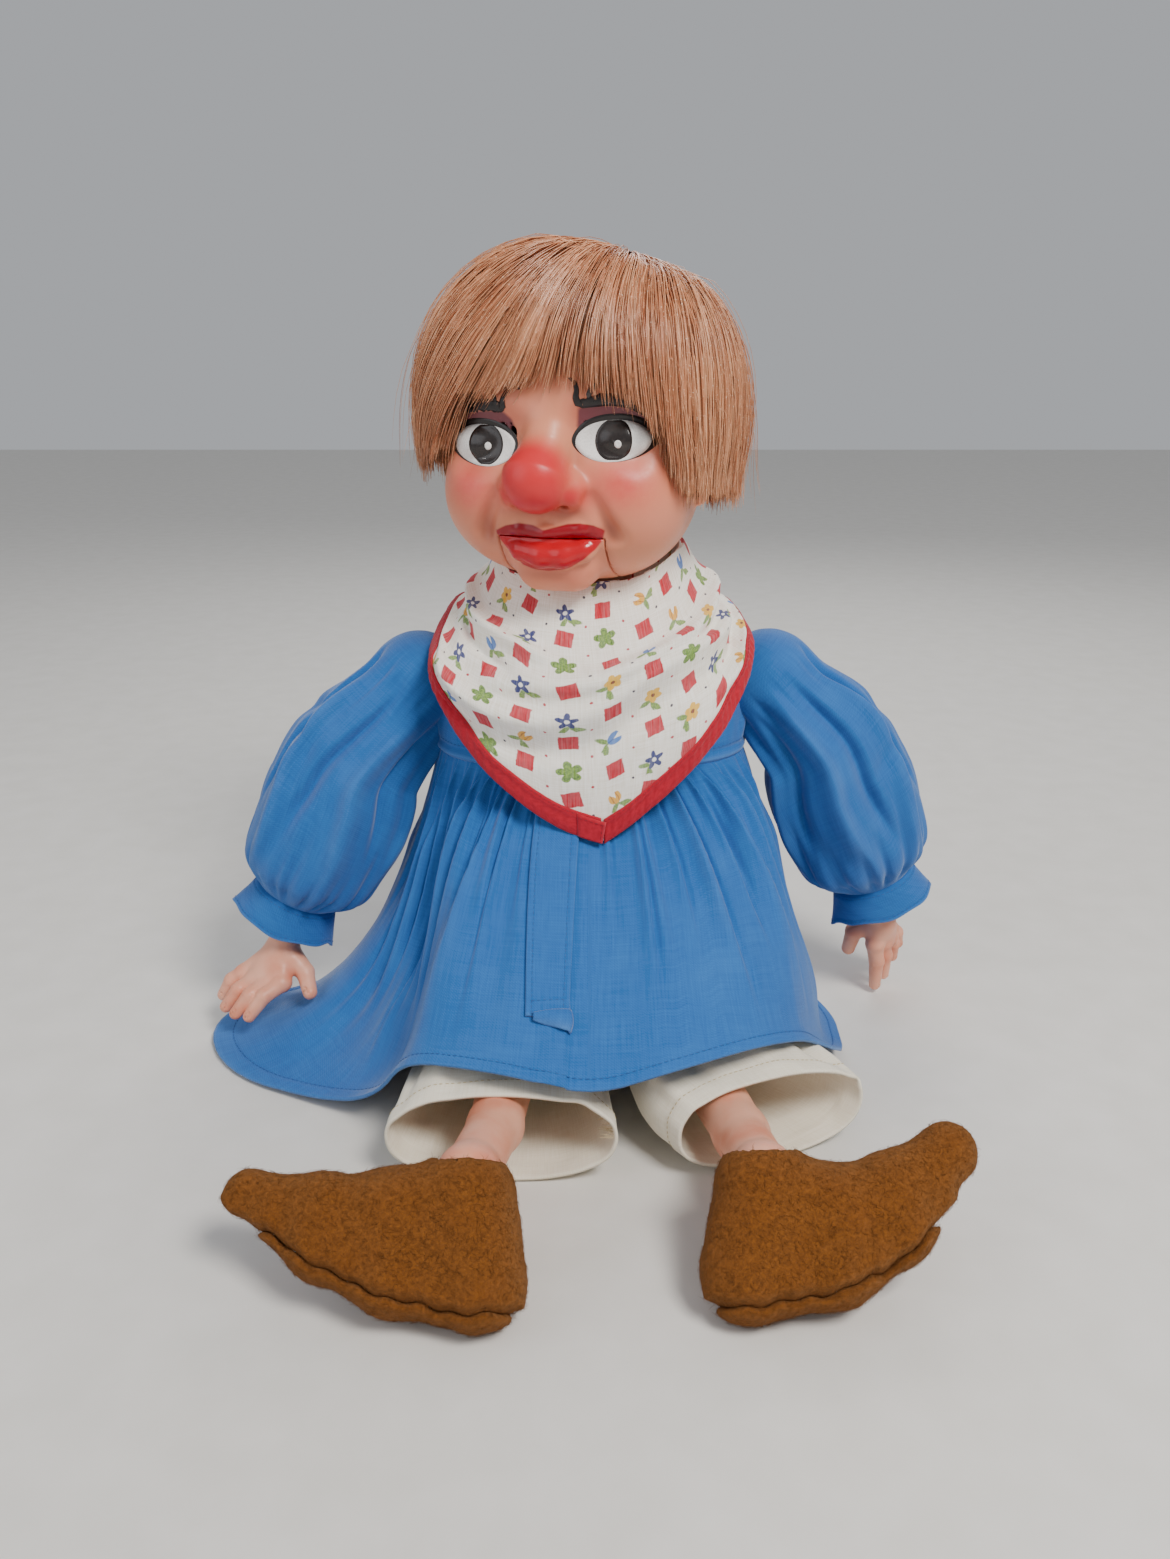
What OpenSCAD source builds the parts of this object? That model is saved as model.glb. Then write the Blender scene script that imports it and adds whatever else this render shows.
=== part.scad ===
// Seated ventriloquist figure: vinyl head with a slot jaw on a wooden control post,
// stuffed body with a rear hand opening, stuffed arms and legs with vinyl hands and shins,
// felt slippers, trousers, smock, neckerchief and wig.
// Frame: millimetres, +Z up, the figure faces -Y, origin on the seat's flat underside.

/* [Head] */
// Width of the skull shell
head_w = 114; // [108:1:118]
// Reach of the face in front of the skull centre
head_front = 55; // [53:1:57]
// Height from the skull centre to the crown
head_up = 71; // [68:1:74]
// Height from the skull centre to the chin
head_down = 72; // [71:1:73]
// Wall of the vinyl shell
shell_t = 3; // [2.5:0.1:3.2]
// Radius of the nose bulb
nose_r = 15; // [12:0.5:16]
// Turn of the head at rest, about the neck
head_yaw = -15; // [-20:1:0]

/* [Jaw] */
// Width of the jaw between its two slots
jaw_w = 48; // [44:1:50]
// Slot clearance on each side of the jaw
jaw_gap = 0.4; // [0.3:0.1:0.6]
// Height of the lip parting above the neck centre
lip_z = 49; // [48:0.5:50]
// Radius of the hinge pin
pin_r = 1.5; // [1.4:0.1:1.6]
// Running clearance round the hinge pin
pin_gap = 0.06; // [0.03:0.01:0.1]

/* [Control post] */
// Radius of the wooden post
post_r = 7; // [6.5:0.5:7.5]
// Reach of the post below the neck centre
post_down = 105; // [100:1:106]
// Depth of the lever pivot below the neck centre
lever_z = 75; // [72:1:78]
// Distance of the push rod in front of the post axis
rod_y = 13; // [13:0.1:13.2]
// Radius of the neck ball
ball_r = 21; // [21:0.1:21]

/* [Body] */
// Half width of the stuffed body at the waist
body_w = 64; // [60:1:66]
// Padding thickness of the body wall
body_t = 6.5; // [6:0.5:8]
// Half width of the rear hand opening
open_w = 38; // [36:0.5:40]

/* [Limbs] */
// Radius of the sleeve head round each shoulder
shoulder_r = 27; // [25:0.5:27]
// Radius of the trouser leg round each hip
hip_r = 28; // [26:0.5:28]
// Radius of the vinyl shin
shin_r = 12; // [10:0.5:12.5]

/* [Clothes] */
// Thickness of the cloth walls, lining and hems included
cloth_t = 2.4; // [2:0.1:2.6]
// Width of the neckerchief binding, as a share of its depth
binding = 0.10; // [0.07:0.01:0.12]
// Felt wall of the slippers
felt_t = 2.6; // [2.2:0.1:3]

/* [Hidden] */
$fn = 48;

NECK = [0, 18, 222];            // neck ball centre
SKULL = [0, -19, 96];           // skull centre, in the head's own frame
HINGE = [0, -30, 61];           // jaw hinge, in the head's own frame
HIP = [[-38, -14, 32], [38, -14, 32]];
SHO = [[-88, 14, 187], [91, 14, 188]];

vinyl = "#e3a083"; wood = "#c9a06a"; steel = "silver"; blue = "#2f6fb5";
cream = "#efe6d2"; felt = "#9a5a1e"; print = "#f1ece2"; red = "#c8243c"; ginger = "#c27a58";

// ---------- vectors and rings ----------
function unit(a) = a / norm(a);
function spow(a, p) = sign(a) * pow(abs(a), p);
function oval(n, ru, rv, e) = [for (k = [0:n-1]) let (a = 360*k/n)
  [ru * spow(cos(a), 2/e), rv * spow(sin(a), 2/e)]];
function ring(c, t, ref, ru, rv, n = 24, e = 2) = let (
  v = unit(ref - (ref*t)*t), u = cross(v, t))
  [for (p = oval(n, ru, rv, e)) c + p[0]*u + p[1]*v];
function tangent(P, i) = unit(P[min(i+1, len(P)-1)] - P[max(i-1, 0)]);
function tube(P, RU, RV, ref, n = 24, e = 2) =
  [for (i = [0:len(P)-1]) ring(P[i], tangent(P, i), ref, RU[i], RV[i], n, e)];
function flat(a) = [for (r = a) for (p = r) p];
function wall(m, n, o, out) = [for (i = [0:m-2]) for (k = [0:n-1]) let (
  a = o + i*n + k, b = o + i*n + (k+1)%n, c = a + n, d = b + n)
  each (out ? [[a, c, d], [a, d, b]] : [[a, d, c], [a, b, d]])];

// Closed solid through rings.
module loft(R) {
  m = len(R); n = len(R[0]);
  polyhedron(points = flat(R), faces = concat([[for (k = [0:n-1]) k]],
    [[for (k = [n-1:-1:0]) (m-1)*n + k]], wall(m, n, 0, true)));
}
// Tube wall between outer rings A and inner rings B, open at both ends.
module sleeve_wall(A, B) {
  m = len(A); n = len(A[0]); o = m*n;
  polyhedron(points = concat(flat(A), flat(B)), faces = concat(
    wall(m, n, 0, true), wall(m, n, o, false),
    [for (k = [0:n-1]) let (a = k, b = (k+1)%n) each [[a, b, o+b], [a, o+b, o+a]]],
    [for (k = [0:n-1]) let (a = (m-1)*n+k, b = (m-1)*n+(k+1)%n) each [[a, o+b, b], [a, o+a, o+b]]]));
}
// Cup wall: closed at its first ring, open at its last.
module cup(A, B) {
  m = len(A); q = len(B); n = len(A[0]); o = m*n;
  polyhedron(points = concat(flat(A), flat(B)), faces = concat(
    [[for (k = [0:n-1]) k]], [[for (k = [n-1:-1:0]) o + k]],
    wall(m, n, 0, true), wall(q, n, o, false),
    [for (k = [0:n-1]) let (a = (m-1)*n+k, b = (m-1)*n+(k+1)%n,
      c = o+(q-1)*n+k, d = o+(q-1)*n+(k+1)%n) each [[a, d, b], [a, c, d]]]));
}
// Patch of cloth between two sheets of points, G[i][k] outside and H[i][k] inside.
module patch(G, H) {
  m = len(G); n = len(G[0]); o = m*n;
  polyhedron(points = concat(flat(G), flat(H)), faces = concat(
    [for (i = [0:m-2]) for (k = [0:n-2]) let (a = i*n+k) each
      [[a, a+n, a+n+1], [a, a+n+1, a+1], [o+a, o+a+n+1, o+a+n], [o+a, o+a+1, o+a+n+1]]],
    [for (k = [0:n-2]) let (a = k) each [[a, a+1, o+a+1], [a, o+a+1, o+a]]],
    [for (k = [0:n-2]) let (a = (m-1)*n+k) each [[a, o+a+1, a+1], [a, o+a, o+a+1]]],
    [for (i = [0:m-2]) let (a = i*n) each [[a, o+a+n, a+n], [a, o+a, o+a+n]]],
    [for (i = [0:m-2]) let (a = i*n+n-1) each [[a, a+n, o+a+n], [a, o+a+n, o+a]]]));
}
module head_frame() { translate(NECK) rotate([0, 0, head_yaw]) children(); }

// ---------- head ----------
function skull_r(d, g) = let (a = head_w/2 + g, b = (d[1] < 0 ? head_front : 57) + g,
  c = (d[2] > 0 ? head_up : head_down) + g, q = d[2] > 0 ? 2.4 : 2.4 + 0.6*min(1, -2.5*d[2]))
  1 / pow(pow(abs(d[0])/a, q) + pow(abs(d[1])/b, q) + pow(abs(d[2])/c, q), 1/q);
function skull_ring(th, g, n) = [for (k = [0:n-1]) let (
  d = [sin(th)*cos(360*k/n), sin(th)*sin(360*k/n), -cos(th)]) SKULL + skull_r(d, g)*d];
module skull(g, n = 40, m = 20) loft([for (j = [0:m]) skull_ring(3 + 174*j/m, g, n)]);
module ball(p, r, f = 20) translate(p) sphere(r = r, $fn = f);
module pill(a, ra, b, rb, f = 16) hull() { ball(a, ra, f); ball(b, rb, f); }

module nose() {
  pill([-3, -80, 75], nose_r, [-1, -71, 88], nose_r - 4, 24);
  pill([-1, -71, 88], nose_r - 5, [0, -66, 106], 6);
  pill([9, -73, 70], 8, [-2, -76, 72], 12);
  pill([-13, -73, 70], 8, [-2, -76, 72], 12);
}
module ear(s) {
  pill([s*55, -12, 62], 5, [s*57, -8, 78], 7, 16);
  pill([s*57, -8, 78], 7, [s*56, -9, 88], 7, 16);
}
module lower_lip() {
  pill([-17, -66, 46], 3.6, [-6, -69, 42.5], 5, 12);
  pill([-6, -69, 42.5], 5, [6, -69, 42.5], 5, 12);
  pill([6, -69, 42.5], 5, [17, -66, 46], 3.6, 12);
}
module upper_lip() {
  pill([-19, -66, 50], 3, [-6, -69.5, 52], 3.6, 12);
  pill([-6, -69.5, 52], 3.6, [6, -69.5, 52], 3.6, 12);
  pill([6, -69.5, 52], 3.6, [19, -66, 50], 3, 12);
}
module head_shell() color(vinyl) head_frame() difference() {
  union() {
    skull(0); nose(); ear(-1); ear(1); upper_lip();
    translate([0, 0, 2]) cylinder(r = 20.5, h = 34);
  }
  skull(-shell_t, 32, 16);
  translate([0, 0, -5]) cylinder(r = 17.2, h = 45);
  translate([-jaw_w/2 - jaw_gap, -120, -10]) cube([jaw_w + 2*jaw_gap, 98, 10 + lip_z]);
}
module jaw() color(vinyl) head_frame() intersection() {
  union() {
    difference() {
      union() { skull(0); lower_lip(); pill([-8, -55, 34], 8, [8, -55, 34], 8); }
      skull(-shell_t, 32, 16);
    }
    intersection() { skull(-1); translate([-jaw_w/2, -90, lip_z - 4]) cube([jaw_w, 38, 4]); }
    for (k = [0:3]) hull() { bar([k*10 - 19, -64, 38], [k*10 - 11, -55, 44]); bar([k*10 - 19, -64, 38], [k*10 - 11, -60, 46]); }
  }
  translate([-jaw_w/2, -120, -10]) cube([jaw_w, 80, 10 + lip_z - 0.35]);
}
module bar(a, b) translate(a) cube(b - a);
module jaw_frame() color(wood) head_frame() difference() {
  union() {
    for (s = [-1, 1]) translate([s*20 - 2, 0, 0]) {
      translate([0, -55, 38]) rotate([0, 0, 0]) cube([4, 12, 7]);
      multmatrix([[1, 0, 0, 0], [0, 1, 0, -46], [0, 0, 1, 40], [0, 0, 0, 1]])
        rotate([90, 0, 90]) linear_extrude(4) polygon([[-6, -2], [6, -2], [22, 18], [16, 26], [10, 26], [-6, 5]]);
      translate([0, -32, 58]) cube([4, 22, 6]);
    }
    bar([-22, -16.5, 58], [22, -9.5, 64]);
    bar([-22, -55, 38], [22, -49, 44]);
  }
  translate([-30, HINGE[1], HINGE[2]]) rotate([0, 90, 0]) cylinder(r = pin_r + pin_gap, h = 60);
  translate([0, -rod_y, 50]) cylinder(r = 2.8, h = 20);
}
module jaw_pin() color(steel) head_frame() translate([-23.5, HINGE[1], HINGE[2]])
  rotate([0, 90, 0]) cylinder(r = pin_r, h = 47);
module mechanism_frame() color(wood) head_frame() difference() {
  union() {
    bar([-16, -36, 36], [16, 8, 42]);
    for (s = [-1, 1]) bar([s*14 - 2, -36, 42], [s*14 + 2, -24, 68]);
  }
  translate([-30, HINGE[1], HINGE[2]]) rotate([0, 90, 0]) cylinder(r = pin_r, h = 60);
  translate([0, -rod_y, 30]) cylinder(r = 1.9, h = 20);
}
// Closing spring between the frame and the jaw's rear bar.
module jaw_spring() color(steel) head_frame() {
  turns = 6; per = 10; h = 15; n = turns*per;
  P = [for (i = [0:n]) [8 + 2.6*cos(360*i/per), -rod_y + 2.6*sin(360*i/per), 42.6 + h*i/n]];
  loft(tube(P, [for (p = P) 0.45], [for (p = P) 0.45], [0, 0, 1], 6));
}
module neck_ball() color(wood) head_frame() difference() {
  union() {
    intersection() { sphere(r = ball_r, $fn = 96); bar([-30, -30, -16], [30, 30, 1.8]); }
    cylinder(r = 17.1, h = 36);
  }
  translate([0, 0, -30]) cylinder(r = post_r, h = 62);
  translate([0, -rod_y, -30]) cylinder(r = 1.9, h = 80);
}
module control_post() color(wood) head_frame() difference() {
  translate([0, 0, -post_down]) cylinder(r = post_r, h = post_down + 32);
  bar([-2.6, -20, -lever_z - 12], [2.6, 20, -lever_z + 12]);
  translate([-20, 0, -lever_z]) rotate([0, 90, 0]) cylinder(r = 1.25, h = 40);
}
module lever_pin() color(steel) head_frame() translate([-6.6, 0, -lever_z])
  rotate([0, 90, 0]) cylinder(r = 1.25, h = 13.2);
module thumb_lever() color(wood) head_frame() translate([0, 0, -lever_z]) difference() {
  union() {
    bar([-2.2, -13, -2.2], [2.2, 20, 2.2]);
    translate([0, -rod_y, -2.2]) cylinder(r = 4.2, h = 4.4);
    translate([0, 20, -2.2]) cylinder(r = 5.5, h = 4.4);
  }
  translate([-20, 0, 0]) rotate([0, 90, 0]) cylinder(r = 1.25 + pin_gap, h = 40);
  translate([0, -rod_y, -10]) cylinder(r = 2.8, h = 20);
}
module push_rod() color(steel) head_frame() translate([0, -rod_y, 0]) {
  translate([0, 0, -lever_z - 6]) cylinder(r = 1, h = lever_z + 76);
  translate([0, 0, 65.4]) cylinder(r = 3.6, h = 3);
  translate([0, 0, 53.6]) cylinder(r = 3.6, h = 3);
  translate([0, 0, -lever_z + 3.8]) cylinder(r = 3.4, h = 3);
  translate([0, 0, -lever_z - 6.8]) cylinder(r = 3.4, h = 3);
}
module neck_slip_ring() color("#eeeeee") head_frame() difference() {
  translate([0, 0, -10.7]) cylinder(r = 27, h = 9.7);
  sphere(r = ball_r + 0.15, $fn = 96);
}

// ---------- hair ----------
function hair_r(d) = let (a = 79, b = d[1] < 0 ? 66 : 60, c = d[2] > 0 ? 82 : 76, q = 2.3)
  1 / pow(pow(abs(d[0])/a, q) + pow(abs(d[1])/b, q) + pow(abs(d[2])/c, q), 1/q);
module hair_blob(n = 32, m = 16) loft([for (j = [0:m]) let (th = 3 + 174*j/m)
  [for (k = [0:n-1]) let (d = [sin(th)*cos(360*k/n), sin(th)*sin(360*k/n), -cos(th)])
    SKULL + hair_r(d)*d]]);
module wig() color(ginger) head_frame() difference() {
  hair_blob();
  skull(1.6, 32, 16);
  bar([-46, -120, 0], [46, -30, 106]);
  translate([0, 0, 61]) rotate([0, 4, 0]) bar([-120, -120, -60], [120, 120, 0]);
  for (s = [-1, 1]) translate([s*58, -9, 76]) cube([20, 22, 40], center = true);
}
module wig_cap() color("#d8b48c") head_frame() difference() {
  skull(1.3, 32, 16);
  skull(0.3, 40, 20);
  bar([-46.5, -120, 0], [46.5, -30, 108]);
  bar([-120, -120, 0], [120, 120, 97.5]);
}

// ---------- body ----------
function torso_rings(g, z0, z1) = let (
  Z = [3, 12, 30, 60, 110, 160, 186, 202.6], C = [25, 22, 19.4, 16, 14, 14, 16, 18],
  X = [41, 53, 61, body_w - 0.6, body_w - 4, 62, 62, 56], Y = [19, 26.5, 32, 37, 40, 34, 30, 26])
  [for (i = [0:7]) if (Z[i] >= z0 && Z[i] <= z1)
    [for (p = oval(36, X[i] - g, Y[i] - g, 2.5)) [p[0], C[i] + p[1], Z[i]]]];
// Room that a trouser leg sweeps at the hip, from sitting to hanging down.
module leg_room(i) hull() {
  ball(HIP[i], hip_r + 1, 32);
  for (q = [5, 30, 55, 76]) ball(HIP[i] + [TRO[i][0][0] - HIP[i][0], -28.1*cos(q), -28.1*sin(q)], 33, 32);
}
module torso() color("#d9c7a8") difference() {
  loft(torso_rings(0, 0, 300));
  loft(concat([[for (p = oval(36, body_w - body_t - 6, 24, 2.5)) [p[0], 15 + p[1], 70]]],
    torso_rings(body_t, 100, 190),
    [[for (p = oval(36, 56 - body_t, 26 - body_t, 2.5)) [p[0], 18 + p[1], 210]]]));
  bar([-open_w, 30, 71], [open_w, 70, 168]);
  for (i = [0, 1]) leg_room(i);
  for (h = SHO) translate(h) sphere(r = shoulder_r + 0.6);
}
module ring_of(r1, r2, h) difference() { cylinder(r = r1, h = h); translate([0, 0, -1]) cylinder(r = r2, h = h + 2); }
module shoulder_board() color(wood) difference() {
  translate([0, 18, 203]) linear_extrude(8) intersection() {
    square([98, 42], center = true); circle(r = 50); }
  translate([0, 18, 190]) cylinder(r = 20, h = 40);
  for (h = SHO) translate(h) sphere(r = shoulder_r + 0.6);
}
module neck_socket() color("#eeeeee") translate([0, 18, 211.1]) ring_of(31, 27.15, 9.5);
module trouser_seat() color(cream) difference() {
  loft([for (q = [[0, 19, 52, 31], [10, 19.5, 60, 36], [30, 19, 67, 38.5], [58, 17, 69, 42.5], [66, 16, 67, 41]])
    [for (p = oval(36, q[2], q[3], 2.5)) [p[0], q[1] + p[1], q[0]]]]);
  loft([for (q = [[2.2, 19, 48.5, 28], [12, 19.5, 57, 33.2], [30, 19, 63.5, 35.5], [58, 16.5, 66, 39.6], [70, 16, 65.5, 39.4]])
    [for (p = oval(36, q[2], q[3], 2.5)) [p[0], q[1] + p[1], q[0]]]]);
  for (i = [0, 1]) leg_room(i);
}

// ---------- smock ----------
function yoke_rings(g) = [for (q = [[158, 10, 79, 48], [172, 11, 79, 47], [192, 13, 78, 42], [206, 15, 72, 37],
    [214, 17, 60, 34.5], [219, 18, 40, 34.5]])
  [for (p = oval(40, q[2] - g, q[3] - g, 2.3)) [p[0], q[1] + p[1], q[0] - (q[0] > 200 ? g*0.9 : 0)]]];
// Room round a sleeve head, cut from the yoke and the skirt.
module sleeve_room(i) hull() { ball(SHO[i], shoulder_r + 1.4, 32); ball(ARM[i][1], 35, 32); }
module smock_yoke() color(blue) difference() {
  sleeve_wall(yoke_rings(0), yoke_rings(cloth_t));
  for (i = [0, 1]) sleeve_room(i);
  bar([-open_w, 40, 150], [open_w, 80, 200]);
}
// Outline of the hem by azimuth: 0 is the front, 90 the figure's left side (+X).
HEM = [[0, 0, -149, 50], [14, 34, -146, 60], [28, 72, -130, 62], [42, 98, -108, 52], [56, 120, -80, 30],
  [70, 131, -48, 8], [90, 134, -10, 3], [115, 118, 42, 3], [145, 68, 63, 3], [180, 0, 66, 3],
  [215, -68, 63, 3], [245, -134, 46, 3], [268, -196, 8, 3], [280, -207, -24, 3], [292, -184, -62, 3],
  [306, -128, -90, 4], [318, -102, -106, 20], [330, -84, -126, 52], [344, -44, -145, 60], [360, 0, -149, 50]];
function hem(a) = [lookup(a, [for (h = HEM) [h[0], h[1]]]), lookup(a, [for (h = HEM) [h[0], h[2]]]),
  lookup(a, [for (h = HEM) [h[0], h[3]]])];
function bez(a, b, c, d, t) = pow(1-t, 3)*a + 3*t*pow(1-t, 2)*b + 3*t*t*(1-t)*c + t*t*t*d;
// Point of the skirt's outer face at azimuth a, from the seam (t = 0) to the hem (t = 1).
function skirt_pt(a, t) = let (
  top = [78.5*spow(sin(a), 2/2.3), 10 - 47.5*spow(cos(a), 2/2.3), 157.6],
  h = hem(a), o = unit([top[0], top[1] - 10, 0]), w = h[2] > 25 ? 1 : 0,
  low = min(1, max(0, (h[2] - 5)/45)), far = norm([h[0] - top[0], h[1] - top[1]]),
  side = pow(max(0, sin(a) > 0 ? sin(a) : -0.6*sin(a)), 2) * max(0, 0.35 + cos(a)) * 1.1,
  b = top + o*(12 + 16*low + 30*side) + [0, 0, -38 - 26*(1 - low)],
  c = (1 - low)*(top + (h - top)*0.34 + [0, 0, 0]) + low*(h + (top - h)*0.30),
  c2 = [c[0], c[1], low*(h[2] + 22) + (1 - low)*(6 + 0.03*far)])
  bez(top, b, c2, h, t);
function skirt_in(a, t, g) = let (p = skirt_pt(a, t), top = skirt_pt(a, 0), o = unit([top[0], top[1] - 10, 0]))
  p - g*o*(1 - 0.45*t) - [0, 0, g*0.85*t];
SA = 48; ST = 8;
module smock_skirt() color(blue) difference() {
  sleeve_wall([for (j = [ST:-1:0]) [for (k = [0:SA-1]) skirt_pt(360*k/SA, j/ST)]],
    [for (j = [ST:-1:0]) [for (k = [0:SA-1]) skirt_in(360*k/SA, j/ST, cloth_t)]]);
  bar([-open_w, 44, 66], [open_w, 90, 160]);
  for (i = [0, 1]) sleeve_room(i);
}
// Front placket: a strip laid on the skirt, left of centre.
function placket_row(t, o) = [for (k = [0:2]) skirt_in(348.5 + 4*k, t, -o)];
module placket() color(blue)
  patch([for (i = [8:-1:0]) placket_row(0.04 + 0.09*i, 2.6)], [for (i = [8:-1:0]) placket_row(0.04 + 0.09*i, 1.2)]);

// ---------- neckerchief ----------
BIB = [[0, 6, -59, 130], [12, 22, -59, 142], [28, 43, -55, 161], [46, 63, -45, 184], [65, 75, -27, 205],
  [90, 77, 6, 217], [120, 66, 36, 222], [150, 40, 54, 222], [180, 0, 59, 221], [210, -40, 54, 222],
  [240, -66, 36, 222], [270, -77, 6, 217], [295, -76, -27, 203], [314, -64, -43, 180],
  [332, -41, -55, 156], [348, -16, -59, 138], [360, 6, -59, 130]];
function bib(a) = [for (j = [1:3]) lookup(a, [for (h = BIB) [h[0], h[j]]])];
function scarf_pt(a, s, g) = let (
  top = [41*sin(a), 18 - 41*cos(a), 234 - 3*cos(a)], e = bib(a), o = unit([e[0], e[1] - 14, 0]),
  m = [0.45*top[0] + 0.55*e[0], 0.45*top[1] + 0.55*e[1], 0] + o*(cos(a) > 0.1 ? 9 : 3)
      + [0, 0, cos(a) > 0.1 ? 210 + 0.12*(e[2] - 190) : 231],
  n = (top*(1-s) + m*s)*(1-s) + (m*(1-s) + e*s)*s)
  n + g*(o*0.8 + [0, 0, 0.6]);
module scarf_band(s0, s1, m, n = 44) sleeve_wall(
  [for (j = [m:-1:0]) [for (k = [0:n-1]) scarf_pt(360*k/n, s0 + (s1-s0)*j/m, 3.0)]],
  [for (j = [m:-1:0]) [for (k = [0:n-1]) scarf_pt(360*k/n, s0 + (s1-s0)*j/m, 1.0)]]);
module neckerchief() color(print) scarf_band(0, 1 - binding - 0.005, 6);
module neckerchief_binding() color(red) scarf_band(1 - binding, 1, 1);

// ---------- arms ----------
ARM = [[SHO[0], [-121, 4, 151], [-141, -4, 107], [-160, -4, 70]],
       [SHO[1], [120, 10, 158], [141, 14, 110], [158, 18, 70]]];
function sleeve_path(i) = let (a = ARM[i], d = unit(a[1] - a[0])) concat(
  [for (q = [-0.985, -0.85, -0.55, -0.15]) a[0] + d*shoulder_r*q],
  [a[0] + d*shoulder_r*0.5, a[1], (a[1] + a[2])/2, a[2], a[2] + (a[3] - a[2])*0.8]);
function sleeve_rad(g) = [for (q = [-0.985, -0.85, -0.55, -0.15]) max(2, shoulder_r*sqrt(1 - q*q) - g/2)];
module sleeve(i) cup(
  tube(sleeve_path(i), concat(sleeve_rad(0), [28, 33, 37, 36, 28]), concat(sleeve_rad(0), [27.5, 30, 31, 29, 22]), [0, 1, 0]),
  tube([for (k = [0:8]) sleeve_path(i)[k] + (k == 0 ? unit(ARM[i][1] - ARM[i][0])*2 : [0, 0, 0])],
    concat([for (r = sleeve_rad(0)) max(1.5, r - cloth_t)], [25.6, 30.6, 34.6, 33.6, 25.6]),
    concat([for (r = sleeve_rad(0)) max(1.5, r - cloth_t)], [25.1, 27.6, 28.6, 26.6, 19.6]), [0, 1, 0]));
function cuff_path(i) = let (a = ARM[i], d = unit(a[3] - a[2]), s = a[2] + (a[3] - a[2])*0.8 + d*0.6)
  [s, s + d*9, s + d*19];
module cuff(i) sleeve_wall(
  tube(cuff_path(i), [22, 24, 28], [16, 17, 19], [0, 1, 0]),
  tube(cuff_path(i), [19.8, 21.8, 25.8], [13.8, 14.8, 16.8], [0, 1, 0]));
module arm(i) loft(tube([ARM[i][0] + unit(ARM[i][0] - ARM[i][1])*12, ARM[i][0], ARM[i][1], ARM[i][2], ARM[i][2] + (ARM[i][3] - ARM[i][2])*0.7],
  [5, 15, 15, 13, 10], [5, 15, 15, 13, 10], [0, 1, 0], 20));
// Hand: wrist, palm, four fingers and a thumb, each finger a list of three joints.
module hand(w, palm, knuckles, tips, thumb) {
  hull() { ball(w, 9, 16); ball(palm, 9, 16); }
  hull() { ball(palm, 9.5, 16); ball(knuckles[0], 5.4, 12); ball(knuckles[3], 4.8, 12); }
  for (k = [0:3]) {
    mid = (knuckles[k] + tips[k])/2 + [0, 0, 3];
    pill(knuckles[k], 5, mid, 4.6, 12);
    pill(mid, 4.6, tips[k], 3.9, 12);
  }
  pill(palm, 8, thumb[0], 5, 12);
  pill(thumb[0], 5, thumb[1], 4.3, 12);
}
module left_hand() color(vinyl) hand([-160, -4, 67], [-166, -8, 46],
  [[-164, -22, 32], [-172, -21, 31], [-180, -17, 31], [-187, -11, 32]],
  [[-180, -34, 18.5], [-188, -31, 18.5], [-195, -24, 18.5], [-199, -14, 20]],
  [[-153, -16, 35], [-149, -25, 28]]);
module right_hand() color(vinyl) hand([156, 18, 67], [162, 21, 48],
  [[160, 18, 34], [166, 24, 32], [171, 30, 32], [173, 37, 34]],
  [[164, 24, 4.4], [170, 30, 8], [176, 37, 16], [180, 42, 22]],
  [[150, 26, 38], [149, 32, 24]]);

// ---------- legs ----------
SHOE = [[-25, -234.6, 3.9], [42, -230.5, 3.9]];      // heel corner of each slipper
UP = unit([0, 0.74, 0.67]);                          // the slippers lean back on their heels
OUTW = unit([0, -0.67, 0.74]);
function sole_pt(i, s, u, w = 0) = SHOE[i] + [(i == 0 ? -1 : 1)*s, 0, 0] + u*UP + w*OUTW;
// Foot form: distance toward the toe, height on the slipper, radius; pairs from heel to toe.
FOOT = [[[19, 20.5, 18.5], [24, 50, 18.5], [50, 24, 16.5], [52, 44, 16.5], [78, 33, 13.5], [80, 45, 13.5], [109, 51, 9]],
        [[18, 20.5, 18.5], [25, 51, 18.5], [50, 24, 16.5], [51, 43, 16], [75, 37, 14.5], [77, 50, 14], [100, 65, 11]]];
module shoe_solid(i, g, f = 20) {
  F = FOOT[i];
  module b(k) ball(sole_pt(i, F[k][0], F[k][1]), F[k][2] - g, f);
  for (k = [0, 2]) hull() { b(k); b(k+1); b(k+2); b(k+3); }
  hull() { b(4); b(5); b(6); }
}
// Everything on the sole's side of the welt line.
module below_welt(i, o) let (c = i == 0 ? 40 : 52)
  multmatrix([[(i == 0 ? -1 : 1), UP[0], OUTW[0], SHOE[i][0]], [0, UP[1], OUTW[1], SHOE[i][1]],
    [0, UP[2], OUTW[2], SHOE[i][2]], [0, 0, 0, 1]])
  translate([0, 0, -40]) linear_extrude(80)
    polygon([[-20, -20], [-20, 6 + o], [34, 9 + o], [66, 18 + o], [(i == 0 ? 92 : 84), 32 + o], [135, c + 14 + o], [135, -20]]);
module collar_cut(i) hull() {
  ball(sole_pt(i, FOOT[i][1][0], 62), 13.8, 24); ball(LEG[i][3], shin_r + 1.8, 24); ball(ANK[i], shin_r + 1.2, 24); }
module slipper_upper(i) color(felt) difference() {
  shoe_solid(i, 0); shoe_solid(i, felt_t); collar_cut(i); below_welt(i, 0.15); }
module slipper_sole(i) color(felt) intersection() {
  difference() { shoe_solid(i, 0); shoe_solid(i, felt_t); shoe_solid(i, felt_t + 1);  }
  below_welt(i, -0.15); }
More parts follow.
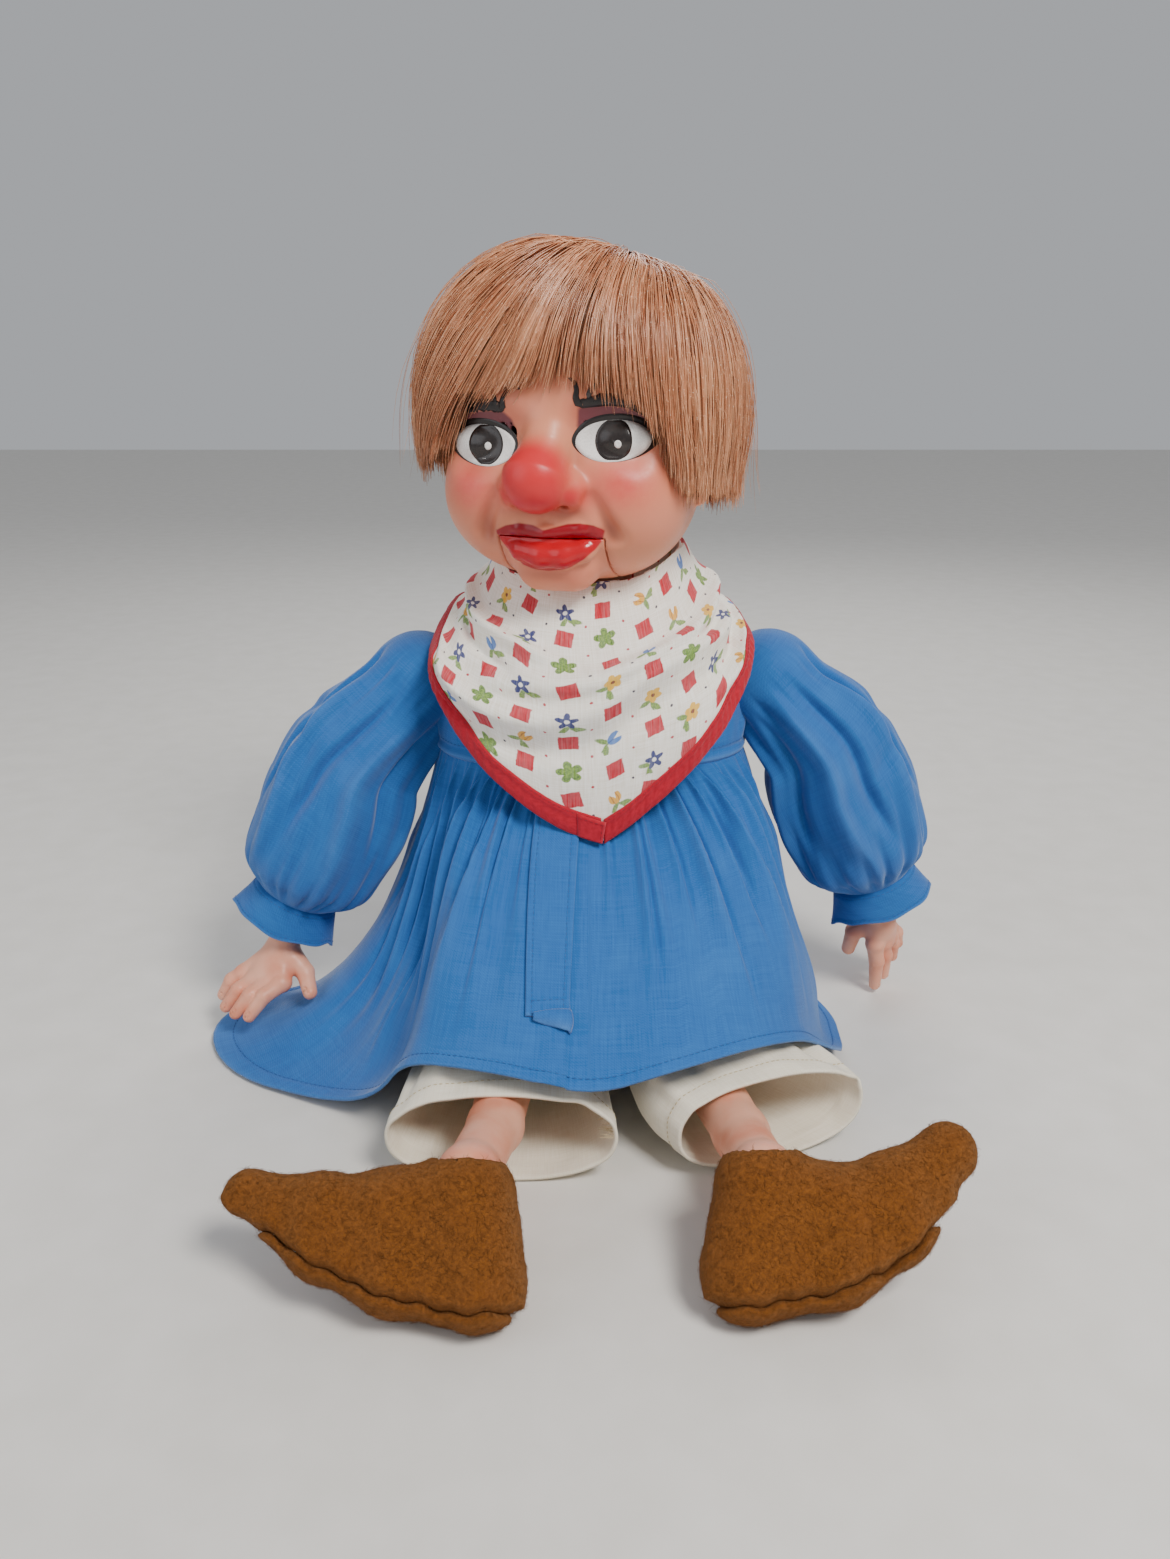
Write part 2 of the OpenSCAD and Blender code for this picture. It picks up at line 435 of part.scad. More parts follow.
ANK = [sole_pt(0, 24, 58), sole_pt(1, 26, 56)];
LEG = [[HIP[0], [-40, -60, 30], [-40, -95, 27.5], [-42, -145, 31.5], ANK[0]],
       [HIP[1], [48, -60, 30], [57, -95, 25.5], [65, -145, 27.5], ANK[1]]];
module thigh(i) loft(tube([HIP[i] + [0, 17, 0], HIP[i] + [0, 8, 0], HIP[i], LEG[i][1], LEG[i][2] + [0, 3, 0]],
  [6, 17, 20, 19, 15], [6, 17, 20, 18, 15], [0, 0, 1], 20));
module shin(i) {
  F = FOOT[i]; L = LEG[i];
  hull() { ball(L[2] + [0, -14, 0], 13.5, 16); ball(L[3], shin_r, 16); }
  hull() { ball(L[3], shin_r, 16); ball(L[4], shin_r, 16); }
  hull() { ball(L[4], shin_r, 16); ball(sole_pt(i, F[0][0], F[0][1]), 13, 16); ball(sole_pt(i, F[2][0], F[2][1] + 3), 11.5, 16); }
  hull() { ball(sole_pt(i, F[2][0], F[2][1] + 3), 11.5, 16); ball(sole_pt(i, F[4][0], F[4][1] + 3), 9, 16); }
}
// Trouser legs, from the hip to the open hem: centre, half width, half height.
TRO = [[[-39, -42, 29.5, 30, 27], [-40, -75, 28.5, 38, 27], [-39, -110, 27.5, 46, 26], [-39.5, -142, 23, 51, 22]],
       [[43, -42, 29.5, 30, 27], [49, -76, 28.5, 35, 27], [63, -106, 26.5, 43, 25], [82, -127, 22.5, 46, 22]]];
function tro_rings(i, g) = let (h = HIP[i]) concat(
  [for (q = [0.97, 0.80, 0.45, 0]) let (r = hip_r*sqrt(1 - q*q) - g)
    ring(h + [0, hip_r*q - (q > 0.9 ? g : 0), 0], [0, -1, 0], [0, 0, 1], max(2, r), max(2, r), 28)],
  [for (k = [0:3]) let (q = TRO[i][k], t = k < 2 ? [0, -1, 0] : unit([i == 0 ? 0 : 0.35, -1, 0]))
    ring([q[0], q[1], q[2]], t, [0, 0, 1], q[3] - g, q[4] - g, 28, 2.3)]);
module trouser_leg(i) cup(tro_rings(i, 0), tro_rings(i, 1.8));

module left_arm() color("#d9c7a8") arm(0);
module right_arm() color("#d9c7a8") arm(1);
module left_sleeve() color(blue) sleeve(0);
module right_sleeve() color(blue) sleeve(1);
module left_cuff() color(blue) cuff(0);
module right_cuff() color(blue) cuff(1);
module left_thigh() color("#d9c7a8") thigh(0);
module right_thigh() color("#d9c7a8") thigh(1);
module left_shin() color(vinyl) shin(0);
module right_shin() color(vinyl) shin(1);
module left_trouser_leg() color(cream) trouser_leg(0);
module right_trouser_leg() color(cream) trouser_leg(1);

head_shell();
jaw();
jaw_frame();
jaw_pin();
jaw_spring();
mechanism_frame();
neck_ball();
control_post();
lever_pin();
thumb_lever();
push_rod();
neck_slip_ring();
neck_socket();
shoulder_board();
wig();
wig_cap();
torso();
trouser_seat();
smock_yoke();
smock_skirt();
placket();
neckerchief();
neckerchief_binding();
left_arm();
left_hand();
left_sleeve();
left_cuff();
right_arm();
right_hand();
right_sleeve();
right_cuff();
left_thigh();
left_shin();
left_trouser_leg();
slipper_upper(0);  // left_slipper_upper
slipper_sole(0);  // left_slipper_sole
right_thigh();
right_shin();
right_trouser_leg();
slipper_upper(1);  // right_slipper_upper
slipper_sole(1);  // right_slipper_sole
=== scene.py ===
import bpy
import math
import numpy as np
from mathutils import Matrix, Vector


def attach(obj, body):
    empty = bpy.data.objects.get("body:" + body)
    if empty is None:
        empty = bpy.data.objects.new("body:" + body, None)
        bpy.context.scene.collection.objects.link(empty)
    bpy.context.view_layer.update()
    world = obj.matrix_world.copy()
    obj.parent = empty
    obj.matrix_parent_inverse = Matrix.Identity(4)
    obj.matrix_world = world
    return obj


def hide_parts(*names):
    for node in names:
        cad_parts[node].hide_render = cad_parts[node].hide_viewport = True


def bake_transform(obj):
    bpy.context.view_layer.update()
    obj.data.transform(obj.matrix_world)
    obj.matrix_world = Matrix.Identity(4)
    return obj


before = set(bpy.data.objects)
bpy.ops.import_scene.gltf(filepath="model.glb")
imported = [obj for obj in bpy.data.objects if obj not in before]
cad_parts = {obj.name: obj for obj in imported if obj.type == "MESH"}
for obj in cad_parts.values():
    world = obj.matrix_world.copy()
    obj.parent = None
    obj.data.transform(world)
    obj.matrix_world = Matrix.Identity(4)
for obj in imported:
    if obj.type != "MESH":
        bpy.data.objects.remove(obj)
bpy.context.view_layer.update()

# Everything below is worked in millimetres and put into Blender in metres.
PI = math.pi


# ------------------------------------------------------------------ small maths
def V3(a):
    return np.asarray(a, float)


def unit(a):
    a = V3(a)
    return a / np.maximum(np.linalg.norm(a, axis=-1, keepdims=True), 1e-12)


def sstep(x, a, b):
    t = np.clip((np.asarray(x, float) - a) / (b - a), 0, 1)
    return t * t * (3 - 2 * t)


def gauss(x, w):
    return np.exp(-(np.asarray(x, float) / w) ** 2)


def hash1(n):
    x = np.sin(np.asarray(n, float) * 127.1 + 11.7) * 43758.5453
    return x - np.floor(x)


def vnoise(p, seed=0.0):
    """Smooth value noise of points p (..., 3), from -1 to 1."""
    p = np.asarray(p, float)
    i = np.floor(p)
    f = p - i
    f = f * f * (3 - 2 * f)

    def h(dx, dy, dz):
        n = (i[..., 0] + dx) * 157.31 + (i[..., 1] + dy) * 113.97 + (i[..., 2] + dz) * 271.83 + seed * 17.17
        x = np.sin(n) * 43758.5453
        return x - np.floor(x)
    x0 = h(0, 0, 0) * (1 - f[..., 0]) + h(1, 0, 0) * f[..., 0]
    x1 = h(0, 1, 0) * (1 - f[..., 0]) + h(1, 1, 0) * f[..., 0]
    x2 = h(0, 0, 1) * (1 - f[..., 0]) + h(1, 0, 1) * f[..., 0]
    x3 = h(0, 1, 1) * (1 - f[..., 0]) + h(1, 1, 1) * f[..., 0]
    y0 = x0 * (1 - f[..., 1]) + x1 * f[..., 1]
    y1 = x2 * (1 - f[..., 1]) + x3 * f[..., 1]
    return (y0 * (1 - f[..., 2]) + y1 * f[..., 2]) * 2 - 1


def fbm(p, octaves=3, seed=0.0):
    s, a, out = 1.0, 1.0, 0.0
    for k in range(octaves):
        out = out + a * vnoise(np.asarray(p) * s, seed + 3.7 * k)
        s, a = s * 2.03, a * 0.5
    return out / 1.75


def catmull(P, t):
    """Catmull-Rom through control rows P (m, ...), at parameters t in 0..m-1."""
    P = np.asarray(P, float)
    m = len(P)
    t = np.clip(np.asarray(t, float), 0, m - 1 - 1e-9)
    i = np.floor(t).astype(int)
    f = (t - i).reshape((-1,) + (1,) * (P.ndim - 1))
    g = lambda k: P[np.clip(i + k, 0, m - 1)]
    p0, p1, p2, p3 = g(-1), g(0), g(1), g(2)
    p0 = np.where((i == 0).reshape(f.shape), 2 * p1 - p2, p0)
    p3 = np.where((i >= m - 2).reshape(f.shape), 2 * p2 - p1, p3)
    return 0.5 * (2 * p1 + (p2 - p0) * f + (2 * p0 - 5 * p1 + 4 * p2 - p3) * f ** 2
                  + (3 * p1 - p0 - 3 * p2 + p3) * f ** 3)


def ccatmull(P, t):
    """Closed Catmull-Rom through rows P, at parameters t in rows."""
    P = np.asarray(P, float)
    m = len(P)
    i = np.floor(t).astype(int)
    f = (t - i).reshape((-1,) + (1,) * (P.ndim - 1))
    p0, p1, p2, p3 = P[(i - 1) % m], P[i % m], P[(i + 1) % m], P[(i + 2) % m]
    return 0.5 * (2 * p1 + (p2 - p0) * f + (2 * p0 - 5 * p1 + 4 * p2 - p3) * f ** 2
                  + (3 * p1 - p0 - 3 * p2 + p3) * f ** 3)


def resample(P, n):
    P = V3(P)
    d = np.r_[0, np.cumsum(np.linalg.norm(np.diff(P, axis=0), axis=1))]
    t = np.linspace(0, d[-1], n)
    return np.stack([np.interp(t, d, P[:, k]) for k in range(P.shape[1])], 1)


# ------------------------------------------------------------------ meshes
def make(name, V, F, mat=None, body=None, attrs=None, smooth=True):
    """Object from vertices in mm and a list of face index arrays."""
    me = bpy.data.meshes.new(name)
    V = np.asarray(V, np.float32)
    F = [np.asarray(f, np.int32) for f in (F if isinstance(F, (list, tuple)) else [F]) if len(f)]
    loops = np.concatenate([f.ravel() for f in F])
    totals = np.concatenate([np.full(len(f), f.shape[1], np.int32) for f in F])
    starts = np.r_[0, np.cumsum(totals)[:-1]].astype(np.int32)
    me.vertices.add(len(V))
    me.vertices.foreach_set("co", (V * 0.001).astype(np.float32).ravel())
    me.loops.add(len(loops))
    me.loops.foreach_set("vertex_index", loops)
    me.polygons.add(len(totals))
    me.polygons.foreach_set("loop_start", starts)
    me.update(calc_edges=True)
    me.polygons.foreach_set("use_smooth", np.full(len(totals), smooth))
    for k, a in (attrs or {}).items():
        a = np.asarray(a, np.float32)
        if a.ndim == 2:
            at = me.attributes.new(k, "FLOAT_VECTOR", "POINT")
            at.data.foreach_set("vector", a.ravel())
        else:
            at = me.attributes.new(k, "FLOAT", "POINT")
            at.data.foreach_set("value", a.ravel())
    me.validate()
    o = bpy.data.objects.new(name, me)
    bpy.context.scene.collection.objects.link(o)
    if mat is not None:
        me.materials.append(mat)
    if body:
        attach(o, body)
    return o


def quads(m, n, closed=False, o=0):
    i = np.arange(m - 1)[:, None]
    k = np.arange(n if closed else n - 1)[None, :]
    k2 = (k + 1) % n
    return np.stack([o + i * n + k, o + (i + 1) * n + k, o + (i + 1) * n + k2, o + i * n + k2], -1).reshape(-1, 4)


def grid_normals(P, closed=False):
    """Normals of a grid P (m, n, 3); closed wraps the second axis."""
    du = np.gradient(P, axis=0)
    if closed:
        dv = (np.roll(P, -1, 1) - np.roll(P, 1, 1)) / 2
    else:
        dv = np.gradient(P, axis=1)
    return unit(np.cross(du, dv))


def cloth(name, P, mat, closed=False, thick=0.7, uv=None, sign=1.0, body=None, extra=None, keep=None,
          tmap=None):
    """Two-sided cloth from a grid of outer points: an outer and an inner layer joined at the edges.
    sign sets which way the outer layer faces; keep is a mask of grid faces; tmap scales the thickness."""
    m, n = P.shape[:2]
    N = grid_normals(P, closed) * sign
    t = (thick * (np.ones((m, n)) if tmap is None else tmap))[..., None]
    A, B = P.reshape(-1, 3), (P - N * t).reshape(-1, 3)
    F = quads(m, n, closed)
    if keep is not None:
        F = F[keep.reshape(-1)]
    if sign < 0:
        F = F[:, ::-1]
    o = m * n
    G = F[:, ::-1] + o
    e = np.concatenate([F[:, [0, 1]], F[:, [1, 2]], F[:, [2, 3]], F[:, [3, 0]]])
    key = np.sort(e, 1)
    key = key[:, 0].astype(np.int64) * (o + 1) + key[:, 1]
    u, idx, cnt = np.unique(key, return_index=True, return_counts=True)
    b = e[idx[cnt == 1]]
    R = np.stack([b[:, 1], b[:, 0], b[:, 0] + o, b[:, 1] + o], 1)
    Vv = np.concatenate([A, B])
    used = np.zeros(2 * o, bool)
    allF = np.concatenate([F, G, R])
    used[allF.ravel()] = True
    new = np.cumsum(used) - 1
    if uv is None:
        du = np.linalg.norm(np.diff(P, axis=0), axis=2)
        uv = np.zeros((m, n, 3))
    at = {"rest": np.concatenate([uv.reshape(-1, 3)] * 2)[used]}
    for k, a in (extra or {}).items():
        at[k] = np.concatenate([a.reshape(-1)] * 2)[used]
    return make(name, Vv[used], [new[allF]], mat, body, at)


def arc_uv(P, closed=False, along=None):
    """Flat coordinates of a grid in mm: across (second axis) and along (first axis)."""
    m, n = P.shape[:2]
    d = np.linalg.norm(np.diff(P, axis=1), axis=2)
    if along is not None:
        d = np.repeat(d[along:along + 1], m, 0)
    u = np.concatenate([np.zeros((m, 1)), np.cumsum(d, 1)], 1)
    dv = np.linalg.norm(np.diff(P, axis=0), axis=2)
    v = np.concatenate([np.zeros((1, n)), np.cumsum(dv, 0)], 0)
    return np.stack([u, v, np.zeros_like(u)], -1)


def pills(name, A, B, N, r, mat, body, flat=0.7, sides=6):
    """Short rounded stitches from A to B (k, 3), lying on normals N."""
    A, B, N = V3(A), V3(B), unit(N)
    k = len(A)
    T = unit(B - A)
    S = unit(np.cross(T, N))
    Nn = np.cross(S, T)
    L = np.linalg.norm(B - A, axis=1)[:, None, None]
    q = np.array([[0.0, 0.25], [0.12, 0.75], [0.35, 1.0], [0.65, 1.0], [0.88, 0.75], [1.0, 0.25]])
    ang = np.arange(sides) / sides * 2 * PI
    P = (A[:, None, None] + T[:, None, None] * L[..., None] * q[None, :, 0, None, None]
         + S[:, None, None] * (r * q[:, 1])[None, :, None, None] * np.cos(ang)[None, None, :, None]
         + Nn[:, None, None] * (r * flat * q[:, 1])[None, :, None, None] * np.sin(ang)[None, None, :, None])
    V = P.reshape(-1, 3)
    f = quads(len(q), sides, True)
    nv = len(q) * sides
    F = (f[None] + (np.arange(k) * nv)[:, None, None]).reshape(-1, 4)
    c0 = np.arange(sides)
    caps = []
    for a in range(1, sides - 1):
        caps.append([0, c0[a], c0[a + 1]])
        caps.append([(len(q) - 1) * sides, (len(q) - 1) * sides + c0[a + 1], (len(q) - 1) * sides + c0[a]])
    C = (np.array(caps)[None] + (np.arange(k) * nv)[:, None, None]).reshape(-1, 3)
    return make(name, V, [F[:, ::-1], C], mat, body)


def stitch_line(name, pts, nrm, mat, body, pitch=3.0, length=2.1, r=0.28, lift=0.05, closed=False):
    """Stitches along a polyline pts with normals nrm."""
    pts, nrm = V3(pts), V3(nrm)
    if closed:
        pts, nrm = np.r_[pts, pts[:1]], np.r_[nrm, nrm[:1]]
    d = np.r_[0, np.cumsum(np.linalg.norm(np.diff(pts, axis=0), axis=1))]
    k = max(2, int(d[-1] / pitch))
    t = (np.arange(k) + 0.5) / k * d[-1]
    at = lambda x: np.stack([np.interp(x, d, pts[:, c]) for c in range(3)], 1)
    nn = unit(np.stack([np.interp(t, d, nrm[:, c]) for c in range(3)], 1))
    jit = (hash1(t * 3.1) - 0.5) * 0.35
    A, B = at(t - length / 2 + jit), at(t + length / 2 + jit)
    return pills(name, A + nn * lift, B + nn * lift, nn, r, mat, body)


# ------------------------------------------------------------------ implicit surfaces
def cap(p, a, b, ra, rb):
    a, b = V3(a), V3(b)
    ab = b - a
    t = np.clip(((p - a) @ ab) / max(ab @ ab, 1e-9), 0, 1)
    return np.linalg.norm(p - a - t[:, None] * ab, axis=1) - (ra + (rb - ra) * t)


def ball(p, c, r):
    return np.linalg.norm(p - V3(c), axis=1) - r


def ell(p, c, r):
    q = (p - V3(c)) / V3(r)
    g = np.linalg.norm(q, axis=1)
    return (g - 1) * np.min(r) * 1.0


def box3(p, lo, hi):
    c, h = (V3(lo) + V3(hi)) / 2, (V3(hi) - V3(lo)) / 2
    q = np.abs(p - c) - h
    return np.linalg.norm(np.maximum(q, 0), axis=1) + np.minimum(q.max(1), 0)


def smin(a, b, k):
    h = np.clip(0.5 + 0.5 * (b - a) / k, 0, 1)
    return b + (a - b) * h - k * h * (1 - h)


def smax(a, b, k):
    return -smin(-a, -b, k)


def nets(f, lo, hi, h, lip=1.7, newton=2):
    """Surface net of f = 0 in the box lo..hi with cell h, vertices moved onto the surface."""
    lo, hi = V3(lo), V3(hi)
    B = 4
    nb = np.ceil((hi - lo) / (h * B)).astype(int) + 1
    n = nb * B
    vals = np.full(n, 1e3, np.float32)
    gb = np.stack(np.meshgrid(*[np.arange(k) for k in nb], indexing="ij"), -1).reshape(-1, 3)
    cen = lo + (gb * B + (B - 1) / 2) * h
    fc = f(cen)
    near = np.abs(fc) < h * B * 0.87 * lip
    v6 = vals.reshape(nb[0], B, nb[1], B, nb[2], B)
    v6[:] = np.where(near, 0, fc).reshape(nb)[:, None, :, None, :, None]
    loc = np.stack(np.meshgrid(*[np.arange(B)] * 3, indexing="ij"), -1).reshape(-1, 3)
    gn = gb[near]
    step = 4000
    for s in range(0, len(gn), step):
        g = gn[s:s + step]
        ii = g[:, None] * B + loc[None]
        p = lo + ii.reshape(-1, 3) * h
        w = f(p).reshape(len(g), -1)
        I = ii.reshape(-1, 3)
        vals[I[:, 0], I[:, 1], I[:, 2]] = w.reshape(-1)
    S = vals < 0
    c = np.zeros(n - 1, np.int8)
    for dx in (0, 1):
        for dy in (0, 1):
            for dz in (0, 1):
                c += S[dx:n[0] - 1 + dx, dy:n[1] - 1 + dy, dz:n[2] - 1 + dz]
    act = (c > 0) & (c < 8)
    cid = np.full(n - 1, -1, np.int64)
    cid[act] = np.arange(act.sum())
    N = int(act.sum())
    acc, cnt, Q = np.zeros((N, 3)), np.zeros(N), []
    for ax in range(3):
        sl0, sl1 = [slice(None)] * 3, [slice(None)] * 3
        sl0[ax], sl1[ax] = slice(0, -1), slice(1, None)
        a, b = vals[tuple(sl0)], vals[tuple(sl1)]
        I = np.argwhere((a < 0) != (b < 0))
        va, vb = a[tuple(I.T)], b[tuple(I.T)]
        t = va / (va - vb)
        p = I.astype(float)
        p[:, ax] += t
        o1, o2 = (ax + 1) % 3, (ax + 2) % 3
        ok = (I[:, o1] > 0) & (I[:, o2] > 0) & (I[:, o1] < n[o1] - 1) & (I[:, o2] < n[o2] - 1)
        I, p, va = I[ok], p[ok], va[ok]
        ids = []
        for d1, d2 in ((-1, -1), (0, -1), (0, 0), (-1, 0)):
            J = I.copy()
            J[:, o1] += d1
            J[:, o2] += d2
            k = cid[tuple(J.T)]
            ids.append(k)
            for q in range(3):
                acc[:, q] += np.bincount(k, p[:, q], N)
            cnt += np.bincount(k, minlength=N)
        q4 = np.stack(ids, 1)
        flip = va > 0
        q4[flip] = q4[flip][:, ::-1]
        Q.append(q4)
    V = lo + acc / cnt[:, None] * h
    F = np.concatenate(Q)
    e = h * 0.25
    for _ in range(newton):
        f0 = f(V)
        g = np.stack([(f(V + d) - f(V - d)) / (2 * e) for d in np.eye(3) * e], 1)
        gg = np.maximum((g * g).sum(1), 0.3)
        stepv = -(f0 / gg)[:, None] * g
        L = np.linalg.norm(stepv, axis=1)
        V = V + stepv * np.minimum(1, 0.8 * h / np.maximum(L, 1e-9))[:, None]
    return V, F


def relax(V, F, k=1, w=0.5):
    """Evens out a net by moving vertices toward their neighbours' mean."""
    n = len(V)
    e = np.concatenate([F[:, [0, 1]], F[:, [1, 2]], F[:, [2, 3]], F[:, [3, 0]]])
    e = np.concatenate([e, e[:, ::-1]])
    c = np.bincount(e[:, 0], minlength=n)[:, None]
    for _ in range(k):
        s = np.stack([np.bincount(e[:, 0], V[e[:, 1], q], n) for q in range(3)], 1)
        V = V * (1 - w) + w * s / np.maximum(c, 1)
    return V


def grad(f, V, e=0.3):
    return unit(np.stack([f(V + d) - f(V - d) for d in np.eye(3) * e], 1))


# ------------------------------------------------------------------ materials
def lin(c):
    if isinstance(c, str):
        c = c.lstrip("#")
        c = [int(c[i:i + 2], 16) / 255 for i in (0, 2, 4)]
    return tuple((x / 12.92 if x <= 0.04045 else ((x + 0.055) / 1.055) ** 2.4) for x in c[:3]) + (1.0,)


class Sock:
    def __init__(self, m, s):
        self.m, self.s = m, s

    def __add__(self, o): return self.m.math("ADD", self, o)
    def __radd__(self, o): return self.m.math("ADD", o, self)
    def __sub__(self, o): return self.m.math("SUBTRACT", self, o)
    def __rsub__(self, o): return self.m.math("SUBTRACT", o, self)
    def __mul__(self, o): return self.m.math("MULTIPLY", self, o)
    def __rmul__(self, o): return self.m.math("MULTIPLY", o, self)
    def __truediv__(self, o): return self.m.math("DIVIDE", self, o)
    def __neg__(self): return self.m.math("MULTIPLY", self, -1.0)


class Mat:
    """A node material with expression helpers."""

    def __init__(self, name, **kw):
        self.mat = bpy.data.materials.new(name)
        self.mat.use_nodes = True
        self.t = self.mat.node_tree
        self.N, self.L = self.t.nodes, self.t.links
        self.p = next(n for n in self.N if n.type == "BSDF_PRINCIPLED")
        for k, v in kw.items():
            self.p.inputs[k.replace("_", " ")].default_value = v

    def put(self, sock, v):
        if isinstance(v, Sock):
            self.L.new(v.s, sock)
        else:
            sock.default_value = v

    def math(self, op, *a):
        n = self.N.new("ShaderNodeMath")
        n.operation = op
        for i, x in enumerate(a):
            self.put(n.inputs[i], x)
        return Sock(self, n.outputs[0])

    def sin(self, x): return self.math("SINE", x)
    def cos(self, x): return self.math("COSINE", x)
    def abs(self, x): return self.math("ABSOLUTE", x)
    def floor(self, x): return self.math("FLOOR", x)
    def fract(self, x): return self.math("FRACT", x)
    def sqrt(self, x): return self.math("SQRT", x)
    def mx(self, a, b): return self.math("MAXIMUM", a, b)
    def mn(self, a, b): return self.math("MINIMUM", a, b)
    def lt(self, a, b): return self.math("LESS_THAN", a, b)
    def gt(self, a, b): return self.math("GREATER_THAN", a, b)
    def pow(self, a, b): return self.math("POWER", a, b)

    def vec(self, name="rest"):
        n = self.N.new("ShaderNodeAttribute")
        n.attribute_name = name
        return Sock(self, n.outputs["Vector"])

    def val(self, name):
        n = self.N.new("ShaderNodeAttribute")
        n.attribute_name = name
        return Sock(self, n.outputs["Fac"])

    def obj(self):
        n = self.N.new("ShaderNodeTexCoord")
        return Sock(self, n.outputs["Object"])

    def sep(self, v):
        n = self.N.new("ShaderNodeSeparateXYZ")
        self.put(n.inputs[0], v)
        return [Sock(self, o) for o in n.outputs]

    def comb(self, x, y, z=0.0):
        n = self.N.new("ShaderNodeCombineXYZ")
        for i, q in enumerate((x, y, z)):
            self.put(n.inputs[i], q)
        return Sock(self, n.outputs[0])

    def scale(self, v, s):
        n = self.N.new("ShaderNodeVectorMath")
        n.operation = "MULTIPLY"
        self.put(n.inputs[0], v)
        self.put(n.inputs[1], tuple(s) if hasattr(s, "__len__") else (s, s, s))
        return Sock(self, n.outputs[0])

    def vadd(self, v, o):
        n = self.N.new("ShaderNodeVectorMath")
        n.operation = "ADD"
        self.put(n.inputs[0], v)
        self.put(n.inputs[1], o)
        return Sock(self, n.outputs[0])

    def noise(self, v, scale=1.0, detail=2.0, rough=0.5, dist=0.0):
        n = self.N.new("ShaderNodeTexNoise")
        self.put(n.inputs["Vector"], v)
        n.inputs["Scale"].default_value = scale
        n.inputs["Detail"].default_value = detail
        n.inputs["Roughness"].default_value = rough
        n.inputs["Distortion"].default_value = dist
        return Sock(self, n.outputs[0])

    def vor(self, v, scale=1.0, rnd=1.0):
        n = self.N.new("ShaderNodeTexVoronoi")
        self.put(n.inputs["Vector"], v)
        n.inputs["Scale"].default_value = scale
        n.inputs["Randomness"].default_value = rnd
        return Sock(self, n.outputs["Distance"])

    def white(self, v):
        n = self.N.new("ShaderNodeTexWhiteNoise")
        n.noise_dimensions = "3D"
        self.put(n.inputs["Vector"], v)
        return Sock(self, n.outputs["Value"])

    def sm(self, x, a, b, lo=0.0, hi=1.0):
        n = self.N.new("ShaderNodeMapRange")
        n.interpolation_type = "SMOOTHSTEP"
        for i, q in enumerate((x, a, b, lo, hi)):
            self.put(n.inputs[i], q)
        return Sock(self, n.outputs[0])

    def lr(self, x, a, b, lo=0.0, hi=1.0):
        n = self.N.new("ShaderNodeMapRange")
        for i, q in enumerate((x, a, b, lo, hi)):
            self.put(n.inputs[i], q)
        return Sock(self, n.outputs[0])

    def mix(self, f, a, b, mode="MIX"):
        n = self.N.new("ShaderNodeMix")
        n.data_type = "RGBA"
        n.blend_type = mode
        self.put(n.inputs[0], f)
        self.put(n.inputs[6], lin(a) if isinstance(a, str) else a)
        self.put(n.inputs[7], lin(b) if isinstance(b, str) else b)
        return Sock(self, n.outputs[2])

    def hsv(self, c, h=0.5, s=1.0, v=1.0):
        n = self.N.new("ShaderNodeHueSaturation")
        for k, q in (("Hue", h), ("Saturation", s), ("Value", v)):
            self.put(n.inputs[k], q)
        self.put(n.inputs["Color"], lin(c) if isinstance(c, str) else c)
        return Sock(self, n.outputs[0])

    def bump(self, h, strength=0.3, dist=0.001, normal=None):
        n = self.N.new("ShaderNodeBump")
        n.inputs["Strength"].default_value = strength
        n.inputs["Distance"].default_value = dist
        self.put(n.inputs["Height"], h)
        if normal is not None:
            self.put(n.inputs["Normal"], normal)
        return Sock(self, n.outputs[0])

    def out(self, color=None, rough=None, normal=None):
        if color is not None:
            self.put(self.p.inputs["Base Color"], lin(color) if isinstance(color, str) else color)
        if rough is not None:
            self.put(self.p.inputs["Roughness"], rough)
        if normal is not None:
            self.put(self.p.inputs["Normal"], normal)
        return self.mat

    def weave(self, x, y, pitch):
        """Height of a plain weave at flat coordinates x, y in mm: 0 in the gaps, 1 on the threads."""
        a, b = x / pitch, y / pitch
        pa, pb = self.floor(a) * PI, self.floor(b) * PI
        wa = self.abs(self.sin(a * PI))
        wb = self.abs(self.sin(b * PI))
        over_a = self.cos(b * PI + pa) * 0.35 + 0.65
        over_b = self.cos(a * PI + pb) * -0.35 + 0.65
        return self.mx(wa * over_a, wb * over_b)


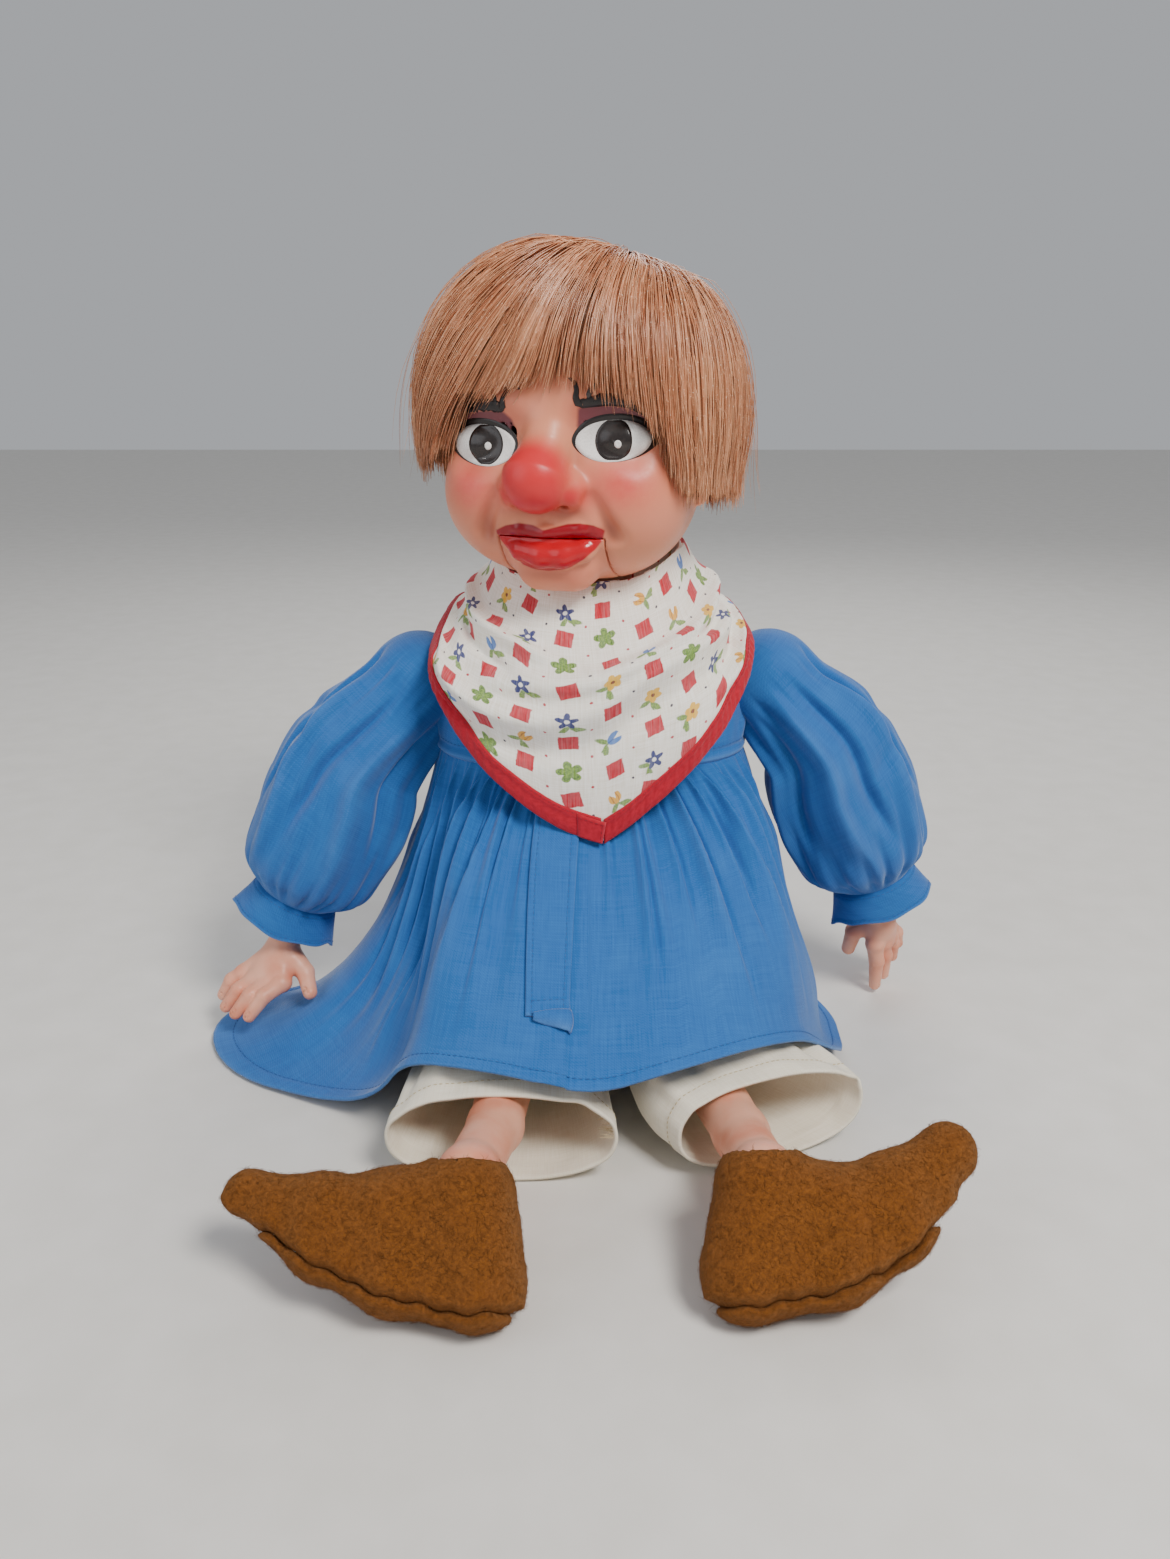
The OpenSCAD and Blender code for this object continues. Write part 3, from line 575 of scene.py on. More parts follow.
# ------------------------------------------------------------------ materials used
def linen_mat(name="blue_linen", base="#2062ac", pitch=0.62, dark="#174b8b", light="#3f80c4", fray=0.5):
    m = Mat(name)
    m.p.inputs["Roughness"].default_value = 0.82
    m.p.inputs["Sheen Weight"].default_value = 0.25
    m.p.inputs["Sheen Roughness"].default_value = 0.45
    m.p.inputs["Specular IOR Level"].default_value = 0.3
    r = m.vec()
    x, y, z = m.sep(r)
    warp = m.noise(m.scale(r, (1.5, 0.05, 1)), 1.0, 2.0)
    weft = m.noise(m.scale(r, (0.05, 1.5, 1)), 1.0, 2.0)
    big = m.noise(m.scale(r, (0.03, 0.03, 1)), 1.0, 3.0)
    fuzz = m.noise(m.scale(r, (3.1, 3.1, 1)), 1.0, 3.0)
    h = m.weave(x + (weft - 0.5) * 0.5, y + (warp - 0.5) * 0.5, pitch)
    slub = (warp + weft) * 0.5
    c = m.mix(m.lr(slub, 0.34, 0.66), dark, light)
    c = m.mix(0.66, c, base)
    c = m.mix(m.sm(h, 0.1, 0.75, 0.35, 0.0), c, dark)
    c = m.mix(m.sm(big, 0.45, 0.75, 0.0, 0.22), c, light)
    c = m.mix(m.sm(fuzz, 0.62, 0.8, 0.0, 0.3), c, "#78abdf")
    w = m.val("wear")
    c = m.mix(m.mn(m.mx(w * (fuzz * 0.8 + 0.05), 0.0), 1.0), c, "#6fa2da")
    n = m.bump(h * 0.6 + slub * 0.9 + fuzz * 0.3, 0.35, 0.0004)
    return m.out(c, m.lr(fuzz, 0.3, 0.7, 0.76, 0.9), n)


def cotton_mat(name="cream_cotton", base="#efe7d3", dark="#d8cdb2", light="#fbf7ec", pitch=0.42):
    m = Mat(name)
    m.p.inputs["Sheen Weight"].default_value = 0.12
    m.p.inputs["Specular IOR Level"].default_value = 0.3
    r = m.vec()
    x, y, z = m.sep(r)
    warp = m.noise(m.scale(r, (1.9, 0.08, 1)), 1.0, 2.0)
    weft = m.noise(m.scale(r, (0.08, 1.9, 1)), 1.0, 2.0)
    big = m.noise(m.scale(r, (0.025, 0.025, 1)), 1.0, 3.0)
    h = m.weave(x, y, pitch)
    c = m.mix(m.lr((warp + weft) * 0.5, 0.35, 0.65), dark, light)
    c = m.mix(0.62, c, base)
    c = m.mix(m.sm(h, 0.1, 0.7, 0.22, 0.0), c, dark)
    c = m.mix(m.sm(big, 0.5, 0.8, 0.0, 0.3), c, dark)
    n = m.bump(h * 0.5 + (warp + weft) * 0.5, 0.28, 0.0003)
    return m.out(c, 0.86, n)


def felt_mat(name="brown_felt"):
    m = Mat(name)
    m.p.inputs["Sheen Weight"].default_value = 0.16
    m.p.inputs["Sheen Roughness"].default_value = 0.5
    m.p.inputs["Sheen Tint"].default_value = (0.85, 0.55, 0.28, 1.0)
    m.p.inputs["Specular IOR Level"].default_value = 0.15
    r = m.vec()
    a = m.noise(r, 0.55, 6.0, 0.72, 0.6)
    b = m.noise(r, 2.6, 4.0, 0.7, 1.5)
    d = m.noise(r, 0.06, 3.0)
    c = m.mix(m.lr(a, 0.32, 0.68), "#5c3410", "#8c5422")
    c = m.mix(m.sm(b, 0.56, 0.72, 0.0, 0.7), c, "#ab7238")
    c = m.mix(m.sm(b, 0.44, 0.28, 0.0, 0.55), c, "#4a270d")
    c = m.mix(m.sm(d, 0.45, 0.75, 0.0, 0.25), c, "#7e4719")
    n = m.bump(a * 0.8 + b * 0.6, 0.75, 0.0012)
    return m.out(c, 0.95, n)


def vinyl_mat(name, base="#e2a286", face=False):
    m = Mat(name)
    m.p.inputs["Subsurface Weight"].default_value = 0.12
    m.p.inputs["Subsurface Scale"].default_value = 0.003
    m.p.inputs["Subsurface Radius"].default_value = (1.0, 0.4, 0.25)
    m.p.inputs["Specular IOR Level"].default_value = 0.42
    r = m.vec()
    mott = m.noise(r, 0.045, 3.0)
    fine = m.noise(r, 0.9, 3.0)
    c = m.mix(m.sm(mott, 0.35, 0.7), base, "#dc8a6c")
    c = m.mix(m.sm(fine, 0.6, 0.85, 0.0, 0.12), c, "#f0bda2")
    rough = m.lr(fine, 0.3, 0.7, 0.36, 0.48)
    if face:
        bl, ns, painted_shade, lp = m.val("blush"), m.val("nose"), m.val("shade"), m.val("lip")
        sp = m.noise(r, 0.35, 2.0)
        c = m.mix(m.mn(bl * (sp * 0.5 + 0.75), 1.0), c, "#d6584c")
        # painted shade: the shade attribute darkens the face toward brown-red in creases, hollows and under the nose
        c = m.mix(m.mn(painted_shade, 0.85), c, "#8a3d33")
        c = m.mix(m.mn(ns * 1.35, 1.0), c, "#d02c30")
        lid = m.val("lid")
        c = m.mix(m.sm(lid, 1.1, -0.9, 0.0, 0.92), c, m.mix(m.sm(m.val("lidtone"), 0.0, 1.0), "#67303f", "#45283a"))
        # lip colour from crimson toward dark crimson; the darker upper lip and the lower lip's underside are painted
        # shade
        lipc = m.mix(m.val("lip_painted_shade"), "#c4121f", "#6e0a1c")
        ed = m.sm(lp, 0.45, -0.45)
        c = m.mix(ed, c, lipc)
        rough = m.mn(rough, m.lr(ed, 0.0, 1.0, 0.6, 0.2))
        rough = m.mn(rough, m.lr(m.mn(ns, 1.0), 0.0, 1.0, 0.6, 0.34))
    n = m.bump(fine, 0.05, 0.0003)
    return m.out(c, rough, n)


def paint_mat(name, color, rough=0.35, var=None):
    m = Mat(name)
    r = m.vec()
    f = m.noise(r, 1.4, 3.0)
    c = m.mix(m.lr(f, 0.3, 0.7), color, var or color)
    return m.out(c, m.lr(f, 0.3, 0.7, rough - 0.05, rough + 0.1), m.bump(f, 0.08, 0.0002))


def iris_mat():
    m = Mat("paint_iris")
    r = m.vec()
    f = m.noise(r, 0.8, 4.0)
    c = m.mix(m.lr(f, 0.3, 0.7), "#2c2422", "#1f1a19")
    # painted reflection: a lighter grey patch on the glossy black iris
    c = m.mix(m.mn(m.val("iris_painted_reflection") * 0.55, 1.0), c, "#6a6562")
    return m.out(c, 0.24, m.bump(f, 0.05, 0.0002))


def hair_mat(name="hair", dark=False):
    m = Mat(name)
    m.p.inputs["Specular IOR Level"].default_value = 0.55
    m.p.inputs["Coat Weight"].default_value = 0.08
    m.p.inputs["Coat Roughness"].default_value = 0.15
    r = m.vec()
    h = m.val("shade")
    k = m.noise(r, 0.25, 3.0)
    g = m.noise(r, 1.6, 2.0)
    c = m.mix(m.lr(h, 0.0, 1.0), "#a25c38", "#e8ae84")
    c = m.mix(m.sm(k, 0.4, 0.7, 0.0, 0.45), c, "#c87a52")
    # painted highlight: pale cream speckles where the fine noise peaks
    c = m.mix(m.sm(g, 0.62, 0.72, 0.0, 0.75), c, "#ffe0c2")
    # painted shade: the copy for the hair underneath is mixed 30% toward dark brown
    if dark:
        c = m.mix(0.30, c, "#7d4429")
    return m.out(c, m.lr(g, 0.3, 0.7, 0.24, 0.42), None)


def wood_mat():
    m = Mat("control_wood")
    o = m.obj()
    x, y, z = m.sep(o)
    rings = m.noise(m.scale(o, (300, 300, 22)), 1.0, 3.0, 0.6, 0.4)
    pores = m.noise(m.scale(o, (1500, 1500, 60)), 1.0, 2.0)
    c = m.mix(m.lr(m.sin(rings * 26.0), -1, 1), "#b98a54", "#d8b27c")
    c = m.mix(m.sm(pores, 0.58, 0.75, 0.0, 0.6), c, "#7b5228")
    return m.out(c, m.lr(pores, 0.3, 0.7, 0.42, 0.62), m.bump(pores, 0.2, 0.0003))


def steel_mat():
    m = Mat("steel", Metallic=1.0)
    o = m.obj()
    s = m.noise(m.scale(o, (900, 900, 90)), 1.0, 3.0)
    return m.out(m.mix(m.lr(s, 0.3, 0.7), "#8d9094", "#c2c5c9"), m.lr(s, 0.3, 0.7, 0.22, 0.42), m.bump(s, 0.08, 0.0002))


def nylon_mat():
    m = Mat("neck_nylon")
    o = m.obj()
    s = m.noise(o, 260, 3.0)
    t = m.noise(m.scale(o, (60, 60, 1500)), 1.0, 2.0)
    return m.out(m.mix(m.lr(s, 0.3, 0.7), "#dcdcd6", "#f0f0ea"), m.lr(s, 0.3, 0.7, 0.4, 0.55), m.bump(t + s, 0.12, 0.0002))


def print_mat():
    """Off-white cotton with a staggered print of red squares and small flowers."""
    m = Mat("print_cotton")
    m.p.inputs["Sheen Weight"].default_value = 0.1
    m.p.inputs["Specular IOR Level"].default_value = 0.3
    r = m.vec()
    x, y, z = m.sep(r)
    warp = m.noise(m.scale(r, (1.9, 0.08, 1)), 1.0, 2.0)
    weft = m.noise(m.scale(r, (0.08, 1.9, 1)), 1.0, 2.0)
    h = m.weave(x, y, 0.42)
    wob = m.noise(r, 0.55, 1.0) - 0.5
    x, y = x + wob * 0.7, y + (m.noise(m.vadd(r, (31.0, 7.0, 0.0)), 0.55, 1.0) - 0.5) * 0.7
    CX, CY = 14.6, 12.0
    gx, gy = x / CX, y / CY
    ix, iy = m.floor(gx), m.floor(gy)
    par = m.fract((ix + iy) * 0.5) * 2.0
    par = m.gt(par, 0.5)
    h1 = m.white(m.comb(ix + 0.5, iy + 0.5, 1.5))
    h2 = m.white(m.comb(ix + 0.5, iy + 0.5, 7.5))
    h3 = m.white(m.comb(ix + 0.5, iy + 0.5, 13.5))
    px, py = (m.fract(gx) - 0.5) * CX, (m.fract(gy) - 0.5) * CY
    px, py = px + (h2 - 0.5) * 1.6, py + (h3 - 0.5) * 1.6
    white = m.mix(m.lr((warp + weft) * 0.5, 0.35, 0.65), "#e6dfd0", "#fbf8f1")
    white = m.mix(m.sm(h, 0.1, 0.7, 0.15, 0.0), white, "#cfc6b4")

    def edge(d, w=0.16):
        return m.sm(d, w, -w)
    # red square, a little turned
    an = (h2 - 0.5) * 0.55
    ca, sa = m.cos(an), m.sin(an)
    qx, qy = px * ca + py * sa, py * ca - px * sa
    sq = m.mx(m.abs(qx), m.abs(qy)) - 3.15
    # motif frame, turned by a hash
    am = (h1 - 0.5) * 2.4
    ca, sa = m.cos(am), m.sin(am)
    u, v = (px * ca + py * sa) * 0.86, (py * ca - px * sa) * 0.86

    def ellp(cx, cy, a, b, rot=0.0):
        dx, dy = u - cx, v - cy
        if rot:
            dx, dy = dx * math.cos(rot) + dy * math.sin(rot), dy * math.cos(rot) - dx * math.sin(rot)
        return (m.sqrt((dx / a) * (dx / a) + (dy / b) * (dy / b)) - 1.0) * min(a, b)
    rr = m.sqrt(u * u + v * v)
    th = m.math("ARCTAN2", v, u)
    star = rr - (m.cos(th * 5.0) * 0.85 + 2.35)
    petals = rr - (m.abs(m.cos(th * 2.5)) * 1.0 + 1.9)
    leafb = rr - (m.abs(m.cos(th * 2.5 + 0.6)) * 1.9 + 1.9)
    bud = m.mx(ellp(0.0, -0.4, 2.1, 2.5), m.abs(u) * -1.1 + m.abs(m.abs(u) - 0.9) * 1.6 - v - 1.25)
    bend = u - (v - 1.0) * (v - 1.0) * 0.09
    stem = m.mx(m.abs(bend) - 0.34, m.mx(v - 5.2, 1.0 - v))
    leaves = m.mn(ellp(1.9, 3.9, 2.2, 0.9, 0.5), ellp(-1.6, 3.2, 2.1, 0.85, -0.7))
    green = m.mn(stem, leaves)
    dot = m.sqrt(u * u + v * v) - 0.75
    k0 = m.lt(h3, 0.26)
    k1 = m.lt(h3, 0.46) * m.gt(h3, 0.26)
    k2 = m.lt(h3, 0.66) * m.gt(h3, 0.46)
    k3 = m.lt(h3, 0.82) * m.gt(h3, 0.66)
    k4 = m.gt(h3, 0.82)
    grn = m.mix(m.sm(m.noise(r, 1.3, 1.0), 0.4, 0.6), "#7fa03a", "#5c8230")
    cm = white
    flower = 1.0 - k3
    cm = m.mix(edge(green) * flower * 0.95, cm, grn)
    cm = m.mix(edge(star) * k0, cm, "#2c3570")
    cm = m.mix(edge(dot) * k0, cm, "#f4f1ea")
    cm = m.mix(edge(bud) * k1, cm, "#4e79bd")
    cm = m.mix(edge(m.abs(u * 1.0) - 0.18) * edge(bud) * k1, cm, "#2f4f93")
    cm = m.mix(edge(bud) * k2, cm, "#e2a52c")
    cm = m.mix(edge(m.abs(m.abs(u) - 0.9) - 0.15) * edge(bud) * k2, cm, "#a9661a")
    cm = m.mix(edge(leafb) * k3, cm, grn)
    cm = m.mix(edge(m.abs(leafb + 0.9) - 0.14) * k3, cm, "#3f6122")
    cm = m.mix(edge(petals) * k4, cm, "#e6b234")
    cm = m.mix(edge(dot + 0.1) * k4, cm, "#7c3a17")
    cs = m.mix(edge(sq, 0.2), white, m.mix(m.sm(m.noise(r, 0.5, 2.0), 0.35, 0.65), "#b30f22", "#c41a2e"))
    c = m.mix(par, cs, cm)
    # small dots at the cell corners
    dx, dy = (m.fract(gx + 0.5) - 0.5) * CX, (m.fract(gy + 0.5) - 0.5) * CY
    hd = m.white(m.comb(m.floor(gx + 0.5) + 0.5, m.floor(gy + 0.5) + 0.5, 3.5))
    dd = m.sqrt(dx * dx + dy * dy) - 0.52
    c = m.mix(edge(dd, 0.12), c, m.mix(m.gt(hd, 0.5), "#b32a35", "#3a3340"))
    c = m.mix(m.lr(warp, 0.3, 0.7, 0.0, 0.12), c, "#ffffff")
    n = m.bump(h * 0.5 + (warp + weft) * 0.5, 0.28, 0.0003)
    return m.out(c, 0.86, n)


def binding_mat():
    m = Mat("red_binding")
    m.p.inputs["Sheen Weight"].default_value = 0.15
    m.p.inputs["Specular IOR Level"].default_value = 0.3
    r = m.vec()
    x, y, z = m.sep(r)
    a, b = (x + y) * 0.7071, (x - y) * 0.7071
    h = m.weave(a, b, 0.42)
    s = m.noise(m.scale(r, (0.5, 0.5, 1)), 1.0, 3.0)
    c = m.mix(m.lr(s, 0.3, 0.7), "#a50b21", "#bd1830")
    c = m.mix(m.sm(h, 0.1, 0.7, 0.4, 0.0), c, "#8c0f22")
    w = m.val("wear")
    c = m.mix(m.mn(w * 0.5, 0.6), c, "#dd5563")
    return m.out(c, 0.8, m.bump(h * 0.5 + s * 0.3, 0.3, 0.0003))


def thread_mat(name, c1, c2):
    m = Mat(name)
    r = m.obj()
    f = m.noise(r, 1500, 2.0)
    return m.out(m.mix(m.lr(f, 0.3, 0.7), c1, c2), 0.7, m.bump(f, 0.3, 0.0002))


M = {
    "linen": linen_mat(),
    "linen_in": linen_mat("blue_linen_inside", "#2a68a8", dark="#1c4f8c", light="#4b86c0"),
    "cotton": cotton_mat(),
    "muslin": cotton_mat("body_cloth", "#d8c8a8", "#bda983", "#ece0c6", 0.8),
    "felt": felt_mat(),
    "face": vinyl_mat("head_vinyl", "#da8b69", True),
    "vinyl": vinyl_mat("hand_vinyl", "#e8a98e"),
    "leg": vinyl_mat("leg_vinyl", "#e5a78c"),
    "black": paint_mat("paint_black", "#1b1616", 0.32, "#2a2423"),
    "grey": paint_mat("paint_grey", "#5d5552", 0.45, "#3c3533"),
    "white": paint_mat("paint_white", "#dfdcd8", 0.3, "#f2f0ec"),
    "iris": iris_mat(),
    "hair": hair_mat(),
    # a darker copy of the hair with painted shade, for the hair underneath
    "hair_painted_shade": hair_mat("hair_under", True),
    "wood": wood_mat(),
    "steel": steel_mat(),
    "nylon": nylon_mat(),
    "print": print_mat(),
    "binding": binding_mat(),
    "t_blue": thread_mat("thread_blue", "#1c4a86", "#2a61a4"),
    "t_cream": thread_mat("thread_cream", "#b9a67c", "#d4c39b"),
    "t_red": thread_mat("thread_red", "#7c0d1e", "#9e1b2e"),
    "t_brown": thread_mat("thread_brown", "#3d2410", "#5a3719"),
}

for node, key in {"jaw_frame": "wood", "jaw_pin": "steel", "jaw_spring": "steel", "mechanism_frame": "wood",
                  "neck_ball": "wood", "control_post": "wood", "lever_pin": "steel", "thumb_lever": "wood",
                  "push_rod": "steel", "neck_slip_ring": "nylon", "neck_socket": "nylon",
                  "shoulder_board": "wood"}.items():
    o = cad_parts[node]
    o.data.materials.clear()
    o.data.materials.append(M[key])

# ------------------------------------------------------------------ shared frame of the head
NECK = V3([0, 18, 222])
YAW = math.radians(-15)
RZ = np.array([[math.cos(YAW), -math.sin(YAW), 0], [math.sin(YAW), math.cos(YAW), 0], [0, 0, 1]])


def hw(p):
    """Head's own frame to the row frame."""
    return V3(p) @ RZ.T + NECK


def skull(p, g=0.0):
    q = p - V3([0, -19, 96])
    a = 57.0 + g
    b = np.where(q[:, 1] < 0, 55.0, 57.0) + g
    c = np.where(q[:, 2] > 0, 71.0, 72.0) + g
    r = np.maximum(np.linalg.norm(q, axis=1), 1e-6)
    dz = q[:, 2] / r
    e = np.where(dz > 0, 2.4, 2.4 + 0.6 * np.minimum(1, -2.5 * dz))
    k = ((np.abs(q[:, 0]) / a) ** e + (np.abs(q[:, 1]) / b) ** e + (np.abs(q[:, 2]) / c) ** e) ** (1 / e)
    return r * (1 - 1 / np.maximum(k, 1e-6))


def face_out(p):
    """Outer face: skull, cheeks, brows, eyes, nose, the mound round the mouth and chin; the lips are added in full_out
    and jaw_f.
    """
    f = skull(p)
    f = smin(f, ball(p, [29, -48, 64], 25.2), 12)
    f = smin(f, ball(p, [-29, -48, 64], 25.2), 12)
    f = smin(f, ball(p, [0, -53, 50], 19), 12)
    f = smin(f, cap(p, [-8, -60, 33], [8, -60, 33], 9.5, 9.5), 9)
    f = smin(f, cap(p, [12, -66, 105], [42, -55, 101], 6.5, 6.0), 8)
    f = smin(f, cap(p, [-12, -66, 104], [-42, -55, 99], 6.5, 6.0), 8)
    # hollows beside the bridge and over the eyes, then the eyes themselves
    f = smax(f, -cap(p, [15, -84, 94], [40, -76, 92], 11.5, 13), 7)
    f = smax(f, -cap(p, [-15, -84, 92], [-40, -76, 89], 11.5, 13), 7)
    f = smin(f, ell(p, [27.5, -55.5, 90.2], [17.5, 14.5, 11.5]), 1.6)
    f = smin(f, ell(p, [-30.5, -54.5, 87.6], [17.5, 14.5, 11.5]), 1.6)
    # nose
    f = smin(f, cap(p, [0, -67, 104], [-1, -71, 88], 6, 9), 7)
    f = smin(f, cap(p, [-1, -72, 88], [-3, -80, 75], 9, 15), 5)
    f = smin(f, ball(p, [10, -74.5, 69.5], 8.0), 4)
    f = smin(f, ball(p, [-14, -74.5, 69.5], 8.0), 4)
    f = smax(f, -cap(p, [8.5, -80, 60.5], [7, -74, 66], 2.6, 2.2), 1.6)
    f = smax(f, -cap(p, [-12.5, -80, 60.5], [-11, -74, 66], 2.6, 2.2), 1.6)
    # folds from the nose wings to the mouth corners
    f = smax(f, -cap(p, [20, -76.0, 66], [29, -70.0, 50], 1.6, 2.6), 6)
    f = smax(f, -cap(p, [-24, -76.0, 66], [-31, -69.0, 50], 1.6, 2.6), 6)
    f = smax(f, -cap(p, [-0.5, -76.5, 60], [-0.5, -75, 56], 2.4, 2.6), 3)
    return f


def upper_lip(p):
    L = [[-25, -66.2, 51.2, 1.6], [-14, -70.6, 52.6, 3.5], [-2, -72.0, 51.0, 3.1], [14, -70.9, 53.2, 3.5],
         [24, -66.4, 52.6, 1.6]]
    f = None
    for a, b in zip(L[:-1], L[1:]):
        g = cap(p, a[:3], b[:3], a[3], b[3])
        f = g if f is None else smin(f, g, 1.5)
    return f


def lower_lip(p):
    L = [[-23.6, -65.8, 47.5, 1.8], [-14, -68.8, 42.8, 5.0], [-4, -70.6, 41.0, 6.2], [6, -70.6, 41.2, 6.2],
         [15, -69.0, 43.6, 5.0], [23.6, -66.0, 49, 1.8]]
    f = None
    for a, b in zip(L[:-1], L[1:]):
        g = cap(p, a[:3], b[:3], a[3], b[3])
        f = g if f is None else smin(f, g, 1.5)
    return f


def ear(p, s):
    f = cap(p, [s * 55, -12, 62], [s * 58.5, -8, 78], 4.6, 6.4)
    f = smin(f, cap(p, [s * 58.5, -8, 78], [s * 57.5, -7, 90], 6.4, 6.6), 2)
    return smax(f, -cap(p, [s * 66, -10, 70], [s * 67, -8, 86], 3.4, 4.6), 2)


def full_out(p):
    f = smin(face_out(p), upper_lip(p), 1.2)
    f = smin(f, smin(ear(p, 1), ear(p, -1), 0.1), 3)
    r = np.linalg.norm(p[:, :2], axis=1)
    tube = np.maximum(r - 20.5, np.maximum(2 - p[:, 2], p[:, 2] - 36))
    return smin(f, tube, 3)


def head_f(p):
    f = full_out(p)
    r = np.linalg.norm(p[:, :2], axis=1)
    bore = np.maximum(r - 17.2, p[:, 2] - 42)
    inner = np.minimum(skull(p, -3.0), bore)
    f = np.maximum(f, -inner)
    slot = np.maximum(np.abs(p[:, 0]) - 24.2, np.maximum(p[:, 2] - 49.0, p[:, 1] + 22))
    return np.maximum(f, -slot)


def jaw_f(p):
    f = smin(face_out(p), lower_lip(p), 1.4)
    f = np.maximum(f, -skull(p, -3.0))
    floor = np.maximum(np.maximum(skull(p, -1.5), np.abs(p[:, 2] - 46.2) - 2.0), p[:, 1] + 52)
    f = np.minimum(f, floor)
    blk = np.maximum(np.abs(p[:, 0]) - 24.0, np.maximum(p[:, 2] - 48.62, p[:, 1] + 40))
    return np.maximum(f, blk)


def poly_sd(x, z, P):
    """Signed distance to polygon P in the x, z plane, negative inside."""
    P = V3(P)
    d = np.full(len(x), 1e9)
    ins = np.zeros(len(x), bool)
    for a, b in zip(P, np.roll(P, -1, 0)):
        e = b - a
        wx, wz = x - a[0], z - a[1]
        t = np.clip((wx * e[0] + wz * e[1]) / max(e @ e, 1e-9), 0, 1)
        d = np.minimum(d, np.hypot(wx - t * e[0], wz - t * e[1]))
        c = ((a[1] > z) != (b[1] > z)) & (x < a[0] + (z - a[1]) * e[0] / (e[1] if abs(e[1]) > 1e-9 else 1e-9))
        ins ^= c
    return np.where(ins, -d, d)


LIPS = [(-25.4, 51.0), (-20, 53.6), (-13.5, 55.0), (-7, 54.4), (-1.8, 52.4), (4, 54.0), (9, 55.4), (14.5, 55.8), (20, 55.0),
        (24.6, 52.8), (23.6, 48.5), (20.5, 44.2), (15.8, 40.0), (10, 36.4), (5, 34.8), (-1, 34.0), (-7, 34.3), (-13.3, 36),
        (-17, 38.6), (-20.6, 42.6), (-23.8, 47.0)]
LID_R = [(12.6, 96.0), (13.6, 103.4), (20, 104.4), (27, 104.6), (34.5, 103.4), (40, 100.2), (44.4, 96.8), (49.4, 91.0),
         (45.8, 89.0), (42, 91), (36, 97), (30, 98), (21, 96.6), (14.5, 92.5)]
LID_L = [(-14.4, 92.5), (-16.6, 98.5), (-20, 101.4), (-26, 101.8), (-34, 101.4), (-40, 99.6), (-45.5, 96), (-50.5, 89),
         (-48, 86.5), (-44, 90), (-38, 94.5), (-31, 95.4), (-24, 94), (-18, 90.5)]


def face_paint(V):
    x, y, z = V[:, 0], V[:, 1], V[:, 2]
    fr = sstep(y, -38, -52)
    lip = np.where(y < -45, poly_sd(x, z, LIPS), 9.0)
    lid = np.where(y < -30, np.minimum(poly_sd(x, z, LID_R), poly_sd(x, z, LID_L)), 9.0)
    tone = np.clip(sstep(z, 99, 93) * 0.8 + sstep(np.abs(x), 40, 47) * 0.4, 0, 1)
    blush = 0.95 * np.exp(-((x - 33) / 14) ** 2 - ((z - 73) / 12) ** 2) + 0.95 * np.exp(-((x + 36) / 13) ** 2 - ((z - 71) / 13) ** 2)
    blush += 0.35 * np.exp(-((x - 16) / 8) ** 2 - ((z - 101) / 7) ** 2) + 0.35 * np.exp(-((x + 17) / 7) ** 2 - ((z - 99) / 7) ** 2)
    blush += 0.25 * np.exp(-(x / 30) ** 2 - ((z - 32) / 8) ** 2)
    dn = np.linalg.norm((V - V3([-3, -84, 74])) / V3([15.5, 15, 17]), axis=1)
    nose = 0.97 * sstep(dn, 1.35, 0.55)
    nose = np.maximum(nose, 0.75 * np.exp(-((x - 12) / 7) ** 2 - ((z - 68) / 6) ** 2) * sstep(y, -68, -74))
    nose = np.maximum(nose, 0.75 * np.exp(-((x + 16) / 6) ** 2 - ((z - 68) / 6) ** 2) * sstep(y, -68, -74))
    # painted shade: darker at the mouth corners, under the nose wings, under the lower lip, along the jaw slot and in
    # the hollows beside the bridge
    shade = 0.55 * np.exp(-((x - 27) / 4.5) ** 2 - ((z - 53) / 6) ** 2) + 0.6 * np.exp(-((x + 28.5) / 4.5) ** 2 - ((z - 51) / 6.5) ** 2)
    shade += 0.55 * np.exp(-((x - 7) / 9) ** 2 - ((z - 60.5) / 2.6) ** 2) * sstep(y, -68, -72) + 0.5 * np.exp(-((x + 10) / 8) ** 2 - ((z - 60) / 2.4) ** 2) * sstep(y, -68, -72)
    shade += 0.3 * np.exp(-(x / 17) ** 2 - ((z - 32.0) / 2.6) ** 2)
    shade += 0.25 * np.exp(-((np.abs(x - 0.5) - 24.5) / 2.2) ** 2) * sstep(z, 52, 40) * sstep(z, 22, 30)
    shade += 0.28 * np.exp(-((x - 13.0) / 4.0) ** 2 - ((z - 86) / 8) ** 2) + 0.28 * np.exp(-((x + 15.5) / 4.0) ** 2 - ((z - 84) / 8) ** 2)
    # painted shade on the lips: the upper lip, in the nose's shadow, is much darker, and the lower lip darkens toward
    # its underside
    lt = np.where(z > 48.9, 0.62, 0.12 + 0.35 * sstep(z, 38, 34.5))
    return {"rest": V, "lip": lip, "lid": lid, "lidtone": tone, "blush": blush * fr, "nose": nose, "shade": shade * fr,
            "lip_painted_shade": lt}


H_H = 1.12
V, F = nets(head_f, [-70, -100, -2], [70, 44, 172], H_H)
head = make("head_vinyl_shell", hw(V), [F], M["face"], "head", face_paint(V))
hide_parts("head_shell")
V, F = nets(jaw_f, [-27, -90, 18], [27, -36, 52], 0.7)
jaw = make("jaw_vinyl", hw(V), [F], M["face"], "jaw", face_paint(V))
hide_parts("jaw")


# ------------------------------------------------------------------ painted features, laid on the face as thin paint
def on_face(x, z, f=full_out):
    x, z = np.asarray(x, float).ravel(), np.asarray(z, float).ravel()
    y = np.full(len(x), -104.0)
    for _ in range(70):
        P = np.stack([x, y, z], 1)
        d = f(P)
        y = y + np.clip(d * 0.75, -3, 6)
    P = np.stack([x, y, z], 1)
    return P, grad(f, P)


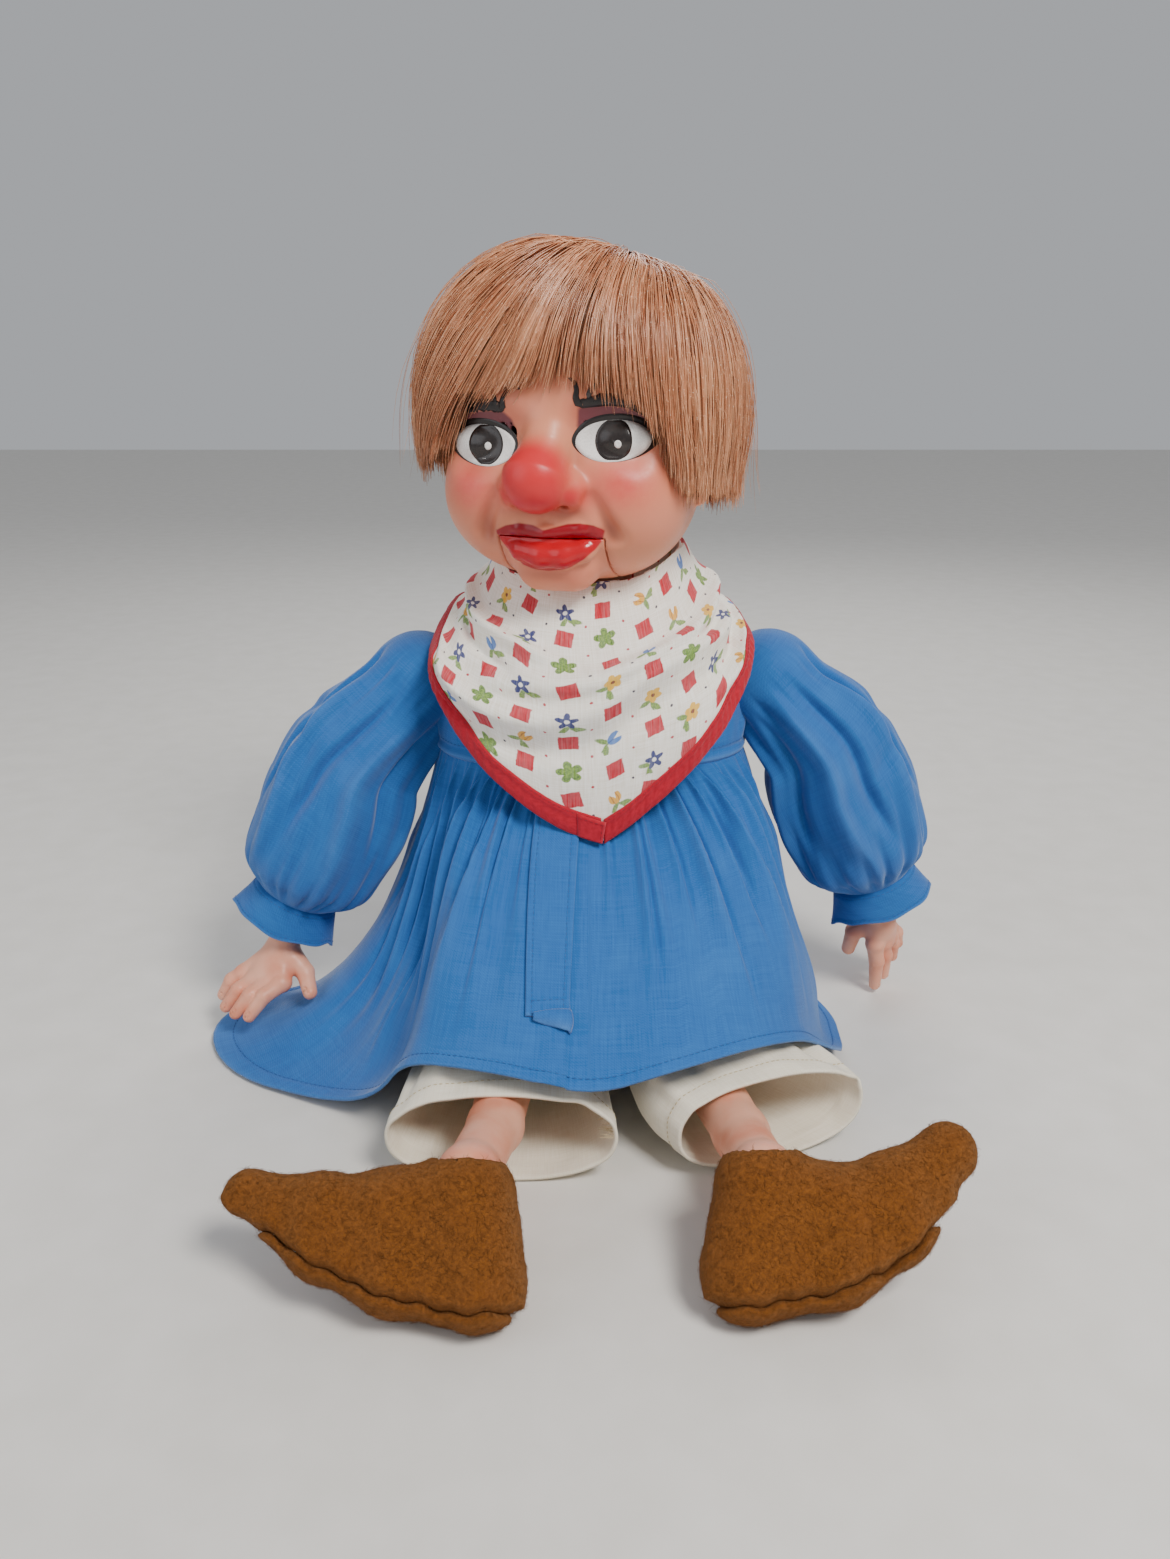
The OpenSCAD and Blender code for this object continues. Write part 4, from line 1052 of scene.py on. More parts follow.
def paint_patch(name, P2, mat, lift, shape, attrs=None):
    """Closed thin sheet of paint from a grid P2 (m, n, 2) in the face's x, z plane."""
    m, n = P2.shape[:2]
    P, N = on_face(P2[..., 0], P2[..., 1])
    A, B = P + N * lift, P - N * 0.5
    o = m * n
    closed = shape == "disc"
    Fq = quads(m, n, closed)
    fs = [Fq, Fq[:, ::-1] + o]
    if closed:
        k = np.arange(n)
        k2 = (k + 1) % n
        a = (m - 1) * n
        fs.append(np.stack([a + k, o + a + k, o + a + k2, a + k2], 1))
        fs.append(np.stack([k, k2, o + k2, o + k], 1))
        cap_i = np.arange(1, n - 1)
        fs.append(np.stack([np.zeros_like(cap_i), cap_i, cap_i + 1], 1))
        fs.append(np.stack([np.zeros_like(cap_i) + o, cap_i + 1 + o, cap_i + o], 1))
    else:
        i = np.arange(m - 1)
        fs.append(np.stack([i * n, o + i * n, o + (i + 1) * n, (i + 1) * n], 1))
        e = n - 1
        fs.append(np.stack([(i + 1) * n + e, o + (i + 1) * n + e, o + i * n + e, i * n + e], 1))
        k = np.arange(n - 1)
        fs.append(np.stack([k + 1, o + k + 1, o + k, k], 1))
        a = (m - 1) * n
        fs.append(np.stack([a + k, o + a + k, o + a + k + 1, a + k + 1], 1))
    at = {"rest": np.concatenate([P, P])}
    for k_, v_ in (attrs or {}).items():
        at[k_] = np.concatenate([v_.ravel()] * 2)
    return make(name, hw(np.concatenate([A, B])), fs, mat, "head", at)


def eye_outline(cx, cz, hwid, up, dn, n, inner, tilt=0.0):
    """Almond outline: polar samples round the eye; inner (-1 if the inner corner is at the left) is not used."""
    t = np.arange(n) / n * 2 * PI
    c, s = np.cos(t), np.sin(t)
    x = hwid * np.sign(c) * np.abs(c) ** 0.93
    z = np.where(s > 0, up, dn) * np.sign(s) * np.abs(s) ** 1.08
    return np.stack([cx + x, cz + z + tilt * x], 1)


def disc(outline, rings=7):
    c = outline.mean(0)
    k = np.linspace(0.02, 1, rings)[:, None, None]
    return c + (outline[None] - c) * k


def stroke(name, pts, mat, lift=0.16, jag=0.0, seed=0.0):
    """Tapered brush stroke through (x, z, half width)."""
    pts = V3(pts)
    n = 10 * len(pts)
    P = catmull(pts, np.linspace(0, len(pts) - 1, n))
    T = unit(np.gradient(P[:, :2], axis=0))
    S = np.stack([-T[:, 1], T[:, 0]], 1)
    w = np.maximum(P[:, 2], 0.08)
    e = np.sin(np.linspace(0, 1, n) * PI)
    w = w * np.minimum(1, np.minimum(np.arange(n) + 1.2, np.arange(n)[::-1] + 1.2) / 4.0)
    if jag:
        w1 = w * (1 + jag * vnoise(np.stack([np.arange(n) * 0.9, np.zeros(n), np.zeros(n)], 1), seed))
    else:
        w1 = w
    k = np.linspace(-1, 1, 5)
    G = P[:, None, :2] + S[:, None] * np.where(k > 0, w1[:, None], w[:, None])[..., None] * k[None, :, None]
    return paint_patch(name, G, mat, lift, "strip")


EYES = {"right": (27.4, 90.2, 15.6, 8.4, 8.7, -1, 0.03), "left": (-30.6, 87.4, 15.8, 8.5, 8.9, 1, -0.035)}
for side, (cx, cz, w, up, dn, inn, tl) in EYES.items():
    out = eye_outline(cx, cz, w, up, dn, 72, inn, tl)
    lidp = eye_outline(cx + (0.7 if side == "right" else -0.7), cz + 0.9, w + 1.9, up + 1.7, dn + 0.9, 72, inn, tl)
    if side == "right":
        lidp[:, 0] += 2.4 * np.exp(-((np.arange(72) + 0.0) / 4.0) ** 2) + 2.4 * np.exp(-((np.arange(72) - 72.0) / 4.0) ** 2)
    else:
        lidp[:, 0] -= 1.6 * np.exp(-((np.arange(72) - 36.0) / 5.0) ** 2)
    paint_patch(side + "_eye_line", disc(lidp, 9), M["black"], 0.10, "disc")
    paint_patch(side + "_eye_white", disc(out, 8), M["white"], 0.20, "disc")
    ic = (27.9, 90.2) if side == "right" else (-29.4, 87.4)
    t = np.arange(48) / 48 * 2 * PI
    iw, iu, idn = (7.9, 8.9, 8.4) if side == "right" else (8.1, 9.0, 8.6)
    ir = np.stack([ic[0] + iw * np.cos(t), ic[1] + np.where(np.sin(t) > 0, iu, idn) * np.sin(t)], 1)
    # keep the iris inside the lids
    ir[:, 1] = np.clip(ir[:, 1], ic[1] - dn + 0.7, ic[1] + up - 0.1)
    D = disc(ir, 8)
    # painted reflection: lighter grey patches on the glossy iris, strongest on the right eye
    iris_painted_reflection = (0.55 if side == "right" else 0.12) * np.exp(-((D[..., 0] - ic[0] + 0.6) / 3.6) ** 2 - ((D[..., 1] - ic[1] - 5.2) / 2.2) ** 2)
    iris_painted_reflection += 0.18 * np.exp(-((D[..., 0] - ic[0] - 4.0) / 1.8) ** 2 - ((D[..., 1] - ic[1] + 2.0) / 2.5) ** 2)
    paint_patch(side + "_iris", D, M["iris"], 0.28, "disc", {"iris_painted_reflection": iris_painted_reflection})
    dc = (ic[0] + 2.1, ic[1] - 1.3) if side == "right" else (ic[0] + 1.0, ic[1] - 0.4)
    dt = np.stack([dc[0] + 1.5 * np.cos(t[::3]), dc[1] + 1.65 * np.sin(t[::3])], 1)
    paint_patch(side + "_eye_glint", disc(dt, 4), M["white"], 0.36, "disc")

stroke("right_brow", [(13.4, 104.6, 1.5), (19.5, 106.1, 2.3), (27.2, 106.9, 2.6), (34.6, 105.8, 2.8), (40.3, 102.9, 2.8), (44.8, 99.2, 2.4), (48.6, 94.2, 1.0)], M["black"], 0.2, 0.25, 1)
stroke("right_brow_curl", [(14.2, 104.2, 1.6), (12.9, 107.6, 1.35), (13.0, 110.7, 1.0), (11.8, 113.7, 0.8), (9.1, 115.6, 0.35)], M["black"], 0.24)
stroke("right_lash_1", [(17.6, 107.7, 1.0), (19.6, 111.5, 1.25), (23.6, 115.2, 0.4)], M["grey"], 0.22)
stroke("right_lash_2", [(31.0, 107.6, 0.8), (28.4, 112.4, 0.6), (26.0, 116.8, 0.2)], M["black"], 0.22)
stroke("right_lash_3", [(30.1, 108.0, 0.8), (32.7, 112.0, 0.8), (35.4, 113.7, 0.4)], M["grey"], 0.24)
stroke("right_lash_4", [(39.8, 104.4, 0.6), (39.8, 108.3, 0.5), (38.7, 111.2, 0.2)], M["black"], 0.22)
stroke("right_lash_5", [(43.1, 101.8, 0.5), (43.6, 105.9, 0.45), (42.6, 108.2, 0.2)], M["black"], 0.22)
stroke("right_lash_6", [(24.8, 108.4, 0.6), (24.6, 111.5, 0.5), (22.4, 114.0, 0.2)], M["grey"], 0.26)
stroke("left_brow", [(-19.4, 102.6, 1.9), (-24.0, 103.8, 2.4), (-30, 104.1, 2.5), (-36.4, 103.4, 2.5), (-42, 101.0, 2.4), (-46.6, 96.8, 2.0), (-49.8, 91.0, 0.9)], M["black"], 0.2, 0.25, 5)
stroke("left_brow_curl", [(-20.4, 102.4, 1.9), (-19.9, 106.6, 1.1), (-17.6, 110.2, 0.85), (-14.7, 111.7, 0.8), (-11.4, 110.6, 0.3)], M["black"], 0.24)
stroke("left_lash_1", [(-23.4, 105.4, 1.0), (-25.5, 110.2, 0.8), (-27.5, 114.0, 0.25)], M["black"], 0.22)
stroke("left_lash_2", [(-36.1, 105.6, 0.7), (-38.4, 110.2, 0.6), (-40.4, 111.9, 0.25)], M["black"], 0.22)
stroke("left_lash_3", [(-30.4, 106.2, 0.6), (-31.6, 110.0, 0.5), (-31.2, 112.6, 0.2)], M["grey"], 0.22)


# ------------------------------------------------------------------ hands
HANDS = {
    "left": dict(wrist=[-160, -4, 67], palm=[-166, -8, 46],
                 kn=[[-164, -22, 32], [-172, -21, 31], [-180, -17, 31], [-187, -11, 32]],
                 tip=[[-180, -34, 18.5], [-188, -31, 18.5], [-195, -24, 18.5], [-199, -14, 20]],
                 th=[[-153, -16, 35], [-149, -25, 28]]),
    "right": dict(wrist=[156, 18, 67], palm=[162, 21, 48],
                  kn=[[160, 18, 34], [166, 24, 32], [171, 30, 32], [173, 37, 34]],
                  tip=[[164, 24, 4.4], [170, 30, 8], [176, 37, 16], [180, 42, 22]],
                  th=[[150, 26, 38], [149, 32, 24]]),
}


def hand_f(h):
    w, pa, kn, tp, th = (V3(h[k]) for k in ("wrist", "palm", "kn", "tip", "th"))
    side = unit(kn[3] - kn[0])
    down = unit(pa - w)
    back = unit(np.cross(side, down))
    if back[1] > 0:
        back = -back

    def f(p):
        d = cap(p, w, pa, 8.6, 8.2)
        for k in range(4):
            d = smin(d, cap(p, pa + (kn[k] - pa) * 0.15, kn[k], 6.2, 4.7), 3.0)
        d = smin(d, cap(p, pa + down * 4, (kn[0] + kn[3]) / 2, 8.0, 6.5), 4)
        fing = None
        for k in range(4):
            mid = (kn[k] + tp[k]) / 2 + V3([0, 0, 2.4]) + back * 1.0
            tipk = mid + (tp[k] - mid) * 0.97
            g = smin(cap(p, kn[k], mid, 4.7, 4.2), cap(p, mid, tipk, 4.2, 3.3), 0.8)
            g = smin(g, ball(p, kn[k] + back * 1.5, 4.2), 1.5)
            g = smin(g, ball(p, mid + back * 0.7, 3.9), 1.0)
            # nail
            nd = unit(tp[k] - mid)
            up = unit(back - nd * (back @ nd))
            q = p - (tipk + nd * 0.4 + up * 3.2)
            e = np.sqrt((q @ nd / 2.6) ** 2 + (q @ np.cross(nd, up) / 2.1) ** 2 + (q @ up / 0.75) ** 2)
            g = np.maximum(g, -((np.abs(e - 1.0) - 0.14) * 0.75))
            # creases at the joint
            c = np.abs((p - mid) @ nd)
            cr = 0.28 * np.exp(-(c / 0.45) ** 2) + 0.2 * np.exp(-((c - 1.5) / 0.4) ** 2)
            g = g + cr * (((p - mid) @ up) > 0)
            fing = g if fing is None else smin(fing, g, 0.7)
        d = smin(d, fing, 1.6)
        t = smin(cap(p, pa, th[0], 7.4, 4.9), cap(p, th[0], th[1], 4.8, 3.8), 1.2)
        td = unit(th[1] - th[0])
        up = unit(back - td * (back @ td))
        q = p - (th[1] + td * 0.6 + up * 3.5)
        e = np.sqrt((q @ td / 2.8) ** 2 + (q @ np.cross(td, up) / 2.4) ** 2 + (q @ up / 0.8) ** 2)
        t = np.maximum(t, -((np.abs(e - 1.0) - 0.14) * 0.8))
        return smin(d, t, 2.6)
    return f


for s in ("left", "right"):
    h = HANDS[s]
    P = np.array([h["wrist"], h["palm"]] + h["kn"] + h["tip"] + h["th"], float)
    V, F = nets(hand_f(h), P.min(0) - 13, P.max(0) + 13, 0.62)
    V[:, 2] = np.maximum(V[:, 2], 0.4)
    o = make(s + "_hand_vinyl", V, [F], M["vinyl"], s + "_arm", {"rest": V})
    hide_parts(s + "_hand")

# ------------------------------------------------------------------ legs and slippers
HIP = [V3([-38, -14, 32]), V3([38, -14, 32])]
SHOE = [V3([-25, -234.6, 3.9]), V3([42, -230.5, 3.9])]
UP = unit([0, 0.74, 0.67])
OUTW = unit([0, -0.67, 0.74])


def sole_pt(i, s, u, w=0.0):
    return SHOE[i] + V3([(-1 if i == 0 else 1) * s, 0, 0]) + u * UP + w * OUTW


FOOT = [[[19, 20.5, 18.5], [24, 50, 18.5], [50, 24, 16.5], [52, 44, 16.5], [78, 33, 13.5], [80, 45, 13.5], [109, 51, 9]],
        [[18, 20.5, 18.5], [25, 51, 18.5], [50, 24, 16.5], [51, 43, 16], [75, 37, 14.5], [77, 50, 14], [100, 65, 11]]]
ANK = [sole_pt(0, 24, 58), sole_pt(1, 26, 56)]
LEG = [[HIP[0], V3([-40, -60, 30]), V3([-40, -95, 27.5]), V3([-42, -145, 31.5]), ANK[0]],
       [HIP[1], V3([48, -60, 30]), V3([57, -95, 25.5]), V3([65, -145, 27.5]), ANK[1]]]


def shin_f(i):
    F_, L = FOOT[i], LEG[i]

    def f(p):
        d = cap(p, L[2] + V3([0, -14, 0]), L[3], 12.8, 11.6)
        d = smin(d, cap(p, L[3], L[4], 11.6, 11.2), 5)
        d = smin(d, cap(p, L[4], sole_pt(i, F_[0][0], F_[0][1]), 11.2, 12.2), 5)
        d = smin(d, cap(p, L[4], sole_pt(i, F_[2][0], F_[2][1] + 3), 10.8, 10.6), 5)
        return smin(d, cap(p, sole_pt(i, F_[2][0], F_[2][1] + 3), sole_pt(i, F_[4][0], F_[4][1] + 3), 10.6, 8.2), 4)
    return f


def shoe_local(i, p):
    q = p - SHOE[i]
    s = q[:, 0] * (-1 if i == 0 else 1)
    return s, q @ UP, q @ OUTW


def shoe_f(i):
    F_ = FOOT[i]
    C = [sole_pt(i, a[0], a[1]) for a in F_]
    R = [a[2] for a in F_]

    def f(p):
        d = None
        mids = [((C[0] + C[1]) / 2, (R[0] + R[1]) / 2), ((C[2] + C[3]) / 2, (R[2] + R[3]) / 2), ((C[4] + C[5]) / 2, (R[4] + R[5]) / 2)]
        for a, b in ((0, 1), (1, 3), (0, 2), (2, 3), (2, 4), (3, 5), (4, 5), (4, 6), (5, 6)):
            g = cap(p, C[a], C[b], R[a] - 0.6, R[b] - 0.6)
            d = g if d is None else smin(d, g, 5)
        for (a, ra), (b, rb) in ((mids[0], mids[1]), (mids[1], mids[2])):
            d = smin(d, cap(p, a, b, ra, rb), 4)
        s, u, w = shoe_local(i, p)
        # welt seam: a tucked line with a soft lip each side, wandering a little
        c = 40.0 if i == 0 else 52.0
        line = np.interp(s, [-20, 34, 66, 92 if i == 0 else 84, 135], [6, 9, 18, 32, c + 14])
        line = line + 0.9 * np.sin(s * 0.21 + i) + 0.5 * np.sin(s * 0.53)
        g = u - line
        lip_s = sstep(np.abs(w) - (R[0] - 15), -14, 2) * 0.4 + 0.6
        d = d + lip_s * (1.9 * np.exp(-(g / 1.3) ** 2) - 0.9 * np.exp(-((g - 3.2) / 2.4) ** 2) - 0.9 * np.exp(-((g + 3.4) / 2.4) ** 2))
        # wrinkles that pull from the seam, and the soft unevenness of felt
        wr = np.exp(-((g - 5) / 6.0) ** 2) * np.sin(s * 0.34 + u * 0.12 + 1.3 * i)
        d = d - 0.65 * wr
        fold = np.abs((u - 30) - (s - 40) * (0.55 if i == 0 else 0.2) + 2 * np.sin(w * 0.14))
        d = d + 1.0 * np.exp(-(fold / 2.6) ** 2) * sstep(s, 26, 42) * sstep(s, 84, 62) * sstep(w, -4, 9)
        d = d - 0.8 * fbm(p * 0.055, 2, 3.0 + i) - 0.22 * fbm(p * 0.3, 2, 9.0 + i)
        return d
    return f


def collar_f(i):
    a, b, c = sole_pt(i, FOOT[i][1][0], 63), LEG[i][3], ANK[i]

    def f(p):
        return smin(smin(cap(p, a, b, 13.4, 13.4), cap(p, c, b, 12.9, 13.4), 1), cap(p, a, sole_pt(i, FOOT[i][1][0] - 1, 92), 13.6, 13.9), 2)
    return f


def tufts(name, V, F, n, mat, body, length=(1.6, 3.4), r=0.07, seed=1, keep=None):
    """Loose fibres standing off a felt surface: thin bent ribbons."""
    g = np.random.default_rng(seed)
    A, B, C = V[F[:, 0]], V[F[:, 1]], V[F[:, 2]]
    nr = np.cross(B - A, C - A)
    ar = np.linalg.norm(nr, axis=1)
    k = g.choice(len(F), n, p=ar / ar.sum())
    w = g.random((n, 2))
    P = A[k] + (B - A)[k] * w[:, :1] + (C - A)[k] * w[:, 1:] * (1 - w[:, :1])
    N = unit(nr[k])
    if keep is not None:
        ok = keep(P, N)
        P, N = P[ok], N[ok]
        n = len(P)
    T = unit(np.cross(N, g.normal(size=(n, 3))))
    S = np.cross(N, T)
    L = g.uniform(*length, size=(n, 1))
    lift = g.uniform(0.15, 0.6, size=(n, 1))
    curl = g.normal(size=(n, 1)) * 0.35
    m = 4
    pts = []
    for j in range(m):
        t = j / (m - 1)
        pts.append(P + T * L * t + S * L * curl * t * t + N * L * (lift * t - 0.55 * lift * t * t) - N * 0.1 * (j == 0))
    X = np.stack(pts, 1)
    wd = (r * np.array([1, 1, 0.8, 0.25]))[None, :, None]
    left, right = X - S[:, None] * wd, X + S[:, None] * wd
    up = X + N[:, None] * wd
    VV = np.stack([left, right, up], 2).reshape(-1, 3)
    f = quads(m, 3, True)
    FF = (f[None] + (np.arange(n) * m * 3)[:, None, None]).reshape(-1, 4)
    return make(name, VV, [FF], mat, body, {"rest": VV})


for i, s in enumerate(("left", "right")):
    V, F = nets(shin_f(i), LEG[i][4] - V3([60 if i == 0 else 45, 20, 50]), LEG[i][2] + V3([45 if i else 20, 8, 30]), 1.3)
    o = make(s + "_shin_vinyl", V, [F], M["leg"], s + "_leg", {"rest": V})
    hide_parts(s + "_shin")
    fo, fc = shoe_f(i), collar_f(i)

    def welt(p, i=i):
        s_, u, w = shoe_local(i, p)
        c = 40.0 if i == 0 else 52.0
        line = np.interp(s_, [-20, 34, 66, 92 if i == 0 else 84, 135], [6, 9, 18, 32, c + 14])
        return u - line - 0.9 * np.sin(s_ * 0.21 + i) - 0.5 * np.sin(s_ * 0.53)
    up_f = lambda p: np.maximum(smax(np.maximum(fo(p), -(fo(p) + 3.5)), -fc(p), 0.8), 0.1 - welt(p))
    so_f = lambda p: np.maximum(np.maximum(fo(p), -(fo(p) + 3.5)), welt(p) + 0.1)
    lo = np.min([sole_pt(i, a[0], a[1]) - a[2] for a in FOOT[i]], 0) - 3
    hi = np.max([sole_pt(i, a[0], a[1]) + a[2] for a in FOOT[i]], 0) + 3
    V, F = nets(up_f, lo, hi, 1.25, 2.2)
    V[:, 2] = np.maximum(V[:, 2], 0.3)
    o = make(s + "_slipper_upper_felt", V, [F], M["felt"], s + "_leg", {"rest": V})
    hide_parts(s + "_slipper_upper")
    outer = lambda P, N, f=fo: f(P) > -0.8
    t = tufts(s + "_slipper_fuzz", V, F[:, :3], 9000, M["felt"], s + "_leg", seed=11 + i, keep=outer)
    V, F = nets(so_f, lo, hi, 1.25, 2.2)
    V[:, 2] = np.maximum(V[:, 2], 0.3)
    o = make(s + "_slipper_sole_felt", V, [F], M["felt"], s + "_leg", {"rest": V})
    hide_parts(s + "_slipper_sole")
    tufts(s + "_sole_fuzz", V, F[:, :3], 2600, M["felt"], s + "_leg", seed=21 + i, keep=outer)

# ------------------------------------------------------------------ stuffed body, thighs and arms
TZ = V3([3, 12, 30, 60, 110, 160, 186, 202.6])
TC = V3([25, 22, 19.4, 16, 14, 14, 16, 18])
TX = V3([41, 53, 61, 63.4, 60, 62, 62, 56])
TY = V3([19, 26.5, 32, 37, 40, 34, 30, 26])
SHO = [V3([-88, 14, 187]), V3([91, 14, 188])]


def torso_out(p, g=0.0):
    z = p[:, 2]
    X, Y, C = (np.interp(z, TZ, a) for a in (TX, TY, TC))
    k = ((np.abs(p[:, 0]) / (X - g)) ** 2.5 + (np.abs(p[:, 1] - C) / (Y - g)) ** 2.5) ** 0.4
    return np.maximum((k - 1) * (np.minimum(X, Y) - g), np.maximum(TZ[0] - z, z - TZ[-1]))


def leg_room(p, r0=28.8, r1=32.6):
    """Distance to the space a trouser leg sweeps at the hips, from sitting to hanging."""
    f = None
    for h, dx in zip(HIP, (-1.0, 5.0)):
        for q in (5, 22, 40, 58, 76):
            c = h + V3([dx, -28.1 * math.cos(math.radians(q)), -28.1 * math.sin(math.radians(q))])
            g = cap(p, h, c, r0, r1)
            f = g if f is None else np.minimum(f, g)
    return f


def torso_f(p):
    f = torso_out(p)
    f = smax(f, np.maximum(3 - p[:, 2], p[:, 2] - 202.4), 6)
    seam = np.exp(-((np.abs(p[:, 0]) - 60) / 1.6) ** 2)
    f = f + 0.8 * seam - 0.55 * fbm(p * 0.05, 2, 5.0)
    inner = np.maximum(torso_out(p, 6.5), np.maximum(70 - p[:, 2], p[:, 2] - 230))
    f = smax(f, -inner, 3)
    q = np.stack([p[:, 0], p[:, 1], p[:, 2]], 1)
    d = box3(q, [-32, 24, 77], [32, 90, 162]) - 6
    f = smax(f, -d, 3.5)
    f = f - 1.6 * np.exp(-((d - 2.2) / 1.6) ** 2) * (p[:, 1] > 30)
    for h in SHO:
        f = smax(f, -ball(p, h, 27.6), 2)
    return smax(f, -leg_room(p), 2)


V, F = nets(torso_f, [-68, -32, -1], [68, 60, 208], 1.9, 2.2)
o = make("torso_cloth", V, [F], M["muslin"], "body", {"rest": np.stack([V[:, 0] + V[:, 1] * 0.3, V[:, 2], V[:, 1] * 0], 1)})
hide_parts("torso")

ARM = [[SHO[0], V3([-121, 4, 151]), V3([-141, -4, 107]), V3([-160, -4, 70])],
       [SHO[1], V3([120, 10, 158]), V3([141, 14, 110]), V3([158, 18, 70])]]


def limb(name, pts, rad, mat, body, node, h=2.2):
    pts = [V3(a) for a in pts]

    def f(p):
        d = None
        for a, b, ra, rb in zip(pts[:-1], pts[1:], rad[:-1], rad[1:]):
            g = cap(p, a, b, ra, rb)
            d = g if d is None else smin(d, g, 3)
        return d - 0.6 * fbm(p * 0.06, 2, 2.0)
    P = np.array(pts)
    V, F = nets(f, P.min(0) - max(rad) - 4, P.max(0) + max(rad) + 4, h)
    o = make(name, V, [F], mat, body, {"rest": np.stack([V[:, 0] + V[:, 1], V[:, 2] - V[:, 1], V[:, 1] * 0], 1)})
    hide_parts(node)
    return o


for i, s in enumerate(("left", "right")):
    a = ARM[i]
    limb(s + "_arm_cloth", [a[0] + unit(a[0] - a[1]) * 5, a[0], a[1], a[2], a[2] + (a[3] - a[2]) * 0.62], [7, 13.5, 14, 12.5, 9.5], M["muslin"], s + "_arm", s + "_arm")
    L = LEG[i]
    limb(s + "_thigh_cloth", [HIP[i] + V3([0, 10, 0]), HIP[i], L[1], L[2] + V3([0, 12, 0])], [13, 18.5, 17.5, 14], M["muslin"], s + "_leg", s + "_thigh")


# ------------------------------------------------------------------ smock skirt
HEM = V3([[0, 0, -149, 50], [14, 34, -146, 60], [28, 72, -130, 62], [42, 98, -108, 52], [56, 120, -80, 30],
          [70, 131, -48, 8], [90, 134, -10, 3], [115, 118, 42, 3], [145, 68, 63, 3], [180, 0, 66, 3],
          [215, -68, 63, 3], [245, -134, 46, 3], [268, -196, 8, 3], [280, -207, -24, 3], [292, -184, -62, 3],
          [306, -128, -90, 4], [318, -102, -106, 20], [330, -84, -126, 52], [344, -44, -145, 60], [360, 0, -149, 50]])


def spow(a, p):
    return np.sign(a) * np.abs(a) ** p


def hem_at(a):
    """Hem outline at azimuth a, rounded a little between its listed points."""
    a = np.asarray(a, float) % 360
    out = 0
    for d, w in ((-5, 0.18), (-2.5, 0.2), (0, 0.24), (2.5, 0.2), (5, 0.18)):
        b = (a + d) % 360
        out = out + w * np.stack([np.interp(b, HEM[:, 0], HEM[:, k]) for k in (1, 2, 3)], -1)
    return out


def skirt_base(a, t):
    """Smooth outer face of the skirt at azimuth a (degrees) from the seam, t = 0, to the hem, t = 1."""
    r = np.radians(a)
    s, c = np.sin(r), np.cos(r)
    top = np.stack([78.5 * spow(s, 2 / 2.3), 10 - 47.5 * spow(c, 2 / 2.3), np.full_like(s, 157.6)], -1)
    h = hem_at(a)
    o = unit(np.stack([top[..., 0], top[..., 1] - 10, np.zeros_like(s)], -1))
    low = np.clip((h[..., 2] - 5) / 45, 0, 1)[..., None]
    far = np.linalg.norm(h[..., :2] - top[..., :2], axis=-1)[..., None]
    side = (np.maximum(0, np.where(s > 0, s, -0.6 * s)) ** 2 * np.maximum(0, 0.35 + c) * 1.1)[..., None]
    z0 = np.zeros_like(far)
    b = top + o * (12 + 16 * low + 30 * side) + np.concatenate([z0, z0, -38 - 26 * (1 - low)], -1)
    cc = (1 - low) * (top + (h - top) * 0.34) + low * (h + (top - h) * 0.30)
    cz = low[..., 0] * (h[..., 2] + 22) + (1 - low[..., 0]) * (6 + 0.03 * far[..., 0])
    cc = np.concatenate([cc[..., :2], cz[..., None]], -1)
    t = np.asarray(t, float)[..., None]
    return (1 - t) ** 3 * top + 3 * t * (1 - t) ** 2 * b + 3 * t * t * (1 - t) * cc + t ** 3 * h


def adiff(a, b):
    return (a - b + 180) % 360 - 180


SK_N, SK_M = ((760, 150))
A = np.linspace(0, 360, SK_N, endpoint=False)
Tt = np.linspace(0, 1, SK_M)
AA, TT = np.meshgrid(A, Tt)
base = skirt_base(AA, TT)
Nb = grid_normals(base, True)
if (Nb[10, 0] @ V3([0, -1, 0])) < 0:
    Nb = -Nb
h = np.zeros_like(AA)
g = np.random.default_rng(5)
# gathers sewn in at the seam: many fine tucks, of which some run on as long soft folds
pos = np.sort((np.arange(74) + g.uniform(-0.38, 0.38, 74)) * 360 / 74)
for k, p0 in enumerate(pos):
    depth = g.uniform(0.8, 2.1)
    run = g.uniform(0.14, 0.34) if g.random() < 0.6 else g.uniform(0.4, 0.8)
    if abs(adiff(p0, 353)) < 7.5:
        depth *= 0.15
    w0 = g.uniform(0.9, 1.5)
    drift = g.normal() * 2.0
    d = adiff(AA, p0 + drift * TT)
    w = w0 * (1 + 2.2 * TT)
    fall = sstep(TT, run, 0.0) * (0.25 + 0.75 * sstep(TT, 0.0, 0.05))
    h -= depth * (1 + 1.2 * sstep(TT, 0.02, 0.2)) * fall * np.exp(-(d / w) ** 2)
